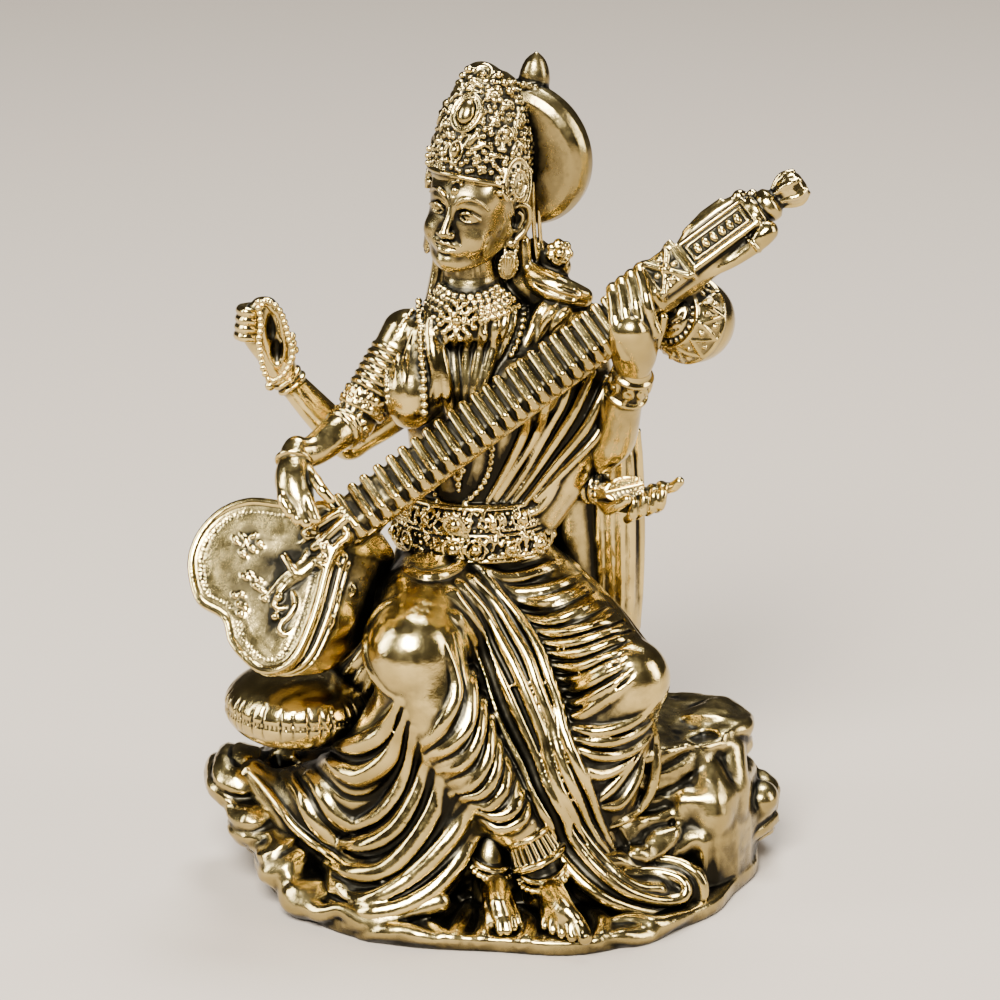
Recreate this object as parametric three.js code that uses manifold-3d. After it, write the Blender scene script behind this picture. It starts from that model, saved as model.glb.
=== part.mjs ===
// Seated four-armed goddess with a long-necked lute, on a rock: one small brass casting.
// Millimetres, +Z up, the front faces -Y, and the origin is under the middle of the base.
import * as THREE from "three";
import { mergeVertices } from "three/addons/utils/BufferGeometryUtils.js";
import Module from "manifold-3d";

const wasm = await Module();
wasm.setup();

// Driving dimensions. The pose and the carving are given in hundredths of the height.
const HEIGHT = 100;
const BASE_PLATE = 1.7;
const FRET_COUNT = 25;
const FRET_HEIGHT = 0.75;
const FRET_THICKNESS = 0.7;
const LUTE_NECK_WIDTH = 5.2;
const LUTE_NECK_DEPTH = 3.4;
const FINGER = 0.62;
const FOLD = 0.95;
const TRIANGLES = 9900;
const FLAT = 0.02;
const UNIT = HEIGHT / 100;

const vec = (p) => new THREE.Vector3(p[0], p[1], p[2]).multiplyScalar(UNIT);
const mix = (a, b, t) => a.map((value, i) => value + (b[i] - value) * t);
const degrees = THREE.MathUtils.degToRad;
const UP = new THREE.Vector3(0, 0, 1);

// Shapes

// Stations [x, y, z, radius] of a limb, smoothed into places with radii.
function along(stations, steps) {
  const curve = new THREE.CatmullRomCurve3(stations.map(vec), false, "catmullrom");
  const count = (stations.length - 1) * steps;
  return Array.from({ length: count + 1 }, (_, i) => {
    const span = Math.min(Math.floor(i / steps), stations.length - 2);
    const t = i / steps - span;
    const ease = t * t * (3 - 2 * t);
    const radius = stations[span][3] + (stations[span + 1][3] - stations[span][3]) * ease;
    return { centre: curve.getPoint(i / count), radius: radius * UNIT };
  });
}

// A closed skin over rings of equal count, with one apex at either end.
function skin(rings, first, last) {
  const sides = rings[0].length;
  const points = [first, ...rings.flat(), last];
  const index = [];
  const at = (ring, side) => 1 + ring * sides + (side % sides);
  for (let side = 0; side < sides; side++) {
    index.push(0, at(0, side + 1), at(0, side));
    for (let ring = 0; ring < rings.length - 1; ring++) {
      const [a, b] = [at(ring, side), at(ring, side + 1)];
      const [c, d] = [at(ring + 1, side), at(ring + 1, side + 1)];
      index.push(a, b, d, a, d, c);
    }
    index.push(points.length - 1, at(rings.length - 1, side), at(rings.length - 1, side + 1));
  }
  return new THREE.BufferGeometry().setFromPoints(points).setIndex(index);
}

// A tube with domed ends through stations. flat squeezes its section along the direction over.
function limb(stations, { sides = 8, steps = 2, flat = 1, over = [0, 1, 0], dome = true } = {}) {
  const places = along(stations, steps);
  const squeeze = new THREE.Vector3(...over).normalize();
  const tangents = places.map((_, i) => {
    const [before, after] = [places[Math.max(i - 1, 0)], places[Math.min(i + 1, places.length - 1)]];
    return after.centre.clone().sub(before.centre).normalize();
  });
  let normal = new THREE.Vector3(0, 0, 1).cross(tangents[0]);
  if (normal.length() < 0.2) normal = new THREE.Vector3(0, 1, 0).cross(tangents[0]);
  const ringAt = (centre, radius, tangent) => {
    normal.addScaledVector(tangent, -normal.dot(tangent)).normalize();
    const side = tangent.clone().cross(normal);
    return Array.from({ length: sides }, (_, k) => {
      const turn = (2 * Math.PI * k) / sides;
      const out = normal.clone().multiplyScalar(Math.cos(turn)).addScaledVector(side, Math.sin(turn));
      out.addScaledVector(squeeze, (flat - 1) * out.dot(squeeze));
      return centre.clone().addScaledVector(out, radius);
    });
  };
  const reach = (tangent) => 1 + (flat - 1) * Math.abs(tangent.dot(squeeze));
  const rings = [];
  const [head, tail] = [places[0], places[places.length - 1]];
  const [start, end] = [tangents[0], tangents[places.length - 1]];
  if (dome) {
    const inset = head.centre.clone().addScaledVector(start, -0.6 * head.radius * reach(start));
    rings.push(ringAt(inset, head.radius * 0.75, start));
  }
  places.forEach((place, i) => rings.push(ringAt(place.centre, place.radius, tangents[i])));
  if (dome) {
    const outset = tail.centre.clone().addScaledVector(end, 0.6 * tail.radius * reach(end));
    rings.push(ringAt(outset, tail.radius * 0.75, end));
  }
  const first = head.centre.clone().addScaledVector(start, -0.9 * head.radius * reach(start));
  const last = tail.centre.clone().addScaledVector(end, 0.9 * tail.radius * reach(end));
  return skin(rings, first, last);
}

// An ellipsoid at a place, turned about Z and then tipped about X, in degrees.
function ball(place, radii, { turn = 0, tip = 0, sides = 10, rows = 7 } = {}) {
  const shape = new THREE.SphereGeometry(1, sides, rows).rotateX(Math.PI / 2);
  shape.scale(radii[0] * UNIT, radii[1] * UNIT, radii[2] * UNIT);
  shape.rotateX(degrees(tip)).rotateZ(degrees(turn));
  return shape.translate(...vec(place).toArray());
}

// An upright body lofted through stations [x, y, z, half width, half depth], turned about Z.
function loft(stations, { turn = 0, sides = 14 } = {}) {
  const rings = stations.map(([x, y, z, wide, deep]) =>
    Array.from({ length: sides }, (_, k) => {
      const angle = (2 * Math.PI * k) / sides;
      const out = new THREE.Vector3(wide * Math.cos(angle), deep * Math.sin(angle), 0);
      out.applyAxisAngle(UP, degrees(turn));
      return out.add(new THREE.Vector3(x, y, z)).multiplyScalar(UNIT);
    }),
  );
  return skin(rings, vec(stations[0]), vec(stations[stations.length - 1]));
}

// A round body about Y through a profile of [radius, height].
function lathe(profile, sides) {
  const points = profile.map(([radius, height]) => new THREE.Vector2(radius * UNIT, height * UNIT));
  return new THREE.LatheGeometry(points, sides);
}

// A box with its size and place in the axes of a frame.
function block(frame, size, place) {
  return new THREE.BoxGeometry(...size).translate(...place).applyMatrix4(frame);
}

// A three.js geometry as a solid that can be joined and cut.
function solid(geometry) {
  const bare = geometry.clone();
  bare.deleteAttribute("normal");
  bare.deleteAttribute("uv");
  const merged = mergeVertices(bare, 1e-4);
  return new wasm.Manifold(
    new wasm.Mesh({
      numProp: 3,
      vertProperties: new Float32Array(merged.attributes.position.array),
      triVerts: new Uint32Array(merged.index.array),
    }),
  );
}
const fuse = (geometries) => wasm.Manifold.union(geometries.map(solid));

// Body forms, which the folds of the dress lie on

const TORSO_TURN = -14;
const TORSO = [
  [-1.2, 4.4, 27.0, 9.2, 7.4],
  [-1.2, 4.0, 35.5, 10.2, 7.8],
  [-1.9, 3.2, 40.5, 9.0, 6.6],
  [-2.3, 2.6, 46.0, 7.3, 5.3],
  [-1.9, 2.5, 53.0, 7.9, 5.4],
  [-1.4, 2.2, 60.5, 9.4, 5.9],
  [-1.1, 2.4, 66.0, 9.2, 4.9],
  [-1.3, 2.4, 69.3, 5.6, 3.9],
  [-1.8, 2.0, 71.6, 3.5, 3.3],
  [-2.4, 1.6, 77.5, 3.2, 3.2],
];
const THIGH_RIGHT = [[-4.4, 3.5, 34.8, 7.2], [-7.2, -6.0, 35.0, 6.5], [-8.9, -14.2, 32.9, 5.7]];
const THIGH_LEFT = [[4.2, 4.0, 34.2, 7.2], [10.6, -4.0, 31.6, 6.4], [15.8, -10.6, 28.4, 5.3]];
const SHIN_RIGHT = [[-8.7, -14.4, 32.2, 5.5], [-5.0, -16.0, 24.5, 4.8], [0.4, -16.8, 15.8, 3.8],
  [4.3, -16.6, 10.4, 3.0], [5.9, -16.6, 6.2, 2.1]];
const SHIN_LEFT = [[15.5, -10.8, 27.8, 5.1], [12.6, -12.0, 21.5, 4.4], [6.4, -13.6, 13.5, 3.4],
  [1.4, -14.4, 8.4, 2.4], [-0.2, -14.8, 5.4, 2.0]];
const LAP = [[-1.5, -4.0, 31.5, 5.6], [4.2, -8.0, 24.5, 6.0], [6.0, -9.5, 14.5, 6.0],
  [5.0, -10.5, 6.0, 5.0]];
const DRAPE_HIGH = [[-8.6, -12.4, 25.5, 5.2], [-12.2, -11.2, 18.5, 5.3], [-17.2, -8.4, 12.6, 5.4],
  [-22.6, -4.4, 9.8, 4.9]];
const DRAPE_LOW = [[-4.6, -13.6, 19.0, 4.6], [-8.2, -14.8, 11.5, 4.8], [-12.6, -15.6, 6.0, 4.6],
  [-15.5, -15.4, 3.2, 4.2]];
const DRAPE_RIGHT = [[17.0, -7.5, 26.0, 4.6], [16.4, -8.6, 19.0, 4.6], [14.4, -9.6, 12.5, 4.6]];
const SHAWL = [[9.4, 3.0, 66.0, 4.0], [10.2, 2.4, 59.0, 4.6], [8.2, 2.6, 52.0, 4.8],
  [4.8, 2.6, 46.0, 4.6]];

const limbs = [THIGH_RIGHT, THIGH_LEFT, SHIN_RIGHT, SHIN_LEFT, LAP, DRAPE_HIGH, DRAPE_LOW,
  DRAPE_RIGHT, SHAWL];

// Distance from a point to the forms that carry folds, negative inside them.
function bodyDistance(point) {
  let nearest = Infinity;
  for (const stations of limbs) {
    for (let i = 0; i < stations.length - 1; i++) {
      const line = new THREE.Line3(vec(stations[i]), vec(stations[i + 1]));
      const t = line.closestPointToPointParameter(point, true);
      const radius = (stations[i][3] + (stations[i + 1][3] - stations[i][3]) * t) * UNIT;
      nearest = Math.min(nearest, line.at(t, new THREE.Vector3()).distanceTo(point) - radius);
    }
  }
  const height = point.z / UNIT;
  const upper = TORSO.findIndex((station) => station[2] > height);
  if (upper > 0) {
    const [below, above] = [TORSO[upper - 1], TORSO[upper]];
    const here = mix(below, above, (height - below[2]) / (above[2] - below[2]));
    const offset = point.clone().sub(vec([here[0], here[1], height]));
    offset.applyAxisAngle(UP, degrees(-TORSO_TURN)).divideScalar(UNIT);
    const share = Math.hypot(offset.x / here[3], offset.y / here[4]);
    nearest = Math.min(nearest, (share - 1) * Math.min(here[3], here[4]) * UNIT);
  }
  return nearest;
}

// Moves a point onto the body's surface.
function settle(point, lift = 0) {
  const step = 0.05 * UNIT;
  const place = point.clone();
  for (let round = 0; round < 4; round++) {
    const here = bodyDistance(place);
    const slope = new THREE.Vector3(
      bodyDistance(place.clone().add(new THREE.Vector3(step, 0, 0))) - here,
      bodyDistance(place.clone().add(new THREE.Vector3(0, step, 0))) - here,
      bodyDistance(place.clone().add(new THREE.Vector3(0, 0, step))) - here,
    ).normalize();
    place.addScaledVector(slope, lift * UNIT - here);
  }
  return place;
}

// A fold of cloth: a ridge along a guide of [x, y, z] points, laid on the body and thin at its ends.
function fold(guide, { radius = FOLD, lift = 0.05, steps = 7, onBody = true } = {}) {
  const curve = new THREE.CatmullRomCurve3(guide.map(vec), false, "catmullrom");
  const stations = Array.from({ length: steps + 1 }, (_, i) => {
    const place = onBody ? settle(curve.getPoint(i / steps), lift) : curve.getPoint(i / steps);
    const fullness = 0.45 + 0.55 * Math.sin((Math.PI * i) / steps);
    return [...place.divideScalar(UNIT).toArray(), radius * fullness];
  });
  return limb(stations, { sides: 5, steps: 1, dome: false });
}

// Folds spread evenly from a first guide to a last one.
function fan(first, last, count, options) {
  return Array.from({ length: count }, (_, i) => {
    const share = count > 1 ? i / (count - 1) : 0;
    return fold(first.map((point, k) => mix(point, last[k], share)), options);
  });
}

// Legs, dress and sash

function legs() {
  return [
    limb(THIGH_RIGHT, { sides: 12, steps: 2 }),
    limb(THIGH_LEFT, { sides: 12, steps: 2 }),
    limb(SHIN_RIGHT, { sides: 10, steps: 2 }),
    limb(SHIN_LEFT, { sides: 8, steps: 1 }),
    limb(LAP, { sides: 8, steps: 1 }),
    limb(DRAPE_HIGH, { sides: 10, steps: 1 }),
    limb(DRAPE_LOW, { sides: 10, steps: 1 }),
    limb(DRAPE_RIGHT, { sides: 8, steps: 1 }),
  ];
}

// The folds of the dress, from the knees over the rock and round the shins.
function dressFolds() {
  return [
    // Swags from under the right knee over to the cushion
    ...fan(
      [[-10.7, -17.2, 24.9], [-11.9, -16.8, 21.9], [-14.6, -15.9, 19.0], [-17.7, -13.8, 17.9],
        [-19.9, -9.3, 17.7]],
      [[-6.5, -18.7, 16.7], [-8.6, -19.6, 11.7], [-13.8, -18.6, 7.9], [-20.8, -10.4, 8.2],
        [-27.2, -2.6, 13.2]],
      5,
    ),
    // Swags from the right shin down to the hem on the ground
    ...fan(
      [[-3.1, -19.0, 15.5], [-5.8, -19.0, 12.7], [-9.4, -19.8, 8.3], [-13.5, -20.0, 4.9],
        [-17.4, -18.7, 5.0]],
      [[-1.4, -19.3, 13.6], [-3.3, -17.4, 8.9], [-5.9, -18.4, 5.9], [-8.9, -19.6, 3.9],
        [-11.8, -20.6, 3.9]],
      3,
    ),
    // Folds that cross the right shin, from the sash to the swags
    ...fan(
      [[-4.9, -17.8, 35.0], [-3.8, -19.0, 29.9], [-5.5, -20.6, 26.2], [-7.6, -19.8, 23.3]],
      [[4.5, -18.2, 15.6], [3.3, -19.9, 14.3], [1.4, -20.2, 13.4], [-0.4, -20.5, 15.0]],
      7,
      { radius: 0.8 },
    ),
    // The fold at the outside of the right knee
    fold([[-11.1, -12.7, 38.8], [-13.7, -13.6, 36.0], [-14.2, -16.4, 32.7], [-12.2, -17.9, 29.5],
      [-10.6, -19.0, 28.2]], { radius: 0.8 }),
    // Folds over the left thigh, from the sash to the hip
    ...fan(
      [[4.2, -5.7, 36.1], [8.3, -6.5, 37.4], [12.4, -4.6, 37.9]],
      [[8.3, -13.3, 26.5], [12.7, -14.9, 28.4], [17.5, -15.1, 31.2]],
      7,
      { radius: 0.85 },
    ),
    // Swags under the left knee
    ...fan(
      [[8.8, -12.8, 23.8], [12.3, -16.0, 24.4], [15.2, -16.0, 24.8], [18.6, -13.4, 26.1]],
      [[13.0, -14.0, 12.7], [16.0, -13.9, 13.5], [17.7, -13.1, 15.7], [19.4, -11.4, 20.7]],
      5,
      { radius: 0.85 },
    ),
    // The hem that falls from the left knee to the rock
    fold([[19.8, -12.0, 25.8], [20.1, -11.2, 22.0], [19.5, -11.7, 17.1], [18.8, -11.8, 13.3],
      [16.6, -13.2, 10.7], [14.3, -12.5, 8.1]]),
  ];
}

// The pleated end of the dress that falls from the belt, between the knees, to the ground.
function sash() {
  const middle = [[-2.8, -6.2, 41.2], [0.6, -11.6, 35.8], [4.4, -16.6, 28.0], [8.4, -18.6, 18.6],
    [12.6, -19.2, 9.8], [17.4, -18.8, 5.0], [22.0, -16.8, 3.4]];
  const half = [1.2, 2.4, 3.0, 3.0, 2.8, 2.4, 1.8];
  const across = [0.83, -0.1, 0.55];
  const band = middle.map((point, i) => [...point, half[i] + 0.5]);
  const forward = [0, -1.5, 0];
  const pleats = [-0.95, -0.32, 0.32, 0.95].map((share) => {
    const guide = middle.map((point, i) =>
      point.map((value, axis) => value + share * half[i] * across[axis] + forward[axis]),
    );
    return fold(guide, { radius: 0.85, steps: 10, onBody: false });
  });
  const curl = [[14.0, -22.2, 4.4], [19.0, -21.8, 3.0], [23.6, -19.2, 3.0], [24.0, -15.0, 4.0],
    [19.0, -13.4, 6.4], [15.0, -14.8, 7.2]];
  return [
    limb(band, { sides: 8, steps: 2, flat: 0.42, over: [0.1, 0.93, 0.3] }),
    ...pleats,
    fold(curl, { radius: 1.1, steps: 9, onBody: false }),
    fold(curl.map((point) => mix(point, [19.6, -17.6, 4.4], 0.42)),
      { radius: 0.9, steps: 8, onBody: false }),
    limb([[15.5, -19.0, 3.2, 3.6], [20.6, -17.4, 2.6, 3.8]], { flat: 0.6, over: [0, 0, 1] }),
  ];
}

// A foot with an anklet and five toes. side is 1 where the big toe lies towards +X.
function foot(heel, toes, side) {
  const forward = new THREE.Vector3(toes[0] - heel[0], toes[1] - heel[1], 0).normalize();
  const outward = new THREE.Vector3(-forward.y, forward.x, 0);
  const instep = mix(heel, toes, 0.45);
  const sole = [[...heel, 2.1], [instep[0], instep[1], instep[2] + 0.5, 2.3],
    [...mix(heel, toes, 0.85), 2.5]];
  const shapes = [limb(sole, { sides: 8, steps: 1, flat: 0.72, over: [0, 0, 1] })];
  for (let toe = 0; toe < 5; toe++) {
    const share = (toe - 2) / 2;
    const root = mix(heel, toes, 0.78);
    const offset = outward.clone().multiplyScalar(2.1 * share * side);
    const length = 0.9 - 0.25 * Math.abs(share - 0.6);
    const radius = toe === 4 ? 0.75 : 0.55;
    const tip = [toes[0] + offset.x + forward.x * length, toes[1] + offset.y + forward.y * length,
      toes[2]];
    shapes.push(limb([[root[0] + offset.x, root[1] + offset.y, root[2] + 0.4, radius],
      [...tip, radius]], { sides: 5, steps: 1 }));
  }
  return shapes;
}

function feet() {
  const anklet = (place, radius, tip) => ball(place, [radius, radius * 0.95, 0.8],
    { tip, sides: 12, rows: 4 });
  return [
    ...foot([6.6, -16.8, 3.8], [9.4, -24.4, 2.1], 1),
    ...foot([-0.2, -15.0, 3.8], [2.2, -23.2, 2.1], -1),
    anklet([5.9, -16.8, 5.4], 2.9, 12),
    anklet([-0.1, -15.0, 5.6], 2.7, 12),
    ball([4.2, -16.8, 10.3], [3.6, 3.3, 1.1], { tip: 8, sides: 12, rows: 4 }),
    ball([4.9, -16.8, 8.0], [3.5, 3.2, 0.7], { tip: 8, sides: 12, rows: 4 }),
  ];
}

// Torso, shawl, belt and jewels

function torso() {
  const pleatRight = [[-5.2, -0.8, 67.5], [-5.0, -1.9, 64.2], [-4.8, -2.8, 59.8]];
  const pleatLeft = [[-0.6, -2.1, 67.9], [-1.1, -2.8, 65.0], [-1.8, -3.4, 61.1]];
  const wrapRight = [[6.4, -1.6, 66.8], [4.8, -2.8, 58.5], [2.2, -2.7, 51.9], [-0.6, -2.9, 47.2]];
  const wrapLeft = [[14.0, 0.6, 63.0], [12.2, -1.2, 56.5], [7.9, -2.2, 51.2], [4.0, -1.9, 46.4]];
  const studs = Array.from({ length: 10 }, (_, i) => {
    const angle = degrees(190 + 18 * i);
    const offset = new THREE.Vector3(9.3 * Math.cos(angle), 7.1 * Math.sin(angle), 43.0);
    offset.applyAxisAngle(UP, degrees(TORSO_TURN));
    return ball([offset.x - 2.2, offset.y + 2.5, offset.z], [0.9, 0.9, 1.1], { sides: 6, rows: 4 });
  });
  return [
    loft(TORSO, { turn: TORSO_TURN }),
    ball([-7.6, -2.0, 61.6], [3.9, 3.9, 3.9]),
    ball([4.4, -2.6, 61.6], [4.0, 3.8, 3.9]),
    ball([-9.7, 1.8, 67.0], [3.1, 3.0, 2.9]),
    limb(SHAWL, { sides: 10, steps: 1 }),
    ...fan(pleatRight, pleatLeft, 4, { radius: 0.55, lift: 0.2, steps: 4 }),
    fold([[-7.4, 0.4, 70.0], [-6.8, -0.4, 66.2], [-6.1, -2.3, 59.4]],
      { radius: 0.9, lift: 0.3, steps: 5 }),
    fold([[2.8, 0.2, 71.0], [1.9, -2.3, 67.3], [-0.4, -3.4, 62.0]],
      { radius: 0.9, lift: 0.3, steps: 5 }),
    ...fan(wrapRight, wrapLeft, 5, { radius: 0.85, lift: 0.2, steps: 6 }),
    fold([[8.3, -2.2, 51.6], [6.9, -2.1, 48.3], [5.0, -2.0, 46.4], [2.9, -1.8, 46.4]],
      { radius: 0.8, lift: 0.2, steps: 5 }),
    ...studs,
    loft([[-2.0, 2.7, 40.4, 9.0, 6.9], [-2.1, 2.6, 41.2, 9.7, 7.4], [-2.2, 2.5, 43.0, 9.5, 7.2],
      [-2.2, 2.5, 44.8, 8.7, 6.6], [-2.3, 2.5, 46.6, 8.4, 6.4], [-2.3, 2.5, 47.2, 7.4, 5.6]],
      { turn: TORSO_TURN, sides: 16 }),
    ball([-3.4, -5.2, 43.6], [1.5, 0.9, 1.9]),
    // Swags of the dress below the belt
    fold([[-2.6, -3.9, 40.6], [-4.7, -7.1, 40.0], [-7.6, -8.3, 40.3], [-10.6, -4.3, 40.6]],
      { lift: 0.2, steps: 6 }),
    fold([[-2.4, -3.9, 40.4], [1.2, -3.8, 38.7], [4.8, -2.9, 38.8], [8.3, -1.4, 39.7]],
      { lift: 0.2, steps: 6 }),
    // Collar of beads with a flower pendant
    loft([[-2.0, 1.8, 68.6, 5.4, 5.4], [-2.0, 1.7, 70.0, 5.0, 4.9], [-2.1, 1.7, 71.6, 4.0, 3.9],
      [-2.2, 1.6, 72.6, 3.4, 3.4]], { turn: TORSO_TURN }),
    ball([-3.5, -4.2, 68.4], [2.2, 0.9, 2.2], { sides: 10, rows: 4 }),
    ball([-3.4, -4.0, 65.6], [0.9, 0.7, 1.6], { sides: 6, rows: 4 }),
    // Long bead strings on the breast
    fold([[-8.0, -1.4, 70.6], [-7.8, -4.8, 65.4], [-7.9, -5.8, 60.0], [-7.2, -3.6, 54.0]],
      { radius: 0.7, onBody: false }),
    fold([[3.6, -2.0, 70.4], [3.2, -5.4, 64.0], [1.2, -5.4, 57.4], [0.2, -4.6, 51.6],
      [-2.4, -4.2, 48.0]], { radius: 0.7, onBody: false }),
  ];
}

// Arms

const WRIST_PLAY = [-22.2, -9.0, 54.0];
const WRIST_BEADS = [-24.6, 3.2, 61.8];
const WRIST_FRET = [16.7, -4.0, 63.8];
const WRIST_OPEN = [13.8, 1.2, 47.8];

function arms() {
  const cuff = (place, radius, tip, turn) => ball(place, [radius, radius, 0.6],
    { tip, turn, sides: 10, rows: 4 });
  return [
    limb([[-9.9, 1.4, 67.0, 2.9], [-13.0, -0.6, 62.6, 2.3], [-15.8, -2.8, 57.9, 2.6]], { sides: 9 }),
    limb([[-15.8, -2.8, 57.8, 2.4], [-19.0, -6.0, 56.0, 2.1], [...WRIST_PLAY, 1.7]],
      { sides: 8, steps: 1 }),
    limb([[-6.0, 6.0, 61.0, 2.6], [-12.0, 5.6, 55.8, 2.5], [-16.8, 4.2, 53.0, 2.4]], { sides: 8 }),
    limb([[-16.8, 4.2, 53.2, 2.4], [-20.6, 3.8, 57.4, 2.2], [...WRIST_BEADS, 1.8]],
      { sides: 8, steps: 1 }),
    limb([[12.9, 1.4, 54.8, 2.5], [15.0, -1.2, 58.4, 2.5], [...WRIST_FRET, 1.9]], { sides: 9 }),
    limb([[6.0, 6.0, 56.0, 2.8], [9.8, 4.4, 49.4, 2.6], [...WRIST_OPEN, 1.7]], { sides: 8 }),
    // Bangles and beaded armlets
    cuff([-15.0, -2.2, 59.4], 3.2, 40, -50),
    cuff([-14.0, -1.4, 61.0], 3.0, 40, -50),
    cuff([-12.8, -0.6, 63.2], 2.7, 40, -50),
    cuff([-21.9, -8.7, 54.2], 2.2, 70, -30),
    cuff([-23.6, 3.3, 61.0], 2.1, 30, -90),
    ball([16.5, -3.6, 62.9], [2.6, 2.5, 1.3], { tip: 15, sides: 12, rows: 5 }),
  ];
}

// Hands

function hands() {
  const shapes = [];
  const finger = (points, radius = FINGER) =>
    shapes.push(limb(points.map((point) => [...point, radius]), { sides: 5, steps: 1 }));
  // The hand that plays the strings over the bowl
  shapes.push(limb([[...WRIST_PLAY, 1.7], [-22.3, -11.6, 53.2, 2.0], [-22.2, -13.4, 51.6, 1.8]],
    { flat: 0.75, over: [0, 0.6, 0.8], steps: 1 }));
  for (let i = 0; i < 4; i++) {
    const x = -23.6 + 0.95 * i;
    finger([[x, -13.4, 51.9], [x + 0.7, -15.2, 50.6], [x + 2.0 - 0.1 * i, -15.8, 48.9 + 0.15 * i]]);
  }
  finger([[-20.9, -11.6, 53.2], [-19.4, -13.8, 52.4], [-18.6, -14.6, 51.2]]);
  // The hand that stops the strings: the palm is under the neck and four fingers lie over it
  shapes.push(limb([[...WRIST_FRET, 1.9], [16.7, -6.0, 67.0, 2.4], [16.5, -6.6, 69.6, 2.3]],
    { flat: 0.75, over: [0, 1, 0.2], steps: 1 }));
  for (let i = 0; i < 4; i++) {
    const grip = [[56.8 + 1.5 * i, -3.3, -0.8], [57.6 + 1.5 * i, -1.8, 0.9],
      [58.8 + 1.4 * i, 0.6, 1.1], [59.8 + 1.3 * i, 2.7, 0.6], [60.0 + 1.3 * i, 3.2, -0.8]];
    shapes.push(limb(grip.map((point) => [...point, 0.74]),
      { sides: 5, steps: 1 }).applyMatrix4(luteFrame()));
  }
  finger([[18.4, -5.4, 66.0], [19.3, -5.4, 68.4], [20.0, -5.6, 70.4]], 0.6);
  // The raised hand with the beads
  shapes.push(limb([[...WRIST_BEADS, 1.7], [-26.6, 2.8, 65.6, 2.3], [-28.0, 2.4, 68.6, 2.1]],
    { flat: 0.62, over: [0, 1, 0], steps: 1 }));
  for (let i = 0; i < 4; i++) {
    const lift = 66.6 + 1.1 * i;
    finger([[-29.6 + 0.3 * i, 1.8, lift], [-29.9 + 0.45 * i, 0.2, lift + 0.2],
      [-28.4 + 0.45 * i, -0.4, lift - 0.1]], 0.7);
  }
  finger([[-24.8, 2.0, 65.4], [-24.7, 1.2, 67.6], [-25.4, 0.6, 69.6]], 0.7);
  const loop = [[-26.6, -0.2, 70.0], [-26.2, -0.6, 66.4], [-26.3, -0.4, 63.2], [-25.4, 0.2, 61.8],
    [-24.2, 0.4, 62.8], [-23.6, 0.6, 65.0], [-24.0, 0.8, 67.4]];
  shapes.push(fold(loop, { radius: 0.62, steps: 10, onBody: false }));
  // The open hand, palm up, with a leaf-shaped jewel
  shapes.push(limb([[...WRIST_OPEN, 1.7], [16.2, -0.4, 47.8, 2.2], [18.2, -1.4, 47.9, 1.9]],
    { flat: 0.65, over: [0, 0, 1], steps: 1 }));
  for (let i = 0; i < 3; i++) {
    const x = 17.2 + 1.15 * i;
    finger([[x, -2.0 + 0.4 * i, 48.2 + 0.2 * i], [x + 0.5, -3.4 + 0.5 * i, 47.4 + 0.3 * i],
      [x + 0.2, -3.4 + 0.5 * i, 46.0 + 0.3 * i]]);
  }
  finger([[19.0, -1.0, 48.8], [20.6, -1.4, 49.4], [22.0, -1.8, 49.8]], 0.7);
  finger([[14.4, -0.8, 47.6], [15.6, -2.6, 47.2], [17.0, -3.2, 47.4]], 0.7);
  shapes.push(ball([15.9, -0.9, 49.3], [2.6, 1.3, 0.8], { turn: 15, tip: 20, sides: 8, rows: 5 }));
  return shapes;
}

// Head, crown and hair, in a frame that is turned with the face

const HEAD_TURN = -28;
const HEAD = [-2.3, 1.3, 81.6];
const CROWN_TILT = -13;

// A place in the head's frame: to her left, forward and up from the middle of the head.
function onHead(left, forward, up) {
  const turn = degrees(HEAD_TURN);
  return [
    HEAD[0] + left * Math.cos(turn) + forward * Math.sin(turn),
    HEAD[1] + left * Math.sin(turn) - forward * Math.cos(turn),
    HEAD[2] + up,
  ];
}

function head() {
  const turn = HEAD_TURN;
  const shapes = [
    ball(onHead(0, -0.4, 1.4), [5.0, 5.7, 5.8], { turn, sides: 14, rows: 10 }),
    ball(onHead(0, 1.2, -2.2), [3.5, 3.7, 3.9], { turn, sides: 12, rows: 8 }),
    // Nose, lips, chin and brows
    limb([[...onHead(0, 5.0, 1.7), 0.5], [...onHead(0, 5.9, -1.2), 0.8]], { sides: 5, steps: 1 }),
    ball(onHead(0, 4.9, -3.3), [1.3, 0.55, 0.5], { turn, sides: 8, rows: 4 }),
    ball(onHead(0, 4.1, -5.0), [1.2, 1.0, 0.9], { turn, sides: 8, rows: 5 }),
  ];
  for (const side of [-1, 1]) {
    shapes.push(
      ball(onHead(2.0 * side, 4.55, 0.9), [1.1, 0.55, 0.6], { turn, sides: 8, rows: 4 }),
      limb([[...onHead(0.6 * side, 5.1, 2.3), 0.35], [...onHead(2.1 * side, 4.7, 2.9), 0.4],
        [...onHead(3.7 * side, 3.7, 2.2), 0.3]], { sides: 5, steps: 1 }),
      ball(onHead(4.9 * side, -0.5, -0.4), [0.7, 1.2, 2.0], { turn, sides: 8, rows: 6 }),
      ball(onHead(4.4 * side, 0.3, -3.9), [1.1, 1.1, 2.1], { turn, sides: 8, rows: 6 }),
    );
  }
  return shapes;
}

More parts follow.
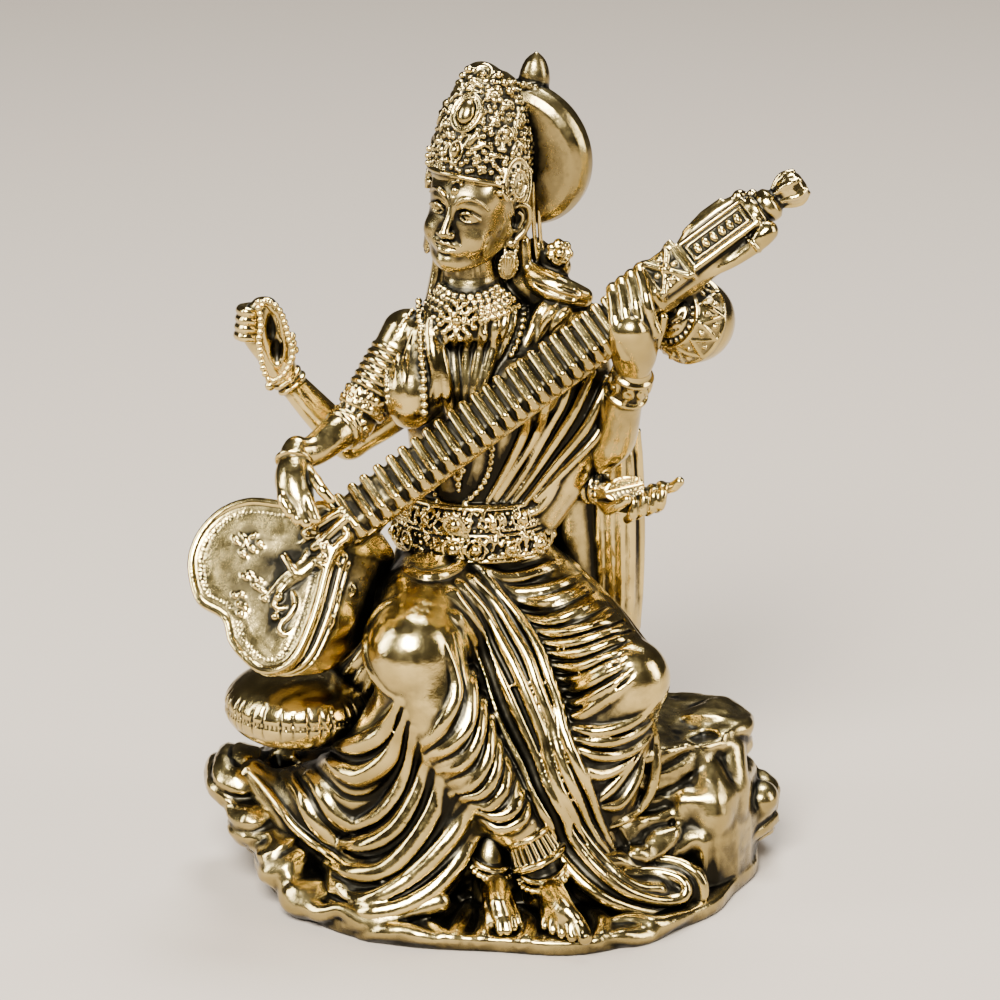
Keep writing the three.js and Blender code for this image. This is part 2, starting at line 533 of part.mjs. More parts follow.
function crown() {
  const profile = [[0, 3.4], [5.5, 3.4], [6.2, 3.8], [6.2, 4.9], [5.6, 5.4], [5.9, 7.2], [5.7, 9.0],
    [6.0, 9.5], [5.7, 10.4], [5.1, 11.4], [4.5, 13.2], [4.3, 14.0], [3.2, 15.6], [1.7, 17.0],
    [0, 17.6]];
  const dome = lathe(profile, 16).rotateX(Math.PI / 2).scale(0.98, 1.06, 1);
  dome.rotateX(degrees(CROWN_TILT)).rotateZ(degrees(HEAD_TURN));
  const seat = vec(onHead(0.4, -0.9, 0));
  dome.translate(...seat.toArray());
  const turn = HEAD_TURN;
  const shapes = [
    dome,
    ball(onHead(0.4, 2.0, 12.0), [1.6, 1.0, 2.1], { turn, tip: -20, sides: 8, rows: 6 }),
    ball(onHead(0.4, 4.2, 7.2), [1.2, 0.9, 1.8], { turn, tip: -13, sides: 8, rows: 5 }),
    ball(onHead(0.4, -1.6, 16.4), [1.8, 1.2, 1.6], { turn, tip: -20, sides: 8, rows: 5 }),
  ];
  // Rows of beads and jewels round the crown: how many, how high, how far out and how big
  const rows = [[8, 7.0, 5.5, 1.25], [7, 12.0, 4.5, 1.2]];
  for (const [count, up, out, size] of rows) {
    for (let i = 0; i < count; i++) {
      const angle = (2 * Math.PI * (i + 0.5)) / count;
      const lean = -Math.tan(degrees(CROWN_TILT));
      const forward = out * Math.cos(angle);
      const place = onHead(0.4 + out * Math.sin(angle), 1.04 * forward - 0.9 - lean * up,
        up + lean * forward);
      shapes.push(ball(place, [size, size, 1.2 * size], { turn, sides: 7, rows: 5 }));
    }
  }
  for (const side of [-1, 1]) {
    shapes.push(
      ball(onHead(5.5 * side + 0.4, -0.6, 5.0), [0.9, 2.3, 3.0], { turn, sides: 10, rows: 6 }),
    );
  }
  return shapes;
}

// The coiled hair behind the crown, a flattened bun with a rolled rim and a drop-shaped finial.
function hair() {
  const profile = [[0, -0.6], [5.6, -0.8], [6.6, -1.6], [7.9, -1.7], [8.7, -0.6], [8.6, 0.9],
    [7.4, 2.8], [5.0, 4.6], [2.4, 5.4], [0, 5.6]];
  const bun = lathe(profile, 18).rotateX(degrees(8)).rotateZ(degrees(HEAD_TURN));
  bun.translate(...vec(onHead(3.2, -6.8, 6.2)).toArray());
  return [
    bun,
    limb([[5.2, 6.0, 95.0, 1.5], [5.3, 5.8, 97.6, 1.35], [5.4, 5.6, 99.2, 0.5]],
      { sides: 8, steps: 1 }),
    limb([[...onHead(0, -4.0, 2.0), 4.6], [0.4, 6.6, 76.5, 3.9], [0.2, 7.6, 68.0, 4.6],
      [-0.4, 8.0, 58.0, 4.6], [-0.8, 8.0, 48.0, 3.4]], { sides: 10, flat: 0.75 }),
    // Locks of hair down the back
    ...fan([[-2.2, 9.2, 84.0], [-2.6, 10.8, 72.0], [-3.4, 11.4, 60.0], [-3.6, 11.4, 49.0]],
      [[3.4, 9.2, 84.0], [2.8, 10.8, 72.0], [2.6, 11.4, 60.0], [2.0, 11.4, 49.0]], 4,
      { radius: 1.0, onBody: false, steps: 6 }),
    // The scarf over her left shoulder, and the locks at either side of the neck
    limb([[4.2, 4.6, 82.0, 1.5], [5.0, 4.4, 78.5, 2.1], [6.6, 3.8, 75.4, 2.9], [9.8, 2.8, 71.6, 2.6]],
      { sides: 8 }),
    limb([[...onHead(3.8, -2.2, -1.0), 2.6], [3.2, 3.4, 75.6, 3.0], [4.6, 3.0, 70.8, 3.2]],
      { sides: 8, steps: 1 }),
    limb([[...onHead(-3.6, -2.4, -1.0), 1.8], [-5.6, 3.4, 75.6, 1.5], [-6.2, 3.2, 70.4, 1.8]],
      { sides: 7, steps: 1 }),
  ];
}

// Lute

const LUTE_FOOT = new THREE.Vector3(-32.3, -13.0, 37.4);
const LUTE_AXIS = new THREE.Vector3(0.804, 0.126, 0.581).normalize();
const LUTE_FACE = new THREE.Vector3(-0.29, -0.77, 0.568);
const BOARD = 1.6;
const NECK_START = 16;
const NECK_END = 76;
const FRETS_START = 19.6;
const FRETS_END = 58.4;
// Outline of the heart-shaped soundboard, along the neck and across it, from the notch round the
// upper lobe
const SOUNDBOARD = [[0.4, -1.4], [-1.0, 2.2], [0.3, 6.5], [2.4, 8.8], [5.0, 10.0], [8.0, 10.2],
  [11.0, 9.1], [13.5, 6.8], [16.0, 4.2], [18.5, 2.5], [18.5, -2.5], [16.5, -3.0], [14.3, -4.4],
  [10.1, -8.2], [5.7, -11.1], [2.7, -11.3], [0.6, -9.8], [-0.3, -6.8], [-0.4, -4.2]];

// The lute's own axes: x along the neck, y across it, and z out of the soundboard.
function luteFrame() {
  const face = LUTE_FACE.clone().addScaledVector(LUTE_AXIS, -LUTE_FACE.dot(LUTE_AXIS)).normalize();
  const across = face.clone().cross(LUTE_AXIS);
  const frame = new THREE.Matrix4().makeBasis(LUTE_AXIS, across, face);
  return frame.setPosition(LUTE_FOOT.clone().multiplyScalar(UNIT));
}

function lute() {
  const frame = luteFrame();
  const inFrame = (geometry) => geometry.applyMatrix4(frame);
  const outline = SOUNDBOARD.map(([x, y]) => new THREE.Vector2(x * UNIT, y * UNIT));
  const board = new THREE.ExtrudeGeometry(new THREE.Shape(outline),
    { depth: BOARD * UNIT, bevelEnabled: false, curveSegments: 1 });
  board.translate(0, 0, -BOARD * UNIT);
  // The bowl: rings of the board's outline that shrink as they go down from it
  const levels = [[-1.2, 0.97, 0.4, 0], [-4.0, 1.0, 1.6, -0.4], [-7.4, 0.95, 3.2, -1.2],
    [-10.6, 0.76, 4.6, -1.8], [-12.8, 0.44, 5.4, -2.2]];
  const rings = levels.map(([depth, share, shift, drop]) =>
    SOUNDBOARD.map(([x, y]) => vec([8 + (x - 8) * share + shift, y * share + drop, depth])),
  );
  const bowl = skin(rings, vec([8, 0, -1.2]), vec([13.4, -2.2, -13.3]));
  const shapes = [board, bowl].map(inFrame);
  const length = NECK_END - NECK_START;
  shapes.push(block(frame, [length * UNIT, LUTE_NECK_WIDTH, LUTE_NECK_DEPTH],
    [(NECK_START + length / 2) * UNIT, 0, -LUTE_NECK_DEPTH / 2]));
  for (let i = 0; i < FRET_COUNT; i++) {
    const place = FRETS_START + ((FRETS_END - FRETS_START) * i) / (FRET_COUNT - 1);
    shapes.push(block(frame, [FRET_THICKNESS, LUTE_NECK_WIDTH + 0.5, 2 * FRET_HEIGHT],
      [place * UNIT, 0, 0]));
  }
  // Peg box with its panel, the rings and knobs of the head, and the pegs at its sides
  const frameBall = (place, radii) => inFrame(ball(place, radii, { sides: 8, rows: 6 }));
  shapes.push(
    block(frame, [5.0 * UNIT, 5.2 * UNIT, 4.6 * UNIT], [66.0 * UNIT, 0.5 * UNIT, -1.4 * UNIT]),
    block(frame, [9.8 * UNIT, 4.2 * UNIT, 4.0 * UNIT], [73.4 * UNIT, 0.4 * UNIT, -1.4 * UNIT]),
    block(frame, [8.0 * UNIT, 2.6 * UNIT, 1.0 * UNIT], [73.4 * UNIT, 0.4 * UNIT, 0.7 * UNIT]),
    frameBall([61.4, 0.4, -1.2], [0.8, 3.2, 2.9]),
    frameBall([78.8, 0.4, -1.4], [0.9, 2.3, 2.2]),
    frameBall([80.6, 0.4, -1.4], [1.5, 1.8, 1.8]),
    frameBall([83.2, 0.4, -1.4], [1.6, 1.4, 1.4]),
    inFrame(limb([[69.2, 3.0, -1.2, 0.9], [72.0, 3.4, -1.2, 1.1], [75.4, 3.5, -1.2, 1.1],
      [78.4, 3.0, -1.2, 0.9]], { sides: 6, steps: 1 })),
    inFrame(limb([[69.6, -2.0, -1.2, 0.8], [73.6, -2.4, -1.2, 1.0], [77.4, -2.5, -1.2, 1.2]],
      { sides: 6, steps: 1 })),
    // The second gourd, under the head of the neck
    ball([24.0, 0.6, 69.8], [4.5, 4.5, 4.4], { sides: 14, rows: 10 }),
    ball([20.6, -2.8, 70.0], [2.2, 2.0, 2.4], { sides: 10, rows: 6 }),
    limb([[23.4, -1.0, 72.6, 1.9], [22.6, -3.0, 76.0, 1.9]], { sides: 7, steps: 1 }),
    // Bridge on the soundboard
    block(frame, [1.4 * UNIT, 4.6 * UNIT, 1.6 * UNIT], [9.4 * UNIT, 0, 0.3 * UNIT]),
    block(frame, [9.0 * UNIT, 2.0 * UNIT, 0.8 * UNIT], [14.6 * UNIT, 0, 0.3 * UNIT]),
  );
  return shapes;
}

// Rock, plate and cushion

const FOOTPRINT = [[-19.4, -19.4], [-25.8, -9], [-29.0, 3], [-25.0, 16], [-12.0, 24], [6.0, 25],
  [20.0, 21], [30.5, 11], [32.6, -1], [29.4, -9], [25.4, -17], [12.0, -27], [0.0, -26.4],
  [-11.0, -24.6]];

const footprint = new THREE.CatmullRomCurve3(
  FOOTPRINT.map(([x, y]) => new THREE.Vector3(x, y, 0)),
  true,
);

// A rock: rings of the footprint at [z, wide, deep, x, y], scaled and moved, with waves that push
// each corner in and out, and a ledge wherever two rings share nearly the same height.
function rock(levels, rough, phase) {
  const points = footprint.getPoints(22).reverse();
  const rings = levels.map(([z, wide, deep, x, y], level) =>
    points.slice(0, -1).map((point, i) => {
      const slow = Math.sin(1.9 * i + phase + 0.5 * Math.floor(level / 2));
      const quick = Math.sin(3.7 * i + 1.3 * level + phase);
      const push = 1 + rough * (slow + 0.6 * quick);
      const rise = z > 0 ? 0.35 * Math.sin(2.7 * i + level) : 0;
      return vec([point.x * wide * push + x, point.y * deep * push + y, z + rise]);
    }),
  );
  const centre = ([z, , , x, y]) => vec([x, y, z]);
  return skin(rings, centre(levels[0]), centre(levels[levels.length - 1]));
}

function base() {
  const points = footprint.getPoints(32).slice(0, -1);
  const outline = new THREE.Shape(points.map((p) => new THREE.Vector2(p.x * UNIT, p.y * UNIT)));
  return [
    new THREE.ExtrudeGeometry(outline, { depth: BASE_PLATE, bevelEnabled: false }),
    rock([[0, 0.93, 0.76, 0, 4.0], [3.8, 0.96, 0.76, 0.2, 4.4], [4.6, 1.03, 0.8, 0.6, 4.0],
      [7.8, 1.06, 0.78, 0.6, 4.4], [8.4, 0.99, 0.74, 0, 4.8],
      [11.2, 1.0, 0.74, -0.6, 5.0], [11.8, 0.95, 0.68, -0.4, 5.4], [14.2, 0.94, 0.64, -0.4, 5.4],
      [15.2, 0.86, 0.54, -0.4, 5.4]], 0.035, 0.4),
    rock([[10, 0.66, 0.5, 8.6, 2.4], [14.8, 0.66, 0.46, 8.6, 1.8], [15.6, 0.7, 0.46, 8.2, 1.8],
      [18.2, 0.68, 0.42, 8.0, 1.6], [19.0, 0.6, 0.36, 8.0, 1.6]], 0.03, 1.9),
    rock([[10, 0.56, 0.64, 1.0, 6.6], [16.0, 0.54, 0.62, 1.2, 6.8], [17.0, 0.5, 0.58, 1.2, 7.0],
      [21.5, 0.48, 0.56, 1.2, 7.0], [22.5, 0.42, 0.5, 1.0, 6.8],
      [27.5, 0.4, 0.47, 0.8, 6.6], [29.0, 0.34, 0.4, 0.8, 6.4]], 0.035, 3.1),
    ball([-30.2, 0.6, 11.4], [4.5, 5.8, 3.7], { turn: 10, sides: 9, rows: 7 }),
    ball([-27.2, -4.5, 7.8], [4.4, 5.6, 3.4], { turn: -20, sides: 9, rows: 7 }),
    ball([-24.0, -10.2, 5.0], [4.4, 5.0, 3.4], { turn: -30, sides: 9, rows: 7 }),
    ball([-20.9, -14.6, 2.4], [4.2, 4.4, 2.8], { turn: -40, sides: 9, rows: 7 }),
    limb([[32.8, 5.6, 7.4, 2.3], [31.0, 4.0, 3.0, 2.2]], { sides: 7, steps: 1 }),
    limb([[25.6, 2.0, 17.0, 3.0], [28.0, 6.4, 16.6, 3.0], [23.6, 10.0, 16.0, 3.0]],
      { sides: 8, steps: 1 }),
    limb([[22.0, -6.6, 12.2, 3.2], [27.0, -4.0, 12.6, 2.6]],
      { sides: 7, steps: 1, flat: 0.6, over: [0, 0, 1] }),
    limb([[20.0, -11.0, 7.4, 3.0], [26.2, -8.0, 7.6, 2.6]],
      { sides: 7, steps: 1, flat: 0.6, over: [0, 0, 1] }),
    // Hem of the dress along the ground
    fold([[-23.4, -13.6, 3.0], [-21.6, -18.2, 2.4], [-17.6, -20.8, 3.2], [-14.4, -22.4, 2.4],
      [-10.8, -22.6, 3.6], [-6.0, -21.6, 4.4]], { radius: 1.3, steps: 9, onBody: false }),
    // Cushion under the lute's bowl
    ball([-22.8, -3.0, 19.8], [9.4, 8.8, 3.6], { sides: 22, rows: 8 }),
    ball([-22.2, -3.0, 22.4], [8.2, 7.8, 4.2], { sides: 20, rows: 8 }),
    // Cloth between the cushion, the hip and the lute's bowl
    limb([[-13.0, 1.0, 20.0, 6.4], [-13.6, -1.0, 27.0, 5.2], [-11.4, 0.0, 33.0, 4.4]],
      { sides: 10, steps: 1 }),
  ];
}

// The cloth that hangs behind the left arms down to the rock.
function backCloth() {
  return [
    limb([[8.0, 6.4, 64.0, 4.4], [12.4, 7.8, 54.0, 5.0], [14.0, 8.8, 42.0, 4.9],
      [14.2, 9.6, 30.0, 5.0], [14.0, 10.0, 18.0, 5.4]], { sides: 10, steps: 2, flat: 0.5 }),
    limb([[0.0, 8.4, 54.0, 6.4], [0.0, 9.6, 40.0, 8.6], [0.0, 10.6, 26.0, 10.0]],
      { sides: 10, steps: 1, flat: 0.5 }),
    ...fan([[-6.4, 10.8, 45.0], [-7.2, 13.2, 34.0], [-8.2, 15.2, 24.0]], [[6.4, 10.8, 45.0],
      [7.2, 13.2, 34.0], [8.2, 15.2, 24.0]], 6, { radius: 1.0, onBody: false, steps: 5 }),
    ...fan([[12.2, 9.6, 56.0], [12.4, 11.8, 40.0], [12.0, 13.0, 24.0]], [[15.2, 9.4, 56.0],
      [16.2, 11.6, 40.0], [16.0, 12.8, 24.0]], 3, { radius: 0.9, onBody: false, steps: 5 }),
    fold([[17.6, 6.6, 56.0], [18.2, 7.6, 44.0], [18.4, 8.6, 24.0]],
      { radius: 1.1, steps: 6, onBody: false }),
    fold([[15.2, 5.6, 52.0], [15.6, 6.6, 40.0], [15.4, 7.4, 24.0]],
      { radius: 1.1, steps: 6, onBody: false }),
    fold([[12.4, 5.4, 48.0], [12.6, 6.4, 38.0], [12.2, 7.2, 26.0]],
      { radius: 1.0, steps: 6, onBody: false }),
  ];
}

// How much a place is looked at: the face and the hands keep more of their shape.
function care(place) {
  const face = place.distanceTo(vec(onHead(0, 3.5, -1))) / UNIT;
  const grip = place.distanceTo(vec([16.4, -7.5, 72.0])) / UNIT;
  if (face < 6) return 12;
  return grip < 6 ? 3 : 1;
}

// Thins a closed mesh to a count of triangles, by merging the edges whose loss moves its surface
// least.
function thin({ vertProperties, triVerts }, count) {
  const points = Array.from({ length: vertProperties.length / 3 }, (_, i) =>
    new THREE.Vector3().fromArray(vertProperties, 3 * i),
  );
  const faces = Array.from({ length: triVerts.length / 3 }, (_, i) => [
    ...triVerts.slice(3 * i, 3 * i + 3),
  ]);
  const around = points.map(() => new Set());
  faces.forEach((face, i) => face.forEach((corner) => around[corner].add(i)));
  const normalOf = (corners) => {
    const [a, b, c] = corners;
    return b.clone().sub(a).cross(c.clone().sub(a));
  };
  // Each point keeps the sum of squared distances to its faces' planes as a symmetric 4 by 4 form.
  const forms = points.map(() => new Float64Array(10));
  faces.forEach((face) => {
    const normal = normalOf(face.map((corner) => points[corner]));
    const area = normal.length();
    const weight = area * care(points[face[0]]);
    normal.divideScalar(area || 1);
    const plane = [normal.x, normal.y, normal.z, -normal.dot(points[face[0]])];
    let slot = 0;
    for (let row = 0; row < 4; row++) {
      for (let column = row; column < 4; column++) {
        const term = weight * plane[row] * plane[column];
        face.forEach((corner) => (forms[corner][slot] += term));
        slot++;
      }
    }
  });
  const error = (form, p) => {
    const [xx, xy, xz, xw, yy, yz, yw, zz, zw, ww] = form;
    const square = xx * p.x * p.x + yy * p.y * p.y + zz * p.z * p.z;
    const cross = xy * p.x * p.y + xz * p.x * p.z + yz * p.y * p.z;
    return square + 2 * (cross + xw * p.x + yw * p.y + zw * p.z) + ww;
  };
  const merged = (a, b) => {
    const form = forms[a].map((value, i) => value + forms[b][i]);
    const [xx, xy, xz, xw, yy, yz, yw, zz, zw] = form;
    const middle = points[a].clone().lerp(points[b], 0.5);
    const choices = [points[a], points[b], middle];
    const matrix = new THREE.Matrix3().set(xx, xy, xz, xy, yy, yz, xz, yz, zz);
    if (matrix.determinant() > 1e-5 * (xx + yy + zz) ** 3) {
      const best = new THREE.Vector3(-xw, -yw, -zw).applyMatrix3(matrix.invert());
      if (best.distanceTo(middle) < points[a].distanceTo(points[b])) choices.unshift(best);
    }
    const costs = choices.map((place) => error(form, place));
    const cheapest = costs.indexOf(Math.min(...costs));
    const length = points[a].distanceToSquared(points[b]);
    const cost = Math.max(costs[cheapest], 0) + 1e-4 * length;
    return { a, b, form, place: choices[cheapest], cost };
  };
  const neighbours = (point) => {
    const corners = [...around[point]].flatMap((i) => faces[i]);
    return new Set(corners.filter((corner) => corner !== point));
  };
  const keepsShape = (point, other, place) =>
    [...around[point]].every((i) => {
      const face = faces[i];
      if (face.includes(other)) return true;
      const before = normalOf(face.map((corner) => points[corner]));
      const after = normalOf(face.map((corner) => (corner === point ? place : points[corner])));
      return after.dot(before) > 0.3 * after.length() * before.length() && after.length() > 1e-4;
    });
  let left = faces.length;
  let busy = true;
  while (left > count && busy) {
    busy = false;
    const edges = [];
    around.forEach((_, a) => neighbours(a).forEach((b) => b > a && edges.push(merged(a, b))));
    edges.sort((one, two) => one.cost - two.cost);
    const touched = new Set();
    for (const { a, b, form, place } of edges.slice(0, Math.ceil(edges.length / 5))) {
      if (left <= count) break;
      if (touched.has(a) || touched.has(b)) continue;
      const near = neighbours(a);
      const shared = [...neighbours(b)].filter((point) => near.has(point));
      if (shared.length !== 2 || !keepsShape(a, b, place) || !keepsShape(b, a, place)) continue;
      for (const i of [...around[b]]) {
        if (faces[i].includes(a)) {
          faces[i].forEach((corner) => around[corner].delete(i));
        } else {
          faces[i] = faces[i].map((corner) => (corner === b ? a : corner));
          around[a].add(i);
        }
      }
      around[b].clear();
      points[a] = place.clone();
      forms[a] = form;
      neighbours(a).forEach((point) => touched.add(point));
      touched.add(a);
      left -= 2;
      busy = true;
    }
  }
  // The underside stays flat on the ground.
  points.filter((point) => point.z < FLAT).forEach((point) => point.setZ(0));
  const kept = faces.filter((face, i) => around[face[0]].has(i));
  const thinned = new THREE.BufferGeometry().setFromPoints(points).setIndex(kept.flat());
  return mergeVertices(thinned.toNonIndexed(), 1e-4);
}

const figure = fuse([
  ...base(),
  ...backCloth(),
  ...legs(),
  ...dressFolds(),
  ...sash(),
  ...feet(),
  ...torso(),
  ...arms(),
  ...hands(),
  ...head(),
  ...crown(),
  ...hair(),
  ...lute(),
]);

// The casting stands flat, so nothing reaches below the ground, and it is solid, so its largest skin is
// kept and any pocket closed in between two forms is filled.
const below = new THREE.BoxGeometry(2 * HEIGHT, 2 * HEIGHT, HEIGHT).translate(0, 0, -HEIGHT / 2);
const ground = solid(below);
const skins = figure.subtract(ground).decompose();
const largest = skins.reduce((one, two) => (one.volume() > two.volume() ? one : two));
const geometry = thin(largest.getMesh(), TRIANGLES);
geometry.computeBoundingBox();
const middle = geometry.boundingBox.getCenter(new THREE.Vector3());
geometry.translate(-middle.x, -middle.y, 0);

const brass = new THREE.MeshStandardMaterial({ color: 0xb0904a, metalness: 1, roughness: 0.3 });
const casting = new THREE.Mesh(geometry, brass);
casting.name = "saraswati_figure";

const part = new THREE.Group();
part.add(casting);
export default part;
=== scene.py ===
"""Four-armed goddess seated on a rock with a long-necked lute: the finished surface of the brass casting.

Each piece is modelled as a distance field, in millimetres, and turned into a closed mesh.
"""
import math
from concurrent.futures import ThreadPoolExecutor

import bpy
import numpy as np
import openvdb
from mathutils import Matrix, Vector


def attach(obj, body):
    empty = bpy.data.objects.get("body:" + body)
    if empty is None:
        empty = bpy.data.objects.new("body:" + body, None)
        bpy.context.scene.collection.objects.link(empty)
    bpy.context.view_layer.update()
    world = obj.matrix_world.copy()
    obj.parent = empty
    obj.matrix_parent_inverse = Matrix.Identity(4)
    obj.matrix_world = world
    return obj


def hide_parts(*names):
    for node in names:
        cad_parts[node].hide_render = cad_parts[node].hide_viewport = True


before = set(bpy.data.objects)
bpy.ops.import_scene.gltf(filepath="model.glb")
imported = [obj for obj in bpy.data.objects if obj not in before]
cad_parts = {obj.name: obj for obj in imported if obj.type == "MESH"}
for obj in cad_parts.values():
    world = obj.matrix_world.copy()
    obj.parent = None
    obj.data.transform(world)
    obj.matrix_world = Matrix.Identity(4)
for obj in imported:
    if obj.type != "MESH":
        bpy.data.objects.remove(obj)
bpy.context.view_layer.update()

NODE = "saraswati_figure"
BODY = "root"
MM = 0.001
# The solid is centred on its outline, which moves the modelling millimetres by this much.
SHIFT = np.array([-0.44, 1.08, 0.0])
COARSE = 1.0
# The largest distance that a clay holds, and the cells kept free round each form in it
FAR = 3.0
MARGIN_CELLS = 3
# The bars that a limb has between each two of its stations
LIMB_STEPS = 6
# Loose skins smaller than this many cubic mm are dropped
CRUMB = 12.0

# The photograph's camera
PHOTO_SIZE = 1000
FOCAL_PIXELS = 4631
CAMERA_DISTANCE = 550.0
LOOK_AT = np.array([1.2, 0.0, 46.9])
CAMERA_PITCH = math.radians(18)
VIEW_FORWARD = np.array([0.0, math.cos(CAMERA_PITCH), -math.sin(CAMERA_PITCH)])
VIEW_RIGHT = np.array([1.0, 0.0, 0.0])
VIEW_UP = np.cross(VIEW_RIGHT, VIEW_FORWARD)
CAMERA_PLACE = LOOK_AT - CAMERA_DISTANCE * VIEW_FORWARD
# Rays towards the figure start this far before its middle and are followed this far
RAY_LEAD = 60.0
RAY_REACH = 120.0
SIDE_REACH = 110.0

# The body's main forms, as stations [x, y, z, radius]; the torso's are [x, y, z, half width, half depth]
TORSO_TURN = -14
TORSO = [
    [-1.2, 4.4, 27.0, 9.2, 7.4], [-1.2, 4.0, 35.5, 10.2, 7.8], [-1.9, 3.2, 40.5, 9.0, 6.6],
    [-2.3, 2.6, 46.0, 7.3, 5.3], [-1.9, 2.5, 53.0, 7.9, 5.4], [-1.4, 2.2, 60.5, 9.4, 5.9],
    [-1.1, 2.4, 66.0, 9.2, 4.9], [-1.3, 2.4, 69.3, 5.6, 3.9], [-1.8, 2.0, 71.6, 3.5, 3.3],
    [-2.4, 1.6, 77.5, 2.6, 2.6],
]
THIGH_RIGHT = [[-4.4, 3.5, 34.8, 7.2], [-7.2, -6.0, 35.0, 6.5], [-8.9, -14.2, 32.9, 5.7]]
THIGH_LEFT = [[4.0, 4.0, 33.8, 6.6], [10.2, -4.0, 31.2, 5.9], [15.4, -10.4, 28.4, 4.9]]
KNEE_LEFT = [17.3, -11.6, 28.5]
SHIN_RIGHT = [[-8.7, -14.4, 32.2, 5.5], [-5.0, -16.0, 24.5, 4.8], [0.4, -16.8, 15.8, 3.8],
              [3.9, -16.7, 11.2, 2.9]]
SHIN_LEFT = [[15.4, -10.8, 27.2, 4.7], [12.2, -12.0, 21.5, 4.2], [6.4, -13.6, 13.5, 3.4],
             [3.2, -14.0, 10.8, 2.6]]
LAP = [[-1.5, -4.0, 31.5, 5.6], [4.2, -8.0, 24.5, 6.0], [6.0, -9.5, 14.5, 6.0], [5.0, -8.4, 6.0, 4.6]]
DRAPE_HIGH = [[-8.6, -12.4, 25.5, 5.2], [-12.2, -11.2, 18.5, 5.3], [-17.2, -8.4, 12.6, 5.4],
              [-22.6, -4.4, 9.8, 4.9]]
DRAPE_LOW = [[-4.6, -13.6, 19.0, 4.6], [-8.2, -14.8, 11.5, 4.8], [-12.6, -15.6, 6.0, 4.6],
             [-15.5, -15.4, 3.2, 4.2]]
DRAPE_FOOT = [[-3.6, -15.0, 15.0, 3.4], [-5.4, -17.0, 9.0, 3.4], [-8.6, -19.0, 4.4, 3.0],
              [-13.0, -20.0, 2.6, 2.6]]
DRAPE_RIGHT = [[16.2, -7.5, 25.5, 4.2], [15.0, -8.6, 19.0, 4.1], [13.2, -9.6, 12.5, 4.3]]
SHAWL = [[9.4, 3.0, 66.0, 4.0], [10.2, 2.4, 59.0, 4.6], [8.2, 2.6, 52.0, 4.8], [4.8, 2.6, 46.0, 4.6]]
# The rock's outline on the ground, as [x, y]
FOOTPRINT = [[-19.4, -19.4], [-25.8, -9], [-29.0, 3], [-25.0, 16], [-12.0, 24], [6.0, 25], [20.0, 21],
             [30.5, 11], [32.6, -1], [29.4, -9], [25.4, -17], [12.0, -27], [0.0, -26.4], [-11.0, -24.6]]


# Curves

def smooth(points, count, closed=False):
    """count places spaced evenly along a Catmull-Rom curve through rows of numbers."""
    p = np.asarray(points, float)
    if closed:
        p = np.vstack([p[-1], p, p[0], p[1]])
    else:
        p = np.vstack([2 * p[0] - p[1], p, 2 * p[-1] - p[-2]])
    fine = 16
    t = np.linspace(0, 1, fine, endpoint=False)[:, None]
    spans = []
    for a, b, c, d in zip(p[:-3], p[1:-2], p[2:-1], p[3:]):
        spans.append(0.5 * (2 * b + (c - a) * t + (2 * a - 5 * b + 4 * c - d) * t**2
                            + (3 * b - a - 3 * c + d) * t**3))
    dense = np.vstack(spans + [p[-2:-1]])
    along = np.concatenate([[0], np.cumsum(np.linalg.norm(np.diff(dense, axis=0), axis=1))])
    where = np.linspace(0, along[-1], count, endpoint=not closed)
    return np.stack([np.interp(where, along, column) for column in dense.T], axis=1)


def length(points):
    return float(np.linalg.norm(np.diff(np.asarray(points, float), axis=0), axis=1).sum())


def turning(axis, degrees):
    """A 3 by 3 rotation about a direction."""
    x, y, z = np.asarray(axis, float) / np.linalg.norm(axis)
    c, s = math.cos(math.radians(degrees)), math.sin(math.radians(degrees))
    cross = np.array([[0, -z, y], [z, 0, -x], [-y, x, 0]])
    return np.eye(3) * c + s * cross + (1 - c) * np.outer([x, y, z], [x, y, z])


def frame_at(place, columns):
    """A 4 by 4 frame from a place and three axes as columns."""
    made = np.eye(4)
    made[:3, :3] = columns
    made[:3, 3] = place
    return made


def outline_distance(outline, x, y):
    """Signed distances in a plane from places to a closed outline, negative inside."""
    nearest = np.full(np.broadcast(x, y).shape, 1e9, np.float32)
    inside = np.zeros(nearest.shape, bool)
    ends = np.roll(outline, -1, axis=0)
    for (ax, ay), (bx, by) in zip(outline, ends):
        dx, dy = bx - ax, by - ay
        t = np.clip(((x - ax) * dx + (y - ay) * dy) / max(dx * dx + dy * dy, 1e-12), 0, 1)
        nearest = np.minimum(nearest, (x - ax - t * dx) ** 2 + (y - ay - t * dy) ** 2)
        if ay != by:
            crossing = ((ay > y) != (by > y)) & (x < (bx - ax) * (y - ay) / (by - ay) + ax)
            inside ^= crossing
    return np.where(inside, -1, 1) * np.sqrt(nearest)


def seen(pixel, y=None, z=None):
    """The place under a pixel of the photograph that lies at a depth y or at a height z."""
    middle = PHOTO_SIZE / 2
    ray = VIEW_FORWARD * FOCAL_PIXELS + VIEW_RIGHT * (pixel[0] - middle) + VIEW_UP * (middle - pixel[1])
    axis, level = (1, y) if z is None else (2, z)
    return CAMERA_PLACE + ray * (level - CAMERA_PLACE[axis]) / ray[axis]


def hoop(centre, axis, radius, count, start=0.0):
    """Places at equal steps round an axis, from a start angle in degrees."""
    axis = np.asarray(axis, float) / np.linalg.norm(axis)
    across = np.cross(axis, (0.0, 1.0, 0.0))
    if np.linalg.norm(across) < 0.1:
        across = np.cross(axis, (1.0, 0.0, 0.0))
    across /= np.linalg.norm(across)
    over = np.cross(axis, across)
    angles = np.radians(start + 360 * np.arange(count) / count)[:, None]
    return np.asarray(centre) + radius * (across * np.cos(angles) + over * np.sin(angles))


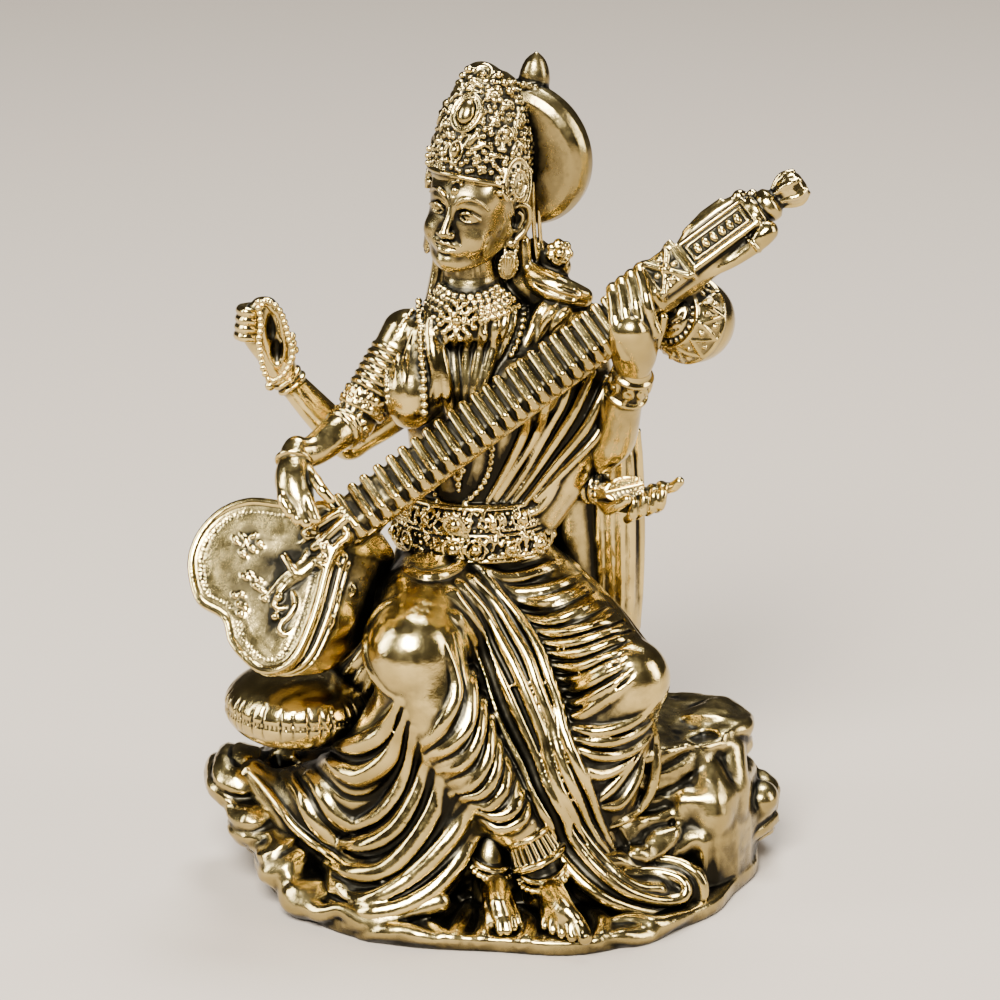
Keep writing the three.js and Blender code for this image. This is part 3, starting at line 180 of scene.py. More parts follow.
def round_axis(centre, axis, radius, turn):
    """One place round an axis, at an angle in degrees."""
    return hoop(centre, axis, radius, 1, turn)[0]


def oval(centre, across, up, count):
    """Places round a closed oval from its middle and half axes. The last place is the first again."""
    turns = np.linspace(0, 2 * math.pi, count)
    return np.asarray(centre) + np.outer(np.cos(turns), across) + np.outer(np.sin(turns), up)


def placed(rows):
    """Places under pixels of the photograph, from rows of pixel x, pixel y and depth."""
    return [seen((x, y), y=depth) for x, y, depth in rows]


def sized(rows):
    """Stations under pixels of the photograph, from rows of pixel x, pixel y, depth and radius."""
    return [[*seen((x, y), y=depth), radius] for x, y, depth, radius in rows]


def melt(a, b, soft):
    """The union of two distance fields, with a fillet."""
    if soft <= 0:
        return np.minimum(a, b)
    h = np.maximum(soft - np.abs(a - b), 0) / soft
    return np.minimum(a, b) - h * h * (soft / 4)


def blended(values, q):
    """A grid's values at places counted in cells, blended between the cells round each."""
    q = np.clip(q, 0, np.array(values.shape) - 1.001)
    i = q.astype(int)
    f = q - i
    total = 0
    for dx, dy, dz in np.ndindex(2, 2, 2):
        weight = np.abs(1 - dx - f[..., 0]) * np.abs(1 - dy - f[..., 1]) * np.abs(1 - dz - f[..., 2])
        total = total + weight * values[i[..., 0] + dx, i[..., 1] + dy, i[..., 2] + dz]
    return total


# Clay

class Clay:
    """Distances to a form on a grid, in mm and negative inside.

    place takes the clay's own frame to the figure's.
    """

    def __init__(self, name, low, high, voxel, place=None):
        self.name = name
        self.voxel = voxel * COARSE
        self.low = np.asarray(low, float)
        self.count = np.ceil((np.asarray(high, float) - self.low) / self.voxel).astype(int) + 1
        self.field = np.full(self.count, FAR, np.float32)
        self.place = np.eye(4) if place is None else place
        self.margin = MARGIN_CELLS * self.voxel

    def window(self, low, high):
        """The part of the grid between two corners, and its cells' places along each axis."""
        first = np.maximum(np.floor((low - self.low) / self.voxel).astype(int), 0)
        last = np.minimum(np.ceil((high - self.low) / self.voxel).astype(int) + 1, self.count)
        if (last <= first).any():
            return None, None
        x, y, z = [(self.low[i] + self.voxel * np.arange(first[i], last[i])).astype(np.float32)
                   for i in range(3)]
        where = tuple(slice(a, b) for a, b in zip(first, last))
        return where, (x[:, None, None], y[None, :, None], z[None, None, :])

    def merge(self, where, fresh, soft, cut):
        old = self.field[where]
        self.field[where] = -melt(-old, fresh, soft) if cut else melt(old, fresh, soft)

    def shape(self, low, high, distance, soft=0.3, cut=False):
        reach = soft + self.margin
        where, grid = self.window(np.asarray(low) - reach, np.asarray(high) + reach)
        if where is not None:
            self.merge(where, distance(*grid), soft, cut)
        return self

    def tube(self, points, radii, soft=0.3, cut=False):
        """A chain of round bars with changing radius."""
        points = np.asarray(points, float)
        radii = np.broadcast_to(np.asarray(radii, float), len(points))
        reach = soft + self.margin
        most = radii.max() + reach
        where, _ = self.window(points.min(0) - most, points.max(0) + most)
        if where is None:
            return self
        start = np.array([s.start for s in where])
        local = np.full([s.stop - s.start for s in where], FAR, np.float32)
        for a, b, ra, rb in zip(points[:-1], points[1:], radii[:-1], radii[1:]):
            most = max(ra, rb) + reach
            part, (x, y, z) = self.window(np.minimum(a, b) - most, np.maximum(a, b) + most)
            if part is None:
                continue
            inner = tuple(slice(s.start - o, s.stop - o) for s, o in zip(part, start))
            d = b - a
            size = max(float(d @ d), 1e-9)
            x, y, z = x - a[0], y - a[1], z - a[2]
            t = np.clip((x * d[0] + y * d[1] + z * d[2]) / size, 0, 1)
            gap = np.sqrt((x - t * d[0]) ** 2 + (y - t * d[1]) ** 2 + (z - t * d[2]) ** 2)
            local[inner] = np.minimum(local[inner], gap - (ra + (rb - ra) * t))
        self.merge(where, local, soft, cut)
        return self

    def limb(self, stations, soft):
        """A smooth bar through stations [x, y, z, radius]."""
        run = smooth(stations, (len(stations) - 1) * LIMB_STEPS + 1)
        return self.tube(run[:, :3], run[:, 3], soft)

    def ball(self, centre, radii, soft=0.3, turn=0, spin=None, cut=False):
        """An ellipsoid, turned about Z or in the axes of the matrix spin."""
        centre = np.asarray(centre, float)
        radii = np.broadcast_to(np.asarray(radii, float), 3)
        axes = turning((0, 0, 1), turn) if spin is None else spin
        extent = np.sqrt(((axes * radii) ** 2).sum(1))

        def distance(x, y, z):
            x, y, z = x - centre[0], y - centre[1], z - centre[2]
            own = [x * axes[0, i] + y * axes[1, i] + z * axes[2, i] for i in range(3)]
            k0 = np.sqrt(sum((own[i] / radii[i]) ** 2 for i in range(3)))
            k1 = np.sqrt(sum((own[i] / radii[i] ** 2) ** 2 for i in range(3)))
            return (k0 * (k0 - 1) / np.maximum(k1, 1e-6)).astype(np.float32)

        return self.shape(centre - extent, centre + extent, distance, soft, cut)

    def ring(self, centre, axis, radius, thick, soft=0.2, cut=False):
        """A round bar bent to a hoop about an axis."""
        centre = np.asarray(centre, float)
        axis = np.asarray(axis, float) / np.linalg.norm(axis)

        def distance(x, y, z):
            x, y, z = x - centre[0], y - centre[1], z - centre[2]
            t = x * axis[0] + y * axis[1] + z * axis[2]
            out = np.sqrt(np.maximum(x * x + y * y + z * z - t * t, 0))
            return np.sqrt((out - radius) ** 2 + t**2) - thick

        reach = radius + thick
        return self.shape(centre - reach, centre + reach, distance, soft, cut)

    def turned(self, profile, centre, axis=(0, 0, 1), soft=0.3, wide=(1, 1), rounding=0):
        """A lathe form about an axis, from a profile of [radius, height]. wide stretches it in X and Y."""
        centre = np.asarray(centre, float)
        axis = np.asarray(axis, float) / np.linalg.norm(axis)
        profile = np.asarray(profile, float)
        closed = np.vstack([[0, profile[0, 1]], profile, [0, profile[-1, 1]]])
        mirrored = np.vstack([closed, closed[::-1] * [-1, 1]])
        step = self.voxel * 0.7
        reach = soft + self.margin
        most = profile[:, 0].max() + reach + step
        low, high = profile[:, 1].min() - reach, profile[:, 1].max() + reach
        out_axis = np.arange(0, most + 2 * step, step)
        up_axis = np.arange(low - step, high + 2 * step, step)
        table = outline_distance(mirrored, out_axis[:, None], up_axis[None, :]).astype(np.float32)
        table -= rounding

        def distance(x, y, z):
            x, y, z = (x - centre[0]) / wide[0], (y - centre[1]) / wide[1], z - centre[2]
            t = x * axis[0] + y * axis[1] + z * axis[2]
            out = np.sqrt(np.maximum(x * x + y * y + z * z - t * t, 0))
            i = np.clip(out / step, 0, len(out_axis) - 1.001)
            j = np.clip((t - up_axis[0]) / step, 0, len(up_axis) - 1.001)
            i0, j0 = i.astype(int), j.astype(int)
            fi, fj = (i - i0).astype(np.float32), (j - j0).astype(np.float32)
            near = table[i0, j0] * (1 - fj) + table[i0, j0 + 1] * fj
            far = table[i0 + 1, j0] * (1 - fj) + table[i0 + 1, j0 + 1] * fj
            return near * (1 - fi) + far * fi

        across = np.sqrt(np.maximum(1 - axis**2, 0)) * profile[:, 0].max() * max(wide)
        ends = np.stack([centre + axis * profile[:, 1].min(), centre + axis * profile[:, 1].max()])
        return self.shape(ends.min(0) - across, ends.max(0) + across, distance, soft)

    def stack(self, stations, turn=0, soft=0.5):
        """An upright form through stations [x, y, z, half width, half depth], turned about Z."""
        stations = np.asarray(stations, float)
        c, s = math.cos(math.radians(turn)), math.sin(math.radians(turn))

        def distance(x, y, z):
            run = smooth(stations, 200)
            cx, cy, wide, deep = [np.interp(z, run[:, 2], run[:, k]) for k in (0, 1, 3, 4)]
            u, v = (x - cx) * c + (y - cy) * s, (y - cy) * c - (x - cx) * s
            share = np.sqrt((u / wide) ** 2 + (v / deep) ** 2)
            side = (share - 1) * np.minimum(wide, deep)
            caps = np.maximum(stations[0, 2] - z, z - stations[-1, 2])
            return np.maximum(side, caps).astype(np.float32)

        most = stations[:, 3:].max() + 1
        low = [stations[:, 0].min() - most, stations[:, 1].min() - most, stations[0, 2]]
        high = [stations[:, 0].max() + most, stations[:, 1].max() + most, stations[-1, 2]]
        return self.shape(low, high, distance, soft)

    def slab(self, outline, bottom, top, soft=0.2, rounding=0.2, rim=None):
        """A plate with an outline in the clay's XY plane. rim keeps a band that far inside its edge."""
        outline = np.asarray(outline, float)
        middle, half = (top + bottom) / 2, (top - bottom) / 2

        def distance(x, y, z):
            flat = outline_distance(outline, x[:, :, 0], y[:, :, 0])[:, :, None]
            if rim is not None:
                flat = np.abs(flat + (rim[0] + rim[1]) / 2) - (rim[1] - rim[0]) / 2
            a, b = flat + rounding, np.abs(z - middle) - half + rounding
            outer = np.sqrt(np.maximum(a, 0) ** 2 + np.maximum(b, 0) ** 2)
            return (outer + np.minimum(np.maximum(a, b), 0) - rounding).astype(np.float32)

        low = [*outline.min(0), bottom]
        high = [*outline.max(0), top]
        return self.shape(low, high, distance, soft)

    def box(self, centre, half, soft=0.15, rounding=0.15, cut=False):
        """A block with rounded edges."""
        centre, half = np.asarray(centre, float), np.asarray(half, float)

        def distance(*grid):
            own = [np.abs(grid[i] - centre[i]) - half[i] + rounding for i in range(3)]
            outer = np.sqrt(sum(np.maximum(q, 0) ** 2 for q in own))
            inner = np.minimum(np.maximum(np.maximum(own[0], own[1]), own[2]), 0)
            return (outer + inner - rounding).astype(np.float32)

        return self.shape(centre - half, centre + half, distance, soft, cut)

    def beads(self, places, radius, soft=0.08):
        for place in places:
            self.ball(place, radius, soft)
        return self

    def limbs(self, runs, soft):
        for stations in runs:
            self.limb(stations, soft)

    def grain(self, cell, seed):
        """Smooth random values over the grid, from -1 to 1, with lumps of about cell mm."""
        size = (self.count * self.voxel / cell).astype(int) + 3
        values = np.random.default_rng(seed).uniform(-1, 1, size).astype(np.float32)
        for axis in range(3):
            at = np.arange(self.count[axis]) * self.voxel / cell
            i = at.astype(int)
            f = at - i
            f = (f * f * (3 - 2 * f)).astype(np.float32)
            f = f.reshape([-1 if k == axis else 1 for k in range(3)])
            values = np.take(values, i, axis) * (1 - f) + np.take(values, i + 1, axis) * f
        return values

    # Places on the surface

    def inward(self, points):
        """Figure places in the clay's own frame."""
        return (np.asarray(points, float) - self.place[:3, 3]) @ self.place[:3, :3]

    def sample(self, field, points):
        """A field's values at places in the clay's own frame, and FAR outside its grid."""
        q = (points - self.low) / self.voxel
        inside = ((q >= 0) & (q <= self.count - 1)).all(-1)
        return np.where(inside, blended(field, q), FAR)

    def settle(self):
        """Keeps the form as it is now, for later folds to lie on."""
        self.ground = self.field.copy()

    def slope(self, points):
        step = self.voxel
        parts = [self.sample(self.ground, points + step * e) - self.sample(self.ground, points - step * e)
                 for e in np.eye(3)]
        n = np.stack(parts, -1)
        return n / np.maximum(np.linalg.norm(n, axis=-1, keepdims=True), 1e-6)

    def strike(self, start, direction, reach):
        """Where rays meet the settled form, or come nearest to it."""
        steps = np.arange(0, reach, self.voxel * 0.7)
        places = start[:, None, :] + direction[:, None, :] * steps[None, :, None]
        values = self.sample(self.ground, places)
        hit = (values < 0).any(1)
        first = np.where(hit, (values < 0).argmax(1), values.argmin(1))
        before = np.maximum(first - 1, 0)
        row = np.arange(len(first))
        a, b = values[row, before], values[row, first]
        share = np.where(hit & (a > b), a / np.maximum(a - b, 1e-6), 1.0)
        return steps[before] + (steps[first] - steps[before]) * share

    def laid(self, guide, view="front", step=0.5, relax=2):
        """A guide laid on the settled form: its places and the outward directions there.

        A front guide holds pixels of the photograph. Others hold mm across and up, seen from that side.
        """
        guide = np.asarray(guide, float)
        if view == "front":
            count = max(int(length(guide) * CAMERA_DISTANCE / FOCAL_PIXELS / step), 4)
            flat = smooth(guide, count)
            middle = PHOTO_SIZE / 2
            rays = (VIEW_FORWARD + VIEW_RIGHT * (flat[:, :1] - middle) / FOCAL_PIXELS
                    + VIEW_UP * (middle - flat[:, 1:]) / FOCAL_PIXELS)
            rays /= np.linalg.norm(rays, axis=1, keepdims=True)
            start = CAMERA_PLACE + rays * (CAMERA_DISTANCE - RAY_LEAD)
            reach = RAY_REACH
        else:
            flat = smooth(guide, max(int(length(guide) / step), 4))
            ahead = {"back": (0, -1, 0), "left": (-1, 0, 0), "right": (1, 0, 0)}[view]
            start = np.zeros((len(flat), 3))
            start[:, (0, 2) if view == "back" else (1, 2)] = flat
            rays = np.tile(np.array(ahead, float), (len(flat), 1))
            start -= rays * RAY_LEAD
            reach = SIDE_REACH
        start, rays = self.inward(start), rays @ self.place[:3, :3]
        depth = self.strike(start, rays, reach)
        for _ in range(relax):
            depth[1:-1] = (depth[:-2] + 2 * depth[1:-1] + depth[2:]) / 4
        places = start + rays * depth[:, None]
        return places, self.slope(places)

    def ridge(self, laid, radius, lift, soft=0.35, ends=0.25, cut=False, bend=None):
        """A fold along a laid guide: it stands lift mm proud, and sinks in at its ends."""
        places, outward = laid
        share = np.linspace(0, 1, len(places))
        swell = np.sin(np.pi * np.clip(share, 0.02, 0.98)) ** 0.6
        if bend is not None:
            swell = np.interp(share, np.linspace(0, 1, len(bend)), bend)
        radii = radius * (ends + (1 - ends) * swell)
        depth = radii - lift * swell
        if cut:
            depth = -depth
        return self.tube(places - outward * depth[:, None], radii, soft, cut)

    def folds(self, guides, radius, lift, soft=0.35, view="front", step=0.5, **more):
        """A ridge along each of some guides."""
        for guide in guides:
            self.ridge(self.laid(guide, view, step), radius, lift, soft, **more)

    # Mesh

    def polygons(self):
        """Points in figure mm and faces, with the grid's edge closed."""
        field = self.field
        for axis in range(3):
            for end in (0, -1):
                edge = [slice(None)] * 3
                edge[axis] = end
                field[tuple(edge)] = np.maximum(field[tuple(edge)], self.voxel)
        grid = openvdb.FloatGrid(background=FAR)
        grid.copyFromArray(field)
        points, triangles, quads = grid.convertToPolygons(isovalue=0.0, adaptivity=0.0)
        points = points * self.voxel + self.low
        points = points @ self.place[:3, :3].T + self.place[:3, 3]
        split = np.vstack([quads[:, [0, 1, 2]], quads[:, [0, 2, 3]], triangles]).astype(np.int64)
        return largest(points, split)


def largest(points, faces):
    """Keeps the closed skins of a mesh that hold more than a crumb, and drops hollows and crumbs."""
    label = np.arange(len(points))
    while True:
        low = label[faces].min(1)
        fresh = label.copy()
        for corner in range(3):
            np.minimum.at(fresh, faces[:, corner], low)
        fresh = fresh[fresh]
        if (fresh == label).all():
            break
        label = fresh
    a, b, c = [points[faces[:, corner]] - points.mean(0) for corner in range(3)]
    volume = np.bincount(label[faces[:, 0]], (a * np.cross(b, c)).sum(1) / 6, minlength=len(points))
    keep = volume[label] > CRUMB
    index = np.cumsum(keep) - 1
    return points[keep], index[faces[keep[faces[:, 0]]]]


def between(first, last, count, inside=False):
    """Guides spread evenly from a first one to a last one, each with as many places as the longer."""
    size = max(len(first), len(last))
    a, b = smooth(first, size), smooth(last, size)
    shares = np.linspace(0, 1, count + 2)[1:-1] if inside else np.linspace(0, 1, count)
    return [a + (b - a) * share for share in shares]


# The dress, with the legs under it

# Guides read from the photograph, in its pixels
SHIN_FOLDS = [
    [(447, 645), (457, 690), (442, 725), (420, 750)],
    [(462, 625), (472, 680), (470, 722), (450, 748), (428, 758)],
    [(468, 640), (481, 690), (480, 732), (463, 765), (437, 772)],
    [(478, 665), (490, 720), (487, 762), (468, 792), (450, 794)],
    [(500, 735), (497, 765), (484, 793), (462, 800)],
    [(510, 760), (505, 785), (490, 808), (475, 806)],
    [(525, 790), (515, 808), (500, 817), (478, 813)],
    [(530, 800), (522, 820), (500, 830), (484, 822)],
]
KNEE_EDGE = [(400, 596), (380, 608), (368, 630), (367, 662), (384, 690), (400, 700)]
DRAPE_FOLDS = [
    [(400, 702), (392, 722), (376, 738), (352, 746), (331, 742)],
    [(404, 714), (398, 740), (384, 762), (360, 776), (340, 770), (322, 756)],
    [(412, 730), (409, 762), (400, 790), (382, 814), (358, 825), (337, 816), (322, 796), (307, 774)],
    [(426, 760), (415, 796), (396, 828), (370, 844), (346, 845), (325, 832), (309, 813), (298, 790),
     (284, 772)],
    [(440, 782), (430, 815), (408, 850), (382, 872), (352, 872), (326, 862)],
    [(473, 808), (450, 838), (415, 874), (380, 896), (352, 900), (338, 886)],
    [(478, 838), (455, 868), (430, 892), (400, 908), (366, 913), (338, 906), (308, 899)],
]
THIGH_FOLDS = [
    [(476, 576), (491, 590), (519, 601), (545, 601), (571, 592), (592, 580)],
    [(512, 612), (530, 620), (550, 622), (571, 614), (597, 600)],
    [(526, 628), (543, 633), (562, 633), (583, 629), (602, 622), (618, 613)],
    [(534, 641), (552, 644), (573, 643), (595, 637), (617, 630), (634, 626)],
    [(540, 652), (556, 654), (573, 654), (592, 650), (615, 640), (637, 633)],
    [(545, 664), (562, 667), (580, 667), (602, 659), (624, 649)],
    [(552, 678), (568, 680), (588, 676), (608, 666), (626, 656)],
    [(556, 689), (570, 690), (586, 685), (606, 674), (627, 661)],
    [(558, 699), (570, 703), (582, 702), (602, 692), (621, 680), (633, 669)],
    [(563, 714), (577, 716), (595, 706), (616, 692), (634, 678)],
]
CALF_FOLDS = [
    [(570, 728), (596, 732), (618, 728), (641, 717), (657, 702)],
    [(574, 738), (597, 742), (620, 739), (644, 728), (658, 714)],
    [(577, 748), (597, 755), (622, 754), (644, 743), (655, 730)],
    [(580, 767), (597, 775), (619, 768), (640, 752)],
    [(597, 801), (611, 788), (627, 768), (641, 752)],
    [(600, 806), (619, 804), (635, 782), (645, 756)],
]
CALF_HEM = [(606, 829), (630, 817), (646, 799), (654, 777), (655, 745), (652, 712)]
SASH_PLEATS = [
    [(458, 618), (478, 650), (491, 675), (497, 700), (505, 728), (518, 760), (534, 798), (549, 828),
     (562, 854), (582, 880), (607, 898), (635, 907), (662, 909), (686, 907), (698, 899), (700, 885),
     (692, 873), (676, 864), (652, 860), (628, 860)],
    [(454, 594), (474, 625), (491, 658), (504, 683), (517, 712), (533, 749), (548, 786), (563, 818),
     (578, 846), (597, 871), (620, 889), (645, 898), (668, 900), (683, 895), (684, 885), (671, 877),
     (648, 873), (625, 873)],
    [(462, 586), (482, 612), (500, 642), (514, 668), (527, 697), (541, 733), (553, 769), (566, 803),
     (583, 838), (601, 862), (620, 879), (640, 888), (660, 889)],
    [(472, 580), (492, 604), (510, 632), (526, 660), (537, 690), (550, 724), (563, 760), (576, 797),
     (590, 830), (605, 854), (620, 868)],
    [(484, 574), (500, 598), (518, 622), (534, 648), (545, 678), (556, 708), (568, 738), (580, 770),
     (590, 800), (601, 830), (613, 852)],
]
SASH_CREASE = [(502, 688), (520, 684), (540, 684), (551, 689)]
SASH_PAD = [
    [[9.5, -13.0, 10.0, 3.2], [11.0, -15.2, 6.2, 2.9], [13.4, -17.0, 4.2, 2.6], [17.8, -16.0, 3.1, 2.4],
     [22.2, -14.2, 2.9, 2.3]],
    [[15.5, -12.0, 5.0, 2.8], [20.0, -11.6, 3.8, 2.5], [23.6, -12.6, 3.2, 2.3]],
]
DRAPE_HEM = [(246, 768), (260, 783), (279, 806), (294, 826), (316, 845), (342, 864), (368, 878), (392, 884)]
# The y of each place of the hem, the way from the hem into the cloth, and the cloth's radius there
HEM_DEPTHS = [-4.0, -5.5, -8.0, -10.0, -12.0, -15.0, -18.0, -20.0]
HEM_INWARD = [0.8, 1.2, -1.4]
HEM_RADIUS = 2.0
SASH_RADIUS = 2.3
# How much of each pleat lies above the curl
SASH_UPRIGHT = [0.55, 0.58, 0.78, 0.88, 0.97]
SASH_SHARES = [0, 0.1, 0.5, 0.65, 1]
SASH_WIDTHS = [0.6, 1, 1, 0.7, 0.45]
# The cloth under the left knee
KNEE_CLOTH = [[10.0, -10.0, 16.0, 4.8], [11.6, -10.6, 9.0, 4.2], [11.6, -10.6, 4.0, 3.6]]
# The first and the last fold of the hips and thighs in each side view, as y and z in mm
LEFT_SIDE_FOLDS = [(-9, 33.0), (0, 37.0), (7, 38.5)], [(-8.5, 22.0), (0, 25.5), (8, 28.0)]
RIGHT_SIDE_FOLDS = [(-10, 37.0), (-2, 39.0), (5, 39.5)], [(-9, 27.0), (-2, 28.0), (6, 29.5)]
SIDE_FOLD = {"radius": 0.85, "lift": 0.5, "soft": 0.35}
WAIST_SWAGS = [
    [(402, 566), (425, 577), (450, 572), (470, 556)],
    [(470, 560), (500, 577), (530, 574), (562, 560)],
    [(478, 566), (508, 590), (545, 590), (582, 574)],
]


def legs(clay):
    """The legs' main forms, before the folds."""
    clay.stack([[-1.2, 4.4, 22.0, 9.2, 7.4], *TORSO[:3]], TORSO_TURN)
    clay.limbs((THIGH_RIGHT, THIGH_LEFT), soft=2.2)
    clay.ball(KNEE_LEFT, [3.9, 4.0, 4.2], 1.6)
    clay.limbs((SHIN_RIGHT, SHIN_LEFT), soft=1.2)
    clay.limbs((LAP, DRAPE_HIGH, DRAPE_LOW, DRAPE_FOOT, DRAPE_RIGHT), soft=2.2)


def halfway(guides):
    """The guides between each two neighbours of a row of guides."""
    return [guide for a, b in zip(guides[:-1], guides[1:]) for guide in between(a, b, 1, inside=True)]


def gathered(clay, guides, radius, lift, bend=None):
    """Folds side by side, with a sharp crease between each two of them."""
    clay.folds(guides, radius, lift, 0.22, bend=bend)
    clay.folds(halfway(guides), 0.3, 0.32, 0.2, ends=0.5, cut=True, bend=bend)


def dress():
    clay = Clay("dress", (-32, -28, 0.4), (29, 16, 47), 0.22)
    legs(clay)
    edge = [[*seen(pixel, y=depth) + HEM_INWARD, HEM_RADIUS] for pixel, depth in zip(DRAPE_HEM, HEM_DEPTHS)]
    clay.limbs((edge, KNEE_CLOTH), soft=2.0)
    clay.limbs(SASH_PAD, soft=1.6)
    clay.settle()
    pleats = [clay.laid(guide, relax=12) for guide in SASH_PLEATS]
    hem = clay.laid(DRAPE_HEM, relax=8)
    gathered(clay, SHIN_FOLDS, radius=0.95, lift=0.65)
    clay.folds(DRAPE_FOLDS, radius=1.45, lift=1.15, soft=0.4, ends=0.4)
    clay.folds(halfway(DRAPE_FOLDS), radius=0.45, lift=0.35, soft=0.3, ends=0.4, cut=True)
    gathered(clay, THIGH_FOLDS, radius=0.8, lift=0.62, bend=[0.55, 1, 1, 0.8, 0.1])
    gathered(clay, CALF_FOLDS, radius=0.8, lift=0.7, bend=[0.6, 1, 1, 0.8, 0.2])
    clay.folds([CALF_HEM], radius=0.8, lift=0.8, soft=0.2)
    clay.folds([KNEE_EDGE], radius=0.7, lift=0.5, soft=0.2)
    clay.folds(between(*LEFT_SIDE_FOLDS, 7), view="left", **SIDE_FOLD)
    clay.folds(between(*RIGHT_SIDE_FOLDS, 6), view="right", **SIDE_FOLD)
    clay.ridge(hem, radius=0.6, lift=0.7, soft=0.15, ends=0.6)
    sash(clay, pleats)
    clay.folds(WAIST_SWAGS, radius=0.9, lift=0.8, soft=0.25)
    return clay


def raised(run, lift):
    """The places and directions of a laid guide, held in rows, moved outwards."""
    return run[:, :3] + run[:, 3:] * lift, run[:, 3:]


def sash(clay, pleats):
    """The pleated end of the dress, from the belt between the knees to its curl on the ground."""
    runs = [np.hstack(pleat) for pleat in pleats]
    for run in runs:
        width = SASH_RADIUS * np.interp(np.linspace(0, 1, len(run)), SASH_SHARES, SASH_WIDTHS)
        clay.tube(run[:, :3] - run[:, 3:] * (width[:, None] - 0.5), width, 0.3)
    for run in runs:
        clay.ridge(raised(run, 0.5), radius=0.8, lift=0.95, soft=0.16, ends=0.6)
    upright = [run[:int(len(run) * share)] for run, share in zip(runs, SASH_UPRIGHT)]
    count = max(len(run) for run in upright)
    lanes = [smooth(run, count) for run in upright]
    for a, b in zip(lanes[:-1], lanes[1:]):
        gap = np.linalg.norm(a[:, :3] - b[:, :3], axis=1).mean()
        clay.ridge(raised((a + b) / 2, 0.7), radius=0.24 * gap, lift=0.75, soft=0.15, ends=0.6, cut=True)
    clay.folds([SASH_CREASE], radius=0.25, lift=1.0, soft=0.15)


# The rock and the plate

# The upright face at the right end of the rock: its foot in pixels, and places behind it
WALL_FOOT = [(704, 903), (717, 899), (735, 891), (748, 879), (755, 858)]
WALL_BACK = [(30.5, 8.0), (22.0, 8.0), (19.5, -3.0), (22.5, -10.0)]
HEM_ON_GROUND = [[-22.0, -15.5, 2.4], [-20.0, -19.0, 2.0], [-17.4, -20.6, 3.0], [-14.6, -22.0, 2.0],
                 [-12.2, -22.6, 2.6], [-9.6, -22.4, 3.4], [-6.0, -21.6, 4.4]]
# Slabs of the footprint, each as [bottom, top, share of the width, share of the depth, x, y]
LOW_LEDGES = [[-3, 4.4, 0.97, 0.76, 0, 4.2], [3.8, 8.0, 1.04, 0.79, 0.6, 4.2],
              [7.4, 11.4, 1.0, 0.74, -0.4, 4.8], [10.8, 15.0, 0.93, 0.66, -0.4, 5.4]]
RIGHT_LEDGES = [[9, 15.2, 0.66, 0.48, 8.6, 2.0], [14.4, 18.8, 0.7, 0.44, 9.2, 1.8]]
SEAT_LEDGES = [[9, 16.6, 0.55, 0.63, 1.0, 6.6], [15.6, 22.2, 0.49, 0.57, 1.2, 7.0],
               [21.4, 28.6, 0.41, 0.48, 0.8, 6.6]]
# Boulders along the left edge, as centre, radii and turn
BOULDERS = [([-30.2, 0.6, 11.4], [4.5, 5.8, 3.7], 10), ([-27.2, -4.5, 7.8], [4.4, 5.6, 3.4], -20),
            ([-24.0, -10.2, 5.0], [4.4, 5.0, 3.4], -30), ([-20.9, -14.6, 2.4], [4.2, 4.4, 2.8], -40)]
ROCK_RIBS = [
    [[32.8, 5.6, 7.4, 2.3], [31.0, 4.0, 3.0, 2.2]],
    [[25.6, 2.0, 17.0, 3.0], [28.0, 6.4, 16.6, 3.0], [23.6, 10.0, 16.0, 3.0]],
    [[22.0, -6.6, 12.0, 2.6], [27.0, -4.0, 12.4, 2.4]],
    [[20.0, -11.0, 7.2, 2.6], [26.2, -8.0, 7.4, 2.4]],
]
# Lumps of broken stone, as height, cell and seed, and the height of its level layers
LUMPS = [(0.8, 6.0, 3), (0.34, 2.6, 4), (0.12, 1.1, 5)]
LAYER = 3.4
# The wall's steps: how many places of its foot it takes, its top and its fillet
WALL_STEPS = [(5, 9.0, 0.8), (4, 13.4, 1.2)]
# The broken edge that joins the upper stone to the wall, and the knob beside it
WALL_EDGES = [[(727, 752, -2.0, 2.3), (728, 776, -3.6, 2.4), (729, 802, -4.6, 2.3)],
              [(702, 766, -4.6, 2.2), (711, 790, -7.0, 2.3), (713, 815, -8.6, 2.2)]]
WALL_KNOB = (761, 797)
PLATE_TOP = 1.9
FLOOR_ROOM = np.array([-60, -60, -9]), np.array([60, 60, 0.35])
# Ripples of cloth on the plate
PLATE_RIPPLES = [
    [(345, 925), (380, 915), (420, 922), (455, 940)],
    [(360, 938), (400, 930), (440, 942)],
    [(430, 925), (450, 905), (470, 890)],
    [(450, 940), (466, 915), (476, 895)],
    [(600, 925), (630, 920), (660, 925), (690, 915)],
    [(590, 905), (602, 925), (596, 945)],
    [(610, 935), (640, 938), (670, 928)],
    [(476, 902), (487, 922), (478, 943)],
    [(518, 908), (529, 928), (520, 946)],
]


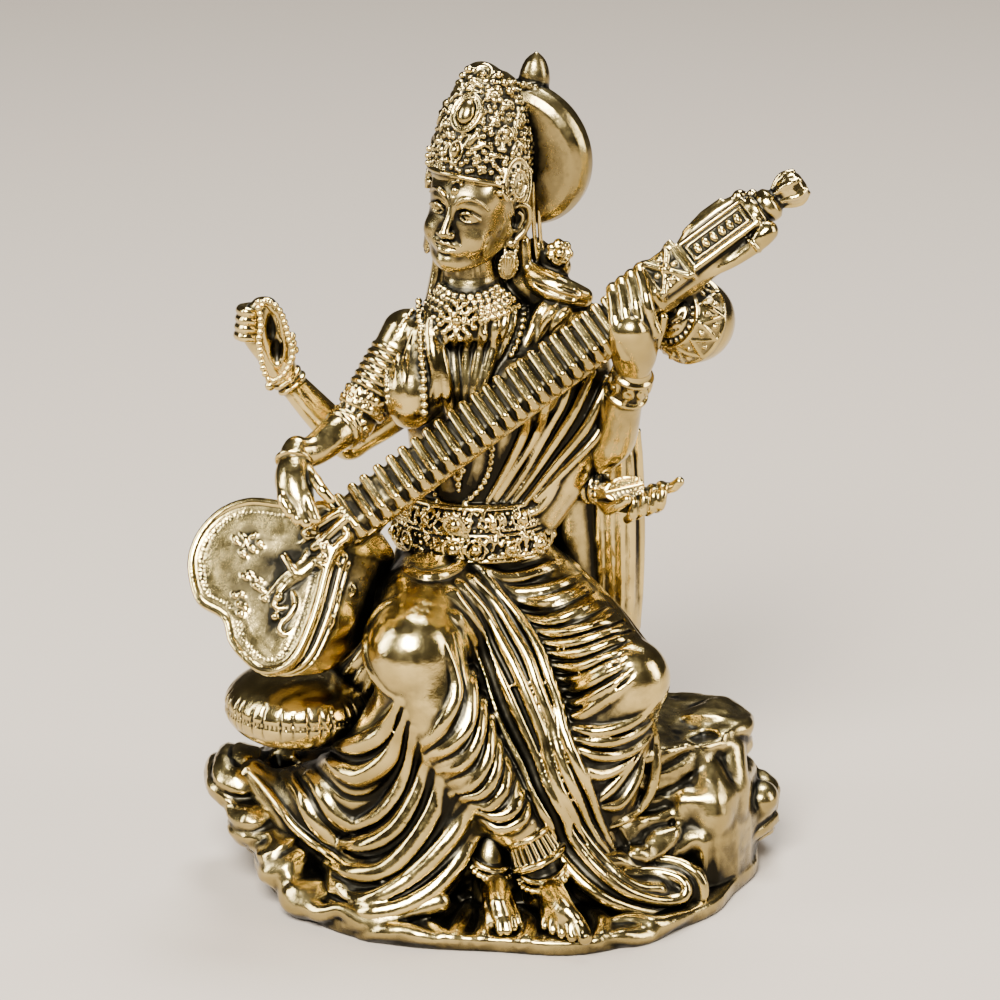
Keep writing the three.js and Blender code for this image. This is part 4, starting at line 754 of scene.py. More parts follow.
def ground():
    """The rock on its plate: ledges and boulders, broken by lumps and layers, and the wall at its right."""
    clay = Clay("rock", (-37, -29.5, -0.4), (37.6, 27.5, 31), 0.3)
    outline = smooth(FOOTPRINT, 90, closed=True)
    groups = (LOW_LEDGES, 1.0, 0.5), (RIGHT_LEDGES, 0.9, 0.4), (SEAT_LEDGES, 1.2, 0.6)
    for levels, rounding, soft in groups:
        for bottom, top, wide, deep, x, y in levels:
            clay.slab(outline * [wide, deep] + [x, y], bottom, top, soft, rounding=rounding)
    for place, radii, turn in BOULDERS:
        clay.ball(place, radii, 1.5, turn=turn)
    clay.limbs(ROCK_RIBS, soft=0.6)
    high, middle, low = [height * clay.grain(cell, seed) for height, cell, seed in LUMPS]
    z = (clay.low[2] + clay.voxel * np.arange(clay.count[2])).astype(np.float32)
    layer = z[None, None, :] / LAYER + 1.3 * clay.grain(8.0, 6)
    ledges = np.abs(layer - np.round(layer)) * 2
    above = np.clip((z - 1.6) / 1.5, 0, 1)[None, None, :]
    clay.field += (high + middle + low + 0.9 * (0.5 - ledges) * (ledges < 0.6)) * above
    for foot_count, top, soft in WALL_STEPS:
        foot = [seen(pixel, z=0)[:2] for pixel in WALL_FOOT[-foot_count:]]
        clay.slab([*foot, *WALL_BACK], -1, top, soft, rounding=1.6)
    clay.limbs([sized(rows) for rows in WALL_EDGES], soft=0.9)
    clay.ball(seen(WALL_KNOB, y=1.0), [2.2, 2.6, 2.0], 0.8)
    clay.slab(outline, 0, PLATE_TOP, 0.3, rounding=0.45)
    # The dress's hem along the ground, and the ripples of cloth on the plate
    clay.settle()
    clay.tube(smooth(HEM_ON_GROUND, 40), 1.15 + 0.25 * np.sin(np.linspace(0, 14, 40)), 0.5)
    clay.folds(PLATE_RIPPLES, radius=1.2, lift=1.0, soft=0.5)
    # All that lies under the floor is cut away
    under = clay.window(*FLOOR_ROOM)[0]
    clay.field[under] = np.maximum(clay.field[under], -z[None, None, under[2]])
    return clay


CUSHION_MIDDLE = (-22.6, -3.2, 0)
CUSHION_SEAM = 22.5
CUSHION_WIDE = 9.2
CUSHION_UP = 4.7
CUSHION_DOWN = 5.0
CUSHION_CREASES = 34
CUSHION_BEADS = 100
# The first and the last fold of the cloth beside the cushion, in pixels, and behind it, as x and z in mm
SEAT_FOLDS = [(330, 668), (352, 648), (372, 622)], [(356, 712), (366, 690), (376, 664)]
SEAT_FOLDS_BACK = [(-18, 20), (-17, 27), (-14, 34)], [(-8, 18), (-8, 26), (-7, 35)]
SEAT_PAD = [[-13.0, 1.0, 20.0, 6.4], [-13.6, -1.0, 27.0, 5.2], [-11.4, 0.0, 33.0, 4.4]]


def cushion():
    """The round cushion under the lute: two lobes, a line of small beads between them, and creases."""
    clay = Clay("cushion", (-34, -14, 14), (-10, 8, 30), 0.17)
    profile = [[CUSHION_WIDE * math.cos(a) ** 0.9 + 0.05,
                CUSHION_SEAM + (CUSHION_UP if a > 0 else CUSHION_DOWN) * math.sin(a)]
               for a in np.linspace(-1.56, 1.56, 40)]
    clay.turned(profile, CUSHION_MIDDLE, soft=0.2)
    middle = np.array(CUSHION_MIDDLE, float)
    seam = middle + [0, 0, CUSHION_SEAM]
    clay.ring(seam, (0, 0, 1), CUSHION_WIDE + 0.1, 0.34, 0.25, cut=True)
    random = np.random.default_rng(4)
    for i in range(CUSHION_CREASES):
        angle = 2 * math.pi * (i + random.uniform(-0.3, 0.3)) / CUSHION_CREASES
        out = np.array([math.cos(angle), math.sin(angle), 0])
        reach = random.uniform(0.2, 1.0)
        upper = [[9.1, 22.8], [9.05, 23.4], [8.8 - 0.8 * reach, 24.0 + 1.1 * reach]]
        lower = [[9.15, 22.2], [9.1, 21.4], [8.9 - 0.6 * reach, 20.8 - 1.2 * reach]]
        for side in (upper, lower):
            run = smooth([middle + out * r + [0, 0, z] for r, z in side], 7)
            clay.tube(run, [0.17, 0.16, 0.15, 0.13, 0.1, 0.07, 0.03], 0.2, cut=True)
    clay.beads(hoop(seam, (0, 0, 1), CUSHION_WIDE - 0.25, CUSHION_BEADS, start=180), 0.24, 0.05)
    return clay


def seat_cloth():
    """The gathered cloth between the cushion, the hip and the lute's bowl."""
    clay = Clay("seat_cloth", (-22, -9, 13), (-4, 10, 38), 0.26)
    clay.limb(SEAT_PAD, 1.0)
    clay.settle()
    clay.folds(between(*SEAT_FOLDS, 4), 0.8, 0.6, 0.3)
    clay.folds(between(*SEAT_FOLDS_BACK, 5), 0.9, 0.6, 0.4, "back")
    return clay


# Feet

# Toe tips in the photograph's pixels, with their radii, and each ankle's front
TOES_RIGHT = [(545, 927, 0.5), (553, 931, 0.54), (562, 934, 0.58), (572, 937, 0.62), (585, 938, 0.85)]
TOES_LEFT = [(491, 924, 0.8), (501, 931, 0.58), (508, 931, 0.54), (514, 928, 0.5), (519, 924, 0.46)]
ANKLE_RIGHT = (546, 874)
ANKLE_LEFT = (491, 866)
ANKLES = [
    [[3.4, -16.6, 12.8, 2.6], [4.6, -17.0, 9.6, 2.3], *sized([(543, 874, -18.2, 2.3)]),
     [6.0, -17.8, 3.8, 2.2]],
    [[0.6, -14.6, 11.0, 2.2], *sized([(491, 848, -16.0, 2.1), (490, 866, -16.7, 2.2)]),
     [0.0, -16.6, 3.4, 2.2]],
]
# The edges of the gathered cuff over the ankle
CUFF = [(527, 834, -17.0), (538, 857, -17.2)]
CUFF_RIBS = 22
ANKLETS = [((543, 868), -18.3, (-0.2, -0.3, 1), 2.6), ((491, 857), -16.8, (0.25, -0.3, 1), 2.45)]


def foot(clay, ankle, depth, toes):
    """A bare foot: five bones that fan out from the ankle, and a toe with its nail on each."""
    top = seen(ankle, y=depth)
    for x, y, size in toes:
        tip = seen((x, y), z=2.2 + 0.5 * size)
        joint = seen((x + 0.18 * (ankle[0] - x), y - 13), z=3.5)
        instep = seen((x + 0.55 * (ankle[0] - x), y - 32), z=5.2)
        clay.tube(smooth([top, instep, joint], 12), np.linspace(1.45, size + 0.2, 12), 0.5)
        toe = smooth([joint, (joint + tip) / 2 + [0, 0, 0.25], tip], 8)
        clay.tube(toe, np.linspace(size + 0.1, size, 8), 0.15)
        forward = (tip - joint) / np.linalg.norm(tip - joint)
        nail = tip + forward * size * 0.4 + [0, 0, size * 0.72]
        clay.ball(nail, [size * 0.55, size * 0.6, size * 0.3], 0.05)


def feet():
    clay = Clay("feet", (-5, -30, 0.8), (16, -10, 15), 0.14)
    foot(clay, ANKLE_RIGHT, -16.8, TOES_RIGHT)
    foot(clay, ANKLE_LEFT, -15.4, TOES_LEFT)
    clay.limbs(ANKLES, 0.6)
    # A gathered cuff between two flared hems, and the anklets
    top, low = placed(CUFF)
    axis = top - low
    clay.ring(top, axis, 2.6, 0.42, 0.15)
    clay.ring(low, axis, 3.2, 0.46, 0.15)
    clay.tube([top, low], [2.4, 2.7], 0.2)
    for start, end in zip(hoop(top, axis, 2.5, CUFF_RIBS), hoop(low, axis, 2.95, CUFF_RIBS)):
        clay.tube([start, end], [0.24, 0.3], 0.06)
    for pixel, depth, axis, radius in ANKLETS:
        centre = seen(pixel, y=depth)
        clay.ring(centre, axis, radius, 0.4, 0.12)
        clay.beads(hoop(centre - [0, 0.5, 0.85], axis, radius + 0.2, 24), 0.46, 0.06)
    return clay


# Torso, shawl, belt and jewels

CHEST_PLEATS = [
    [(440, 322), (440, 350), (446, 385), (452, 425)],
    [(498, 318), (494, 345), (486, 375), (478, 420)],
]
STRAP_RIGHT = [(427, 298), (431, 332), (436, 367), (440, 404)]
STRAP_LEFT = [[(519, 292), (512, 325), (500, 355), (488, 380)], [(510, 300), (502, 335), (490, 365)]]
WRAPS = [
    [(530, 396), (523, 430), (506, 468), (484, 508)],
    [(548, 388), (536, 430), (514, 468), (490, 510)],
    [(568, 380), (550, 425), (526, 468), (498, 510)],
    [(590, 372), (572, 415), (542, 462), (508, 508)],
    [(606, 380), (586, 424), (556, 464), (524, 504)],
    [(612, 402), (594, 436), (566, 468), (536, 500)],
]
SHOULDER_FOLDS = [
    [(545, 300), (536, 320), (526, 345)], [(557, 305), (546, 322), (536, 340)],
    [(571, 307), (560, 320), (549, 334)], [(586, 308), (574, 318), (562, 328)],
]
WRAP_HEM = [(562, 466), (550, 494), (534, 512), (514, 510)]
BREAST_FOLDS = [
    [(405, 330), (398, 352), (396, 378)], [(412, 332), (406, 358), (404, 392)],
    [(430, 345), (433, 372), (430, 400)],
]
# Strings of beads and the trim over the breast, each with the radius of its beads
STRINGS = [
    ([(420, 303), (421, 320), (422, 350), (423, 380), (424, 412)], 0.46),
    ([(524, 290), (523, 312), (519, 336), (512, 356)], 0.42),
    ([(490, 422), (492, 440), (490, 465), (482, 485), (466, 502)], 0.4),
    ([(434, 470), (434, 486), (440, 500), (456, 506)], 0.32),
    ([(412, 312), (400, 328), (391, 350), (388, 380), (389, 402)], 0.3),
]
COLLAR_CENTRE = (459, 321)
COLLAR_ROWS = [
    [(441, 287), (454, 295), (470, 297), (485, 294), (496, 287)],
    [(437, 292), (452, 301), (470, 303), (489, 300), (501, 292)],
    [(432, 297), (449, 307), (468, 309), (490, 306), (507, 296)],
    [(428, 303), (445, 313), (467, 316), (491, 312), (512, 301)],
    [(425, 310), (441, 320), (464, 323), (492, 318), (517, 307)],
]
COLLAR_DROPS = [(438, 331), (447, 337), (456, 342), (465, 345), (475, 341), (484, 335)]
PENDANT = (458, 452)
# The pendant's stones, as how far beside and below its top, and radius
PENDANT_STONES = [(0, 0, 0.75), (-0.9, 0.5, 0.5), (0.9, 0.5, 0.5), (0, 1.3, 0.7), (-0.6, 2.1, 0.45),
                  (0.6, 2.1, 0.45), (0, 2.9, 0.6), (0, 3.9, 0.4), (0, 4.6, 0.28)]
BROOCH = (507, 415)
# Her breasts and shoulders, as centre, radii and fillet
ROUNDS = [([-9.3, -2.0, 61.0], [3.5, 4.0, 4.5], 1.2), ([4.4, -2.6, 61.6], [4.0, 3.8, 3.9], 1.2),
          ([-9.7, 1.8, 67.0], [3.0, 3.0, 2.9], 1.8), ([6.5, 2.5, 66.6], [4.2, 3.2, 3.2], 1.8)]
CHEST = sized([(425, 336, -0.8, 1.9), (431, 358, -2.0, 2.2), (437, 388, -2.4, 2.3)])
NECK = [[-2.0, 2.0, 69.5, 3.3], [-2.6, 1.5, 78.5, 3.0]]
SHOULDER_PIXEL = (556, 314)
NECK_BASE = [[-2.0, 1.8, 67.6, 6.6, 5.6], [-2.0, 1.6, 69.4, 6.1, 5.6], [-2.0, 1.5, 71.2, 5.2, 4.9],
             [-2.2, 1.5, 72.6, 4.0, 3.9], [-2.3, 1.5, 73.8, 3.0, 3.0]]
SCARF = sized([(526, 268, 2.6, 1.0), (537, 279, 1.6, 1.6), (553, 287, 0.6, 1.7), (570, 293, 0.2, 1.5),
               (583, 297, 0.2, 1.2)])
SCARF_PAD = [[4.0, 3.6, 72.6, 2.6], [7.4, 3.4, 71.2, 2.8], [10.4, 3.0, 68.2, 2.7]]
SCARF_TOP = [[5.4, 4.6, 76.6, 1.3], [8.2, 4.4, 74.4, 1.4]]
NECK_STRAND = [[5.5, 3.4, 88.0], [5.4, 3.4, 82.0], [5.7, 3.4, 77.0], [6.1, 3.4, 74.0]]
LOCK_LEFT = [[3.2, 3.2, 78.0], [3.6, 2.8, 74.0], [4.6, 2.4, 70.0]]
LOCK_RIGHT = [[-5.6, 3.4, 79.0], [-6.2, 3.0, 74.4], [-7.0, 2.6, 70.4]]
# The first and the last of the shawl's folds over her back, as x and z in mm
BACK_FOLDS = [(-9, 66), (-4, 60), (3, 54), (9, 50)], [(-8, 56), (-4, 51), (2, 47), (8, 44)]


def torso():
    clay = Clay("torso", (-15, -10.5, 37), (19, 14, 89), 0.19)
    clay.stack(TORSO, TORSO_TURN)
    for centre, radii, soft in ROUNDS:
        clay.ball(centre, radii, soft)
    clay.limb(CHEST, 1.4)
    clay.limb(SHAWL, 2.0)
    clay.limb(NECK, 1.0)
    clay.ball(seen(SHOULDER_PIXEL, y=0.8), [3.0, 2.2, 2.2], 1.2)
    clay.stack(NECK_BASE, 0, 0.8)
    clay.settle()
    neck_and_shoulders(clay)
    clay.folds(between(*CHEST_PLEATS, 5), 0.85, 0.85, 0.15, ends=0.6)
    clay.folds([STRAP_RIGHT], 0.95, 0.75, 0.15, ends=0.7)
    clay.folds(STRAP_LEFT, 0.42, 0.42, 0.12, ends=0.7)
    clay.folds(WRAPS, 0.62, 0.95, 0.2, bend=[1, 1, 0.75, 0.4])
    clay.folds([WRAP_HEM], 0.6, 0.6, 0.2)
    clay.folds(SHOULDER_FOLDS, 0.75, 0.6, 0.2, ends=0.5)
    clay.folds(BREAST_FOLDS, 0.4, 0.35, 0.12)
    for guide, radius in STRINGS:
        string(clay, guide, radius)
    collar(clay)
    pendant(clay)
    belt(clay)
    clay.folds(between(*BACK_FOLDS, 6), 0.8, 0.5, 0.3, "back")
    return clay


def string(clay, guide, radius, lift=0.25):
    """Beads along a guide that is laid on the form."""
    places, outward = clay.laid(guide, relax=6)
    count = max(int(length(places) / (1.9 * radius)), 2)
    run = smooth(np.hstack([places, outward]), count)
    clay.beads(run[:, :3] + run[:, 3:] * lift, radius)


def spot(clay, pixel):
    """One place on the form under a pixel of the photograph, and its outward direction."""
    places, outward = clay.laid([pixel, (pixel[0] + 0.5, pixel[1])], relax=0)
    return places[0], outward[0]


def knob(clay, pixel, radii, lift, soft):
    """A ball under a pixel of the photograph, with its middle a little above the form."""
    place, outward = spot(clay, pixel)
    clay.ball(place + outward * lift, radii, soft)


def neck_and_shoulders(clay):
    """Locks of hair beside the neck, and the scarf rolled over her left shoulder."""
    for lane in (-0.33, 0.33):
        strand = np.array(NECK_STRAND) + [lane, lane, 0]
        clay.tube(smooth(strand, 20), 0.28, 0.04)
    for lane in (-0.8, 0, 0.8):
        lock = np.array(LOCK_LEFT) + [lane, -lane, 0]
        clay.tube(smooth(lock, 14), 0.75, 0.25)
        lock = np.array(LOCK_RIGHT) + np.outer([0.3, 0, 0], [lane, 0, 0]) + [0, lane, 0]
        clay.tube(smooth(lock, 14), 0.7, 0.25)
    clay.limb(SCARF_PAD, 0.8)
    clay.limb(SCARF_TOP, 0.5)
    scarf = smooth(SCARF, 24)
    clay.tube(scarf[:, :3], scarf[:, 3], 0.25)
    for turn in range(3):
        angle = turn * 0.9 + 3.6
        side = np.array([0.35 * math.cos(angle), -abs(math.sin(angle)), 0.5 * math.cos(angle)])
        clay.tube(scarf[2:-3, :3] + side * scarf[2:-3, 3:] * 0.95, 0.24, 0.15, cut=True)
    clay.beads(hoop([8.2, 3.2, 76.4], (0.2, -1, 0.3), 1.1, 7), 0.62, 0.1)
    clay.ball([8.2, 2.6, 76.5], 0.7, 0.1)


def collar(clay):
    """Rows of beads round the neck, and a flower pendant with petals and drops."""
    for guide in COLLAR_ROWS:
        string(clay, guide, 0.4, 0.2)
    for low, high in zip(COLLAR_ROWS[:-1:2], COLLAR_ROWS[1::2]):
        clay.folds(between(low, high, 1, inside=True), 0.2, 0.22, 0.1, ends=0.8)
    place, outward = spot(clay, COLLAR_CENTRE)
    place = place + outward * 0.5
    flower(clay, place, outward, 0.62, 8, 1.35)
    clay.beads(hoop(place, outward, 2.1, 12), 0.42, 0.12)
    for pixel in COLLAR_DROPS:
        knob(clay, pixel, [0.42, 0.42, 0.85], 0.3, 0.1)


def flower(clay, place, outward, heart, petals, radius):
    """A round boss in a ring of beads."""
    clay.ball(place + outward * 0.3, heart, 0.08)
    clay.ring(place + outward * 0.15, outward, heart + 0.28, 0.17, 0.06)
    clay.beads(hoop(place, outward, radius, petals), radius * math.pi / petals * 0.82, 0.1)


def pendant(clay):
    """The long leaf-shaped pendant and the brooch of the wrap."""
    place, outward = spot(clay, PENDANT)
    down = np.array([0.05, 0, -1.0])
    for side, drop, size in PENDANT_STONES:
        clay.ball(place + outward * 0.5 + down * drop + [side, 0, 0], size, 0.12)
    place, outward = spot(clay, BROOCH)
    flower(clay, place + outward * 0.6, outward, 0.5, 7, 1.0)


# The belt's middle, and its half width at each height
BELT_MIDDLE = np.array([-2.2, 2.5, 0])
BELT_HEIGHTS = [40.4, 41.5, 43.0, 44.8, 46.6, 47.4]
BELT_WIDTHS = [9.1, 9.5, 9.4, 8.9, 8.4, 8.0]
BELT_CORE = [[-2.2, 2.5, 40.3, 8.9, 6.8], [-2.2, 2.5, 41.5, 9.3, 7.1], [-2.2, 2.5, 43.0, 9.2, 7.0],
             [-2.2, 2.5, 44.8, 8.7, 6.6], [-2.2, 2.5, 46.6, 8.2, 6.2], [-2.2, 2.5, 47.4, 7.8, 5.9]]
BELT_RIMS = [(40.7, 0.22), (43.9, 0.18), (47.0, 0.26)]
BELT_ROWS = [(41.3, 0.3, 76), (43.3, 0.26, 84), (44.5, 0.26, 80), (46.4, 0.28, 70)]
BELT_GRAINS = 520
BELT_MOTIFS = 13
BELT_CURL = [(7, -0.6), (10, -0.2), (10.5, 0.5), (8, 0.7), (6.5, 0.2)]
LOW_BAND = 42.3
HIGH_BAND = 45.4
# The two large medallions in front, as height and radius
MEDALLIONS = [(45.2, 1.15), (42.3, 1.25)]


def on_belt(angle, z, out=0.0):
    """A place round the belt: degrees from the front, the height, and how far out of its skin."""
    wide = np.interp(z, BELT_HEIGHTS, BELT_WIDTHS)
    deep = wide * 0.76
    a = math.radians(angle)
    flat = np.array([(wide + out) * math.sin(a), -(deep + out) * math.cos(a), 0])
    return BELT_MIDDLE + turning((0, 0, 1), TORSO_TURN) @ flat + [0, 0, z]


def belt(clay):
    """The jewelled belt: bands between rims, with medallions, rosettes and drops."""
    clay.stack(BELT_CORE, TORSO_TURN, 0.2)
    around = np.linspace(-180, 180, 121)
    for z, size in BELT_RIMS:
        clay.tube([on_belt(angle, z, 0.1) for angle in around], size, 0.1)
    random = np.random.default_rng(21)
    for _ in range(BELT_GRAINS):
        place = on_belt(random.uniform(-180, 180), random.uniform(41.0, 46.8), 0.14)
        clay.ball(place, random.uniform(0.2, 0.36), 0.06)
    for z, size, count in BELT_ROWS:
        clay.beads([on_belt(360 * i / count, z, 0.15) for i in range(count)], size, 0.06)
    for i in range(BELT_MOTIFS):
        angle = -180 + 360 * i / BELT_MOTIFS
        scale = 1.25 if i % 2 else 0.95
        place = on_belt(angle, LOW_BAND, 0.3)
        outward = place - BELT_MIDDLE - [0, 0, place[2]]
        outward /= np.linalg.norm(outward)
        clay.ball(place, 0.62 * scale, 0.1)
        clay.ring(place, outward, 0.95 * scale, 0.18, 0.06)
        high = on_belt(angle + 14, HIGH_BAND, 0.25)
        clay.ball(high, [0.5, 0.5, 0.72], 0.1)
        clay.ring(high, outward, 0.85, 0.15, 0.06)
        for side in (-1, 1):
            curl = [on_belt(angle + 14 + side * turn, HIGH_BAND + up, 0.2) for turn, up in BELT_CURL]
            clay.tube(smooth(curl, 12), 0.17, 0.06)
    for z, size in MEDALLIONS:
        place, outward = on_belt(-2, z, 0.45), turning((0, 0, 1), TORSO_TURN) @ np.array([0, -1.0, 0])
        clay.ball(place, size * 0.72, 0.1)
        clay.ring(place, outward, size, 0.25, 0.08)
        clay.beads(hoop(place, outward, size + 0.42, 14), 0.2)


# The forms behind her: the cloth at her side and in the middle, what joins them, and the long hair
BACK_CLOTH = [[8.0, 6.4, 64.0, 3.4], [12.4, 7.8, 54.0, 3.6], [14.0, 8.8, 42.0, 3.6],
              [14.2, 9.6, 30.0, 3.8], [14.0, 10.0, 18.0, 4.2]]
BACK_MIDDLE = [[0.0, 8.4, 54.0, 6.4], [0.0, 9.6, 40.0, 8.6], [0.0, 10.6, 26.0, 10.0]]
BACK_FILL = [[7.4, 6.6, 60.0, 2.4], [9.0, 7.6, 48.0, 3.0], [10.0, 8.6, 34.0, 3.2],
             [10.4, 9.6, 20.0, 3.4]]
LONG_HAIR = [[-0.6, 6.4, 84.0, 3.2], [-0.4, 6.8, 77.0, 3.3], [0.0, 7.6, 68.0, 4.4],
             [-0.4, 8.0, 58.0, 4.6], [-0.8, 8.6, 48.0, 3.4], [-0.8, 9.4, 44.0, 1.6]]
# The first and the last fold of each, as x and z in mm, and of what the photograph shows, in pixels
HAIR_LOCKS = [(-4.4, 82), (-4.6, 72), (-5.0, 60), (-3.4, 46)], [(4.2, 82), (4.4, 72), (4.4, 60), (2.2, 46)]
LOW_BACK_FOLDS = [(-8.8, 42), (-9.4, 34), (-10.0, 20)], [(9.0, 42), (9.6, 34), (9.8, 20)]
SIDE_BACK_FOLDS = [(10.6, 62), (10.8, 44), (10.6, 20)], [(16.6, 60), (17.4, 44), (17.4, 20)]
BACK_FOLDS_SEEN = [(601, 440), (600, 520), (603, 600)], [(640, 430), (640, 520), (640, 625)]


def back_cloth():
    """The cloth and the long hair that hang behind her down to the rock."""
    clay = Clay("back_cloth", (-13, 2, 14), (22, 18, 86), 0.28)
    cloth = smooth(BACK_CLOTH, 30)
    for lane in (-1.7, -0.6, 0.6, 1.7):
        clay.tube(cloth[:, :3] + [lane, 0, 0], cloth[:, 3] * 0.62, 1.0)
    back = smooth(BACK_MIDDLE, 20)
    for lane in (-0.8, -0.4, 0, 0.4, 0.8):
        clay.tube(back[:, :3] + np.outer(back[:, 3] * lane, [0.72, 0, 0]), back[:, 3] * 0.45, 1.5)
    clay.limb(BACK_FILL, 1.2)
    hair = smooth(LONG_HAIR, 40)
    for lane in (-0.6, 0, 0.6):
        clay.tube(hair[:, :3] + np.outer(hair[:, 3] * lane, [0.8, 0, 0]), hair[:, 3] * 0.7, 0.8)
    clay.settle()
    for i, guide in enumerate(between(*HAIR_LOCKS, 9)):
        share = np.linspace(0, 1, len(guide))
        wavy = guide + np.outer(0.45 * np.sin(9 * share + 1.3 * i), [1, 0])
        clay.folds([wavy], 0.62, 0.42, 0.2, "back")
    clay.folds(between(*LOW_BACK_FOLDS, 11), 0.9, 0.55, 0.4, "back")
    clay.folds(between(*SIDE_BACK_FOLDS, 5), 0.9, 0.6, 0.4, "back")
    clay.folds(between(*BACK_FOLDS_SEEN, 5), 0.8, 0.65, 0.3, ends=0.6)
    return clay


# Arms and hands

WRIST_BEADS = [-24.6, 3.2, 61.8]
WRIST_FRET = [16.7, -4.0, 63.8]
WRIST_OPEN = [13.8, 1.2, 47.8]
UPPER_PLAY = [[-9.9, 1.6, 67.0, 2.9], [-12.2, 0.0, 63.6, 2.45], [-14.2, -1.6, 60.4, 2.35],
              [-15.9, -2.8, 57.6, 2.3]]
FORE_PLAY = [[-15.9, -2.8, 57.6, 2.25], [-18.2, -5.4, 56.6, 2.15], [-20.6, -7.6, 55.4, 1.85],
             *sized([(296, 454, -8.9, 1.85)])]
UPPER_BEADS = [[-6.0, 6.0, 61.0, 2.6], [-12.0, 5.6, 55.8, 2.4], [-16.8, 4.2, 53.0, 2.2]]
FORE_BEADS = [[-16.8, 4.2, 53.0, 2.15], [-19.4, 3.8, 55.6, 2.1], [-22.2, 3.6, 58.8, 1.8],
              [*WRIST_BEADS, 1.45]]
ELBOW_FRET = sized([(602, 466, 0.6, 1.0), (605, 456, 0.6, 1.8), (611, 444, 0.5, 2.5),
                    (615, 430, 0.1, 2.75)])
ARM_FRET = [*ELBOW_FRET, [15.6, -2.0, 60.0, 2.4], [*WRIST_FRET, 1.7]]
UPPER_FRET = [[9.5, 3.4, 63.0, 2.8], [11.4, 2.6, 58.0, 2.6], [12.8, 1.4, 53.8, 2.4]]
ARM_OPEN = [[6.0, 6.0, 56.0, 2.8], [9.2, 4.6, 50.0, 2.5], [10.8, 3.6, 48.0, 2.3], [*WRIST_OPEN, 1.5]]
SLEEVE_BANGLES = 6
OPEN_AXIS = (1, -0.5, 0)
OPEN_BANGLES = [([12.7, 2.2, 47.9], 1.9), ([11.9, 2.7, 48.0], 2.1)]
# One scroll of the wide cuff, as degrees round it and mm along it
CUFF_SCROLL = [(-4, -0.95), (11, 0.1), (3, 0.95), (-11, 0.6), (-10, -0.1), (-3, 0.05)]
CUFF_SCROLLS = 8


def middles(stations, count):
    """The smoothed middle line of a limb."""
    return smooth([station[:3] for station in stations], count)


def arms():
    clay = Clay("arms", (-29, -13, 43), (21, 11, 72), 0.2)
    clay.limbs((UPPER_PLAY, FORE_PLAY, UPPER_BEADS, FORE_BEADS, ARM_FRET, UPPER_FRET, ARM_OPEN), 0.8)
    upper = middles(UPPER_PLAY, 50)
    lean = upper[-1] - upper[0]
    # A sleeve of plain bangles, the beaded armlet under them and the band at the elbow
    clay.tube(upper[11:34], 2.5, 0.1)
    for i in range(SLEEVE_BANGLES):
        clay.ring(upper[12 + 4 * i], lean, 2.45, 0.43, 0.04)
    for at in (36, 41):
        clay.beads(hoop(upper[at], lean, 2.65, 20), 0.42, 0.08)
    for at in (38, 43):
        clay.ring(upper[at], lean, 2.6, 0.32, 0.1)
    fore = middles(FORE_PLAY[:3], 30)
    along = fore[11] - fore[4]
    clay.beads(hoop(fore[3], along, 2.45, 16), 0.4, 0.1)
    for at in (6, 9):
        clay.ring(fore[at], along, 2.3, 0.3, 0.1)
    rear = middles(FORE_BEADS, 40)
    for at in (33, 36):
        clay.ring(rear[at], rear[39] - rear[33], 1.75, 0.32, 0.1)
    scroll_bracelet(clay, [16.35, -3.3, 62.3], [1.0, -1.9, 3.8])
    for place, radius in OPEN_BANGLES:
        clay.ring(place, OPEN_AXIS, radius, 0.34, 0.1)
    clay.beads(hoop([13.3, 1.7, 47.9], OPEN_AXIS, 1.85, 14), 0.34)
    return clay


def scroll_bracelet(clay, centre, axis):
    """A wide cuff between two rims, with comma-shaped scrolls."""
    centre, axis = np.array(centre), np.array(axis) / np.linalg.norm(axis)
    for along, radius in ((-1.55, 2.35), (1.55, 2.25)):
        clay.ring(centre + axis * along, axis, radius, 0.36, 0.08)
    clay.tube([centre - axis * 1.5, centre + axis * 1.5], 2.2, 0.1)
    for i in range(CUFF_SCROLLS):
        start = 360 * i / CUFF_SCROLLS
        curl = [round_axis(centre + axis * up, axis, 2.36, start + turn) for turn, up in CUFF_SCROLL]
        clay.tube(smooth(curl, 14), [0.22] * 4 + [0.32] * 10, 0.05)


# How the radius of a finger changes from its root to its tip
FINGER_SHARES = [0, 0.35, 0.45, 0.7, 0.78, 1]
FINGER_RADII = np.array([1, 0.94, 1.02, 0.9, 0.94, 0.8])


def finger(clay, points, radius):
    """A finger through its joints, a little thinner at the tip, with a nail."""
    run = smooth(points, 14)
    clay.tube(run, np.interp(np.linspace(0, 1, 14), FINGER_SHARES, radius * FINGER_RADII), 0.18)
    clay.ball(run[-1] + (run[-1] - run[-2]) * 0.3, radius * 0.82, 0.1)


# The hands' places in the photograph's pixels, with the depth and, for stations, the radius
PLAY_BACK = sized([(297, 450, -8.6, 1.7), (294, 464, -10.2, 1.85), (293, 480, -11.8, 2.15),
                   (297, 496, -13.2, 2.0), (303, 511, -14.4, 1.4)])
PLAY_FINGERS = [((282, 486), (283, 500), (290, 513), 0.66), ((287, 488), (290, 505), (297, 519), 0.74),
                ((295, 488), (299, 507), (306, 522), 0.8), ((303, 484), (309, 503), (315, 518), 0.78)]
PLAY_THUMB = [(306, 468, -10.8), (315, 480, -13.0), (322, 490, -14.6), (329, 498, -14.8)]
PLAY_BANGLE = (294, 461, -9.9)
PLAY_WRIST = [(294, 474, -11.2), (297, 450, -8.6)]
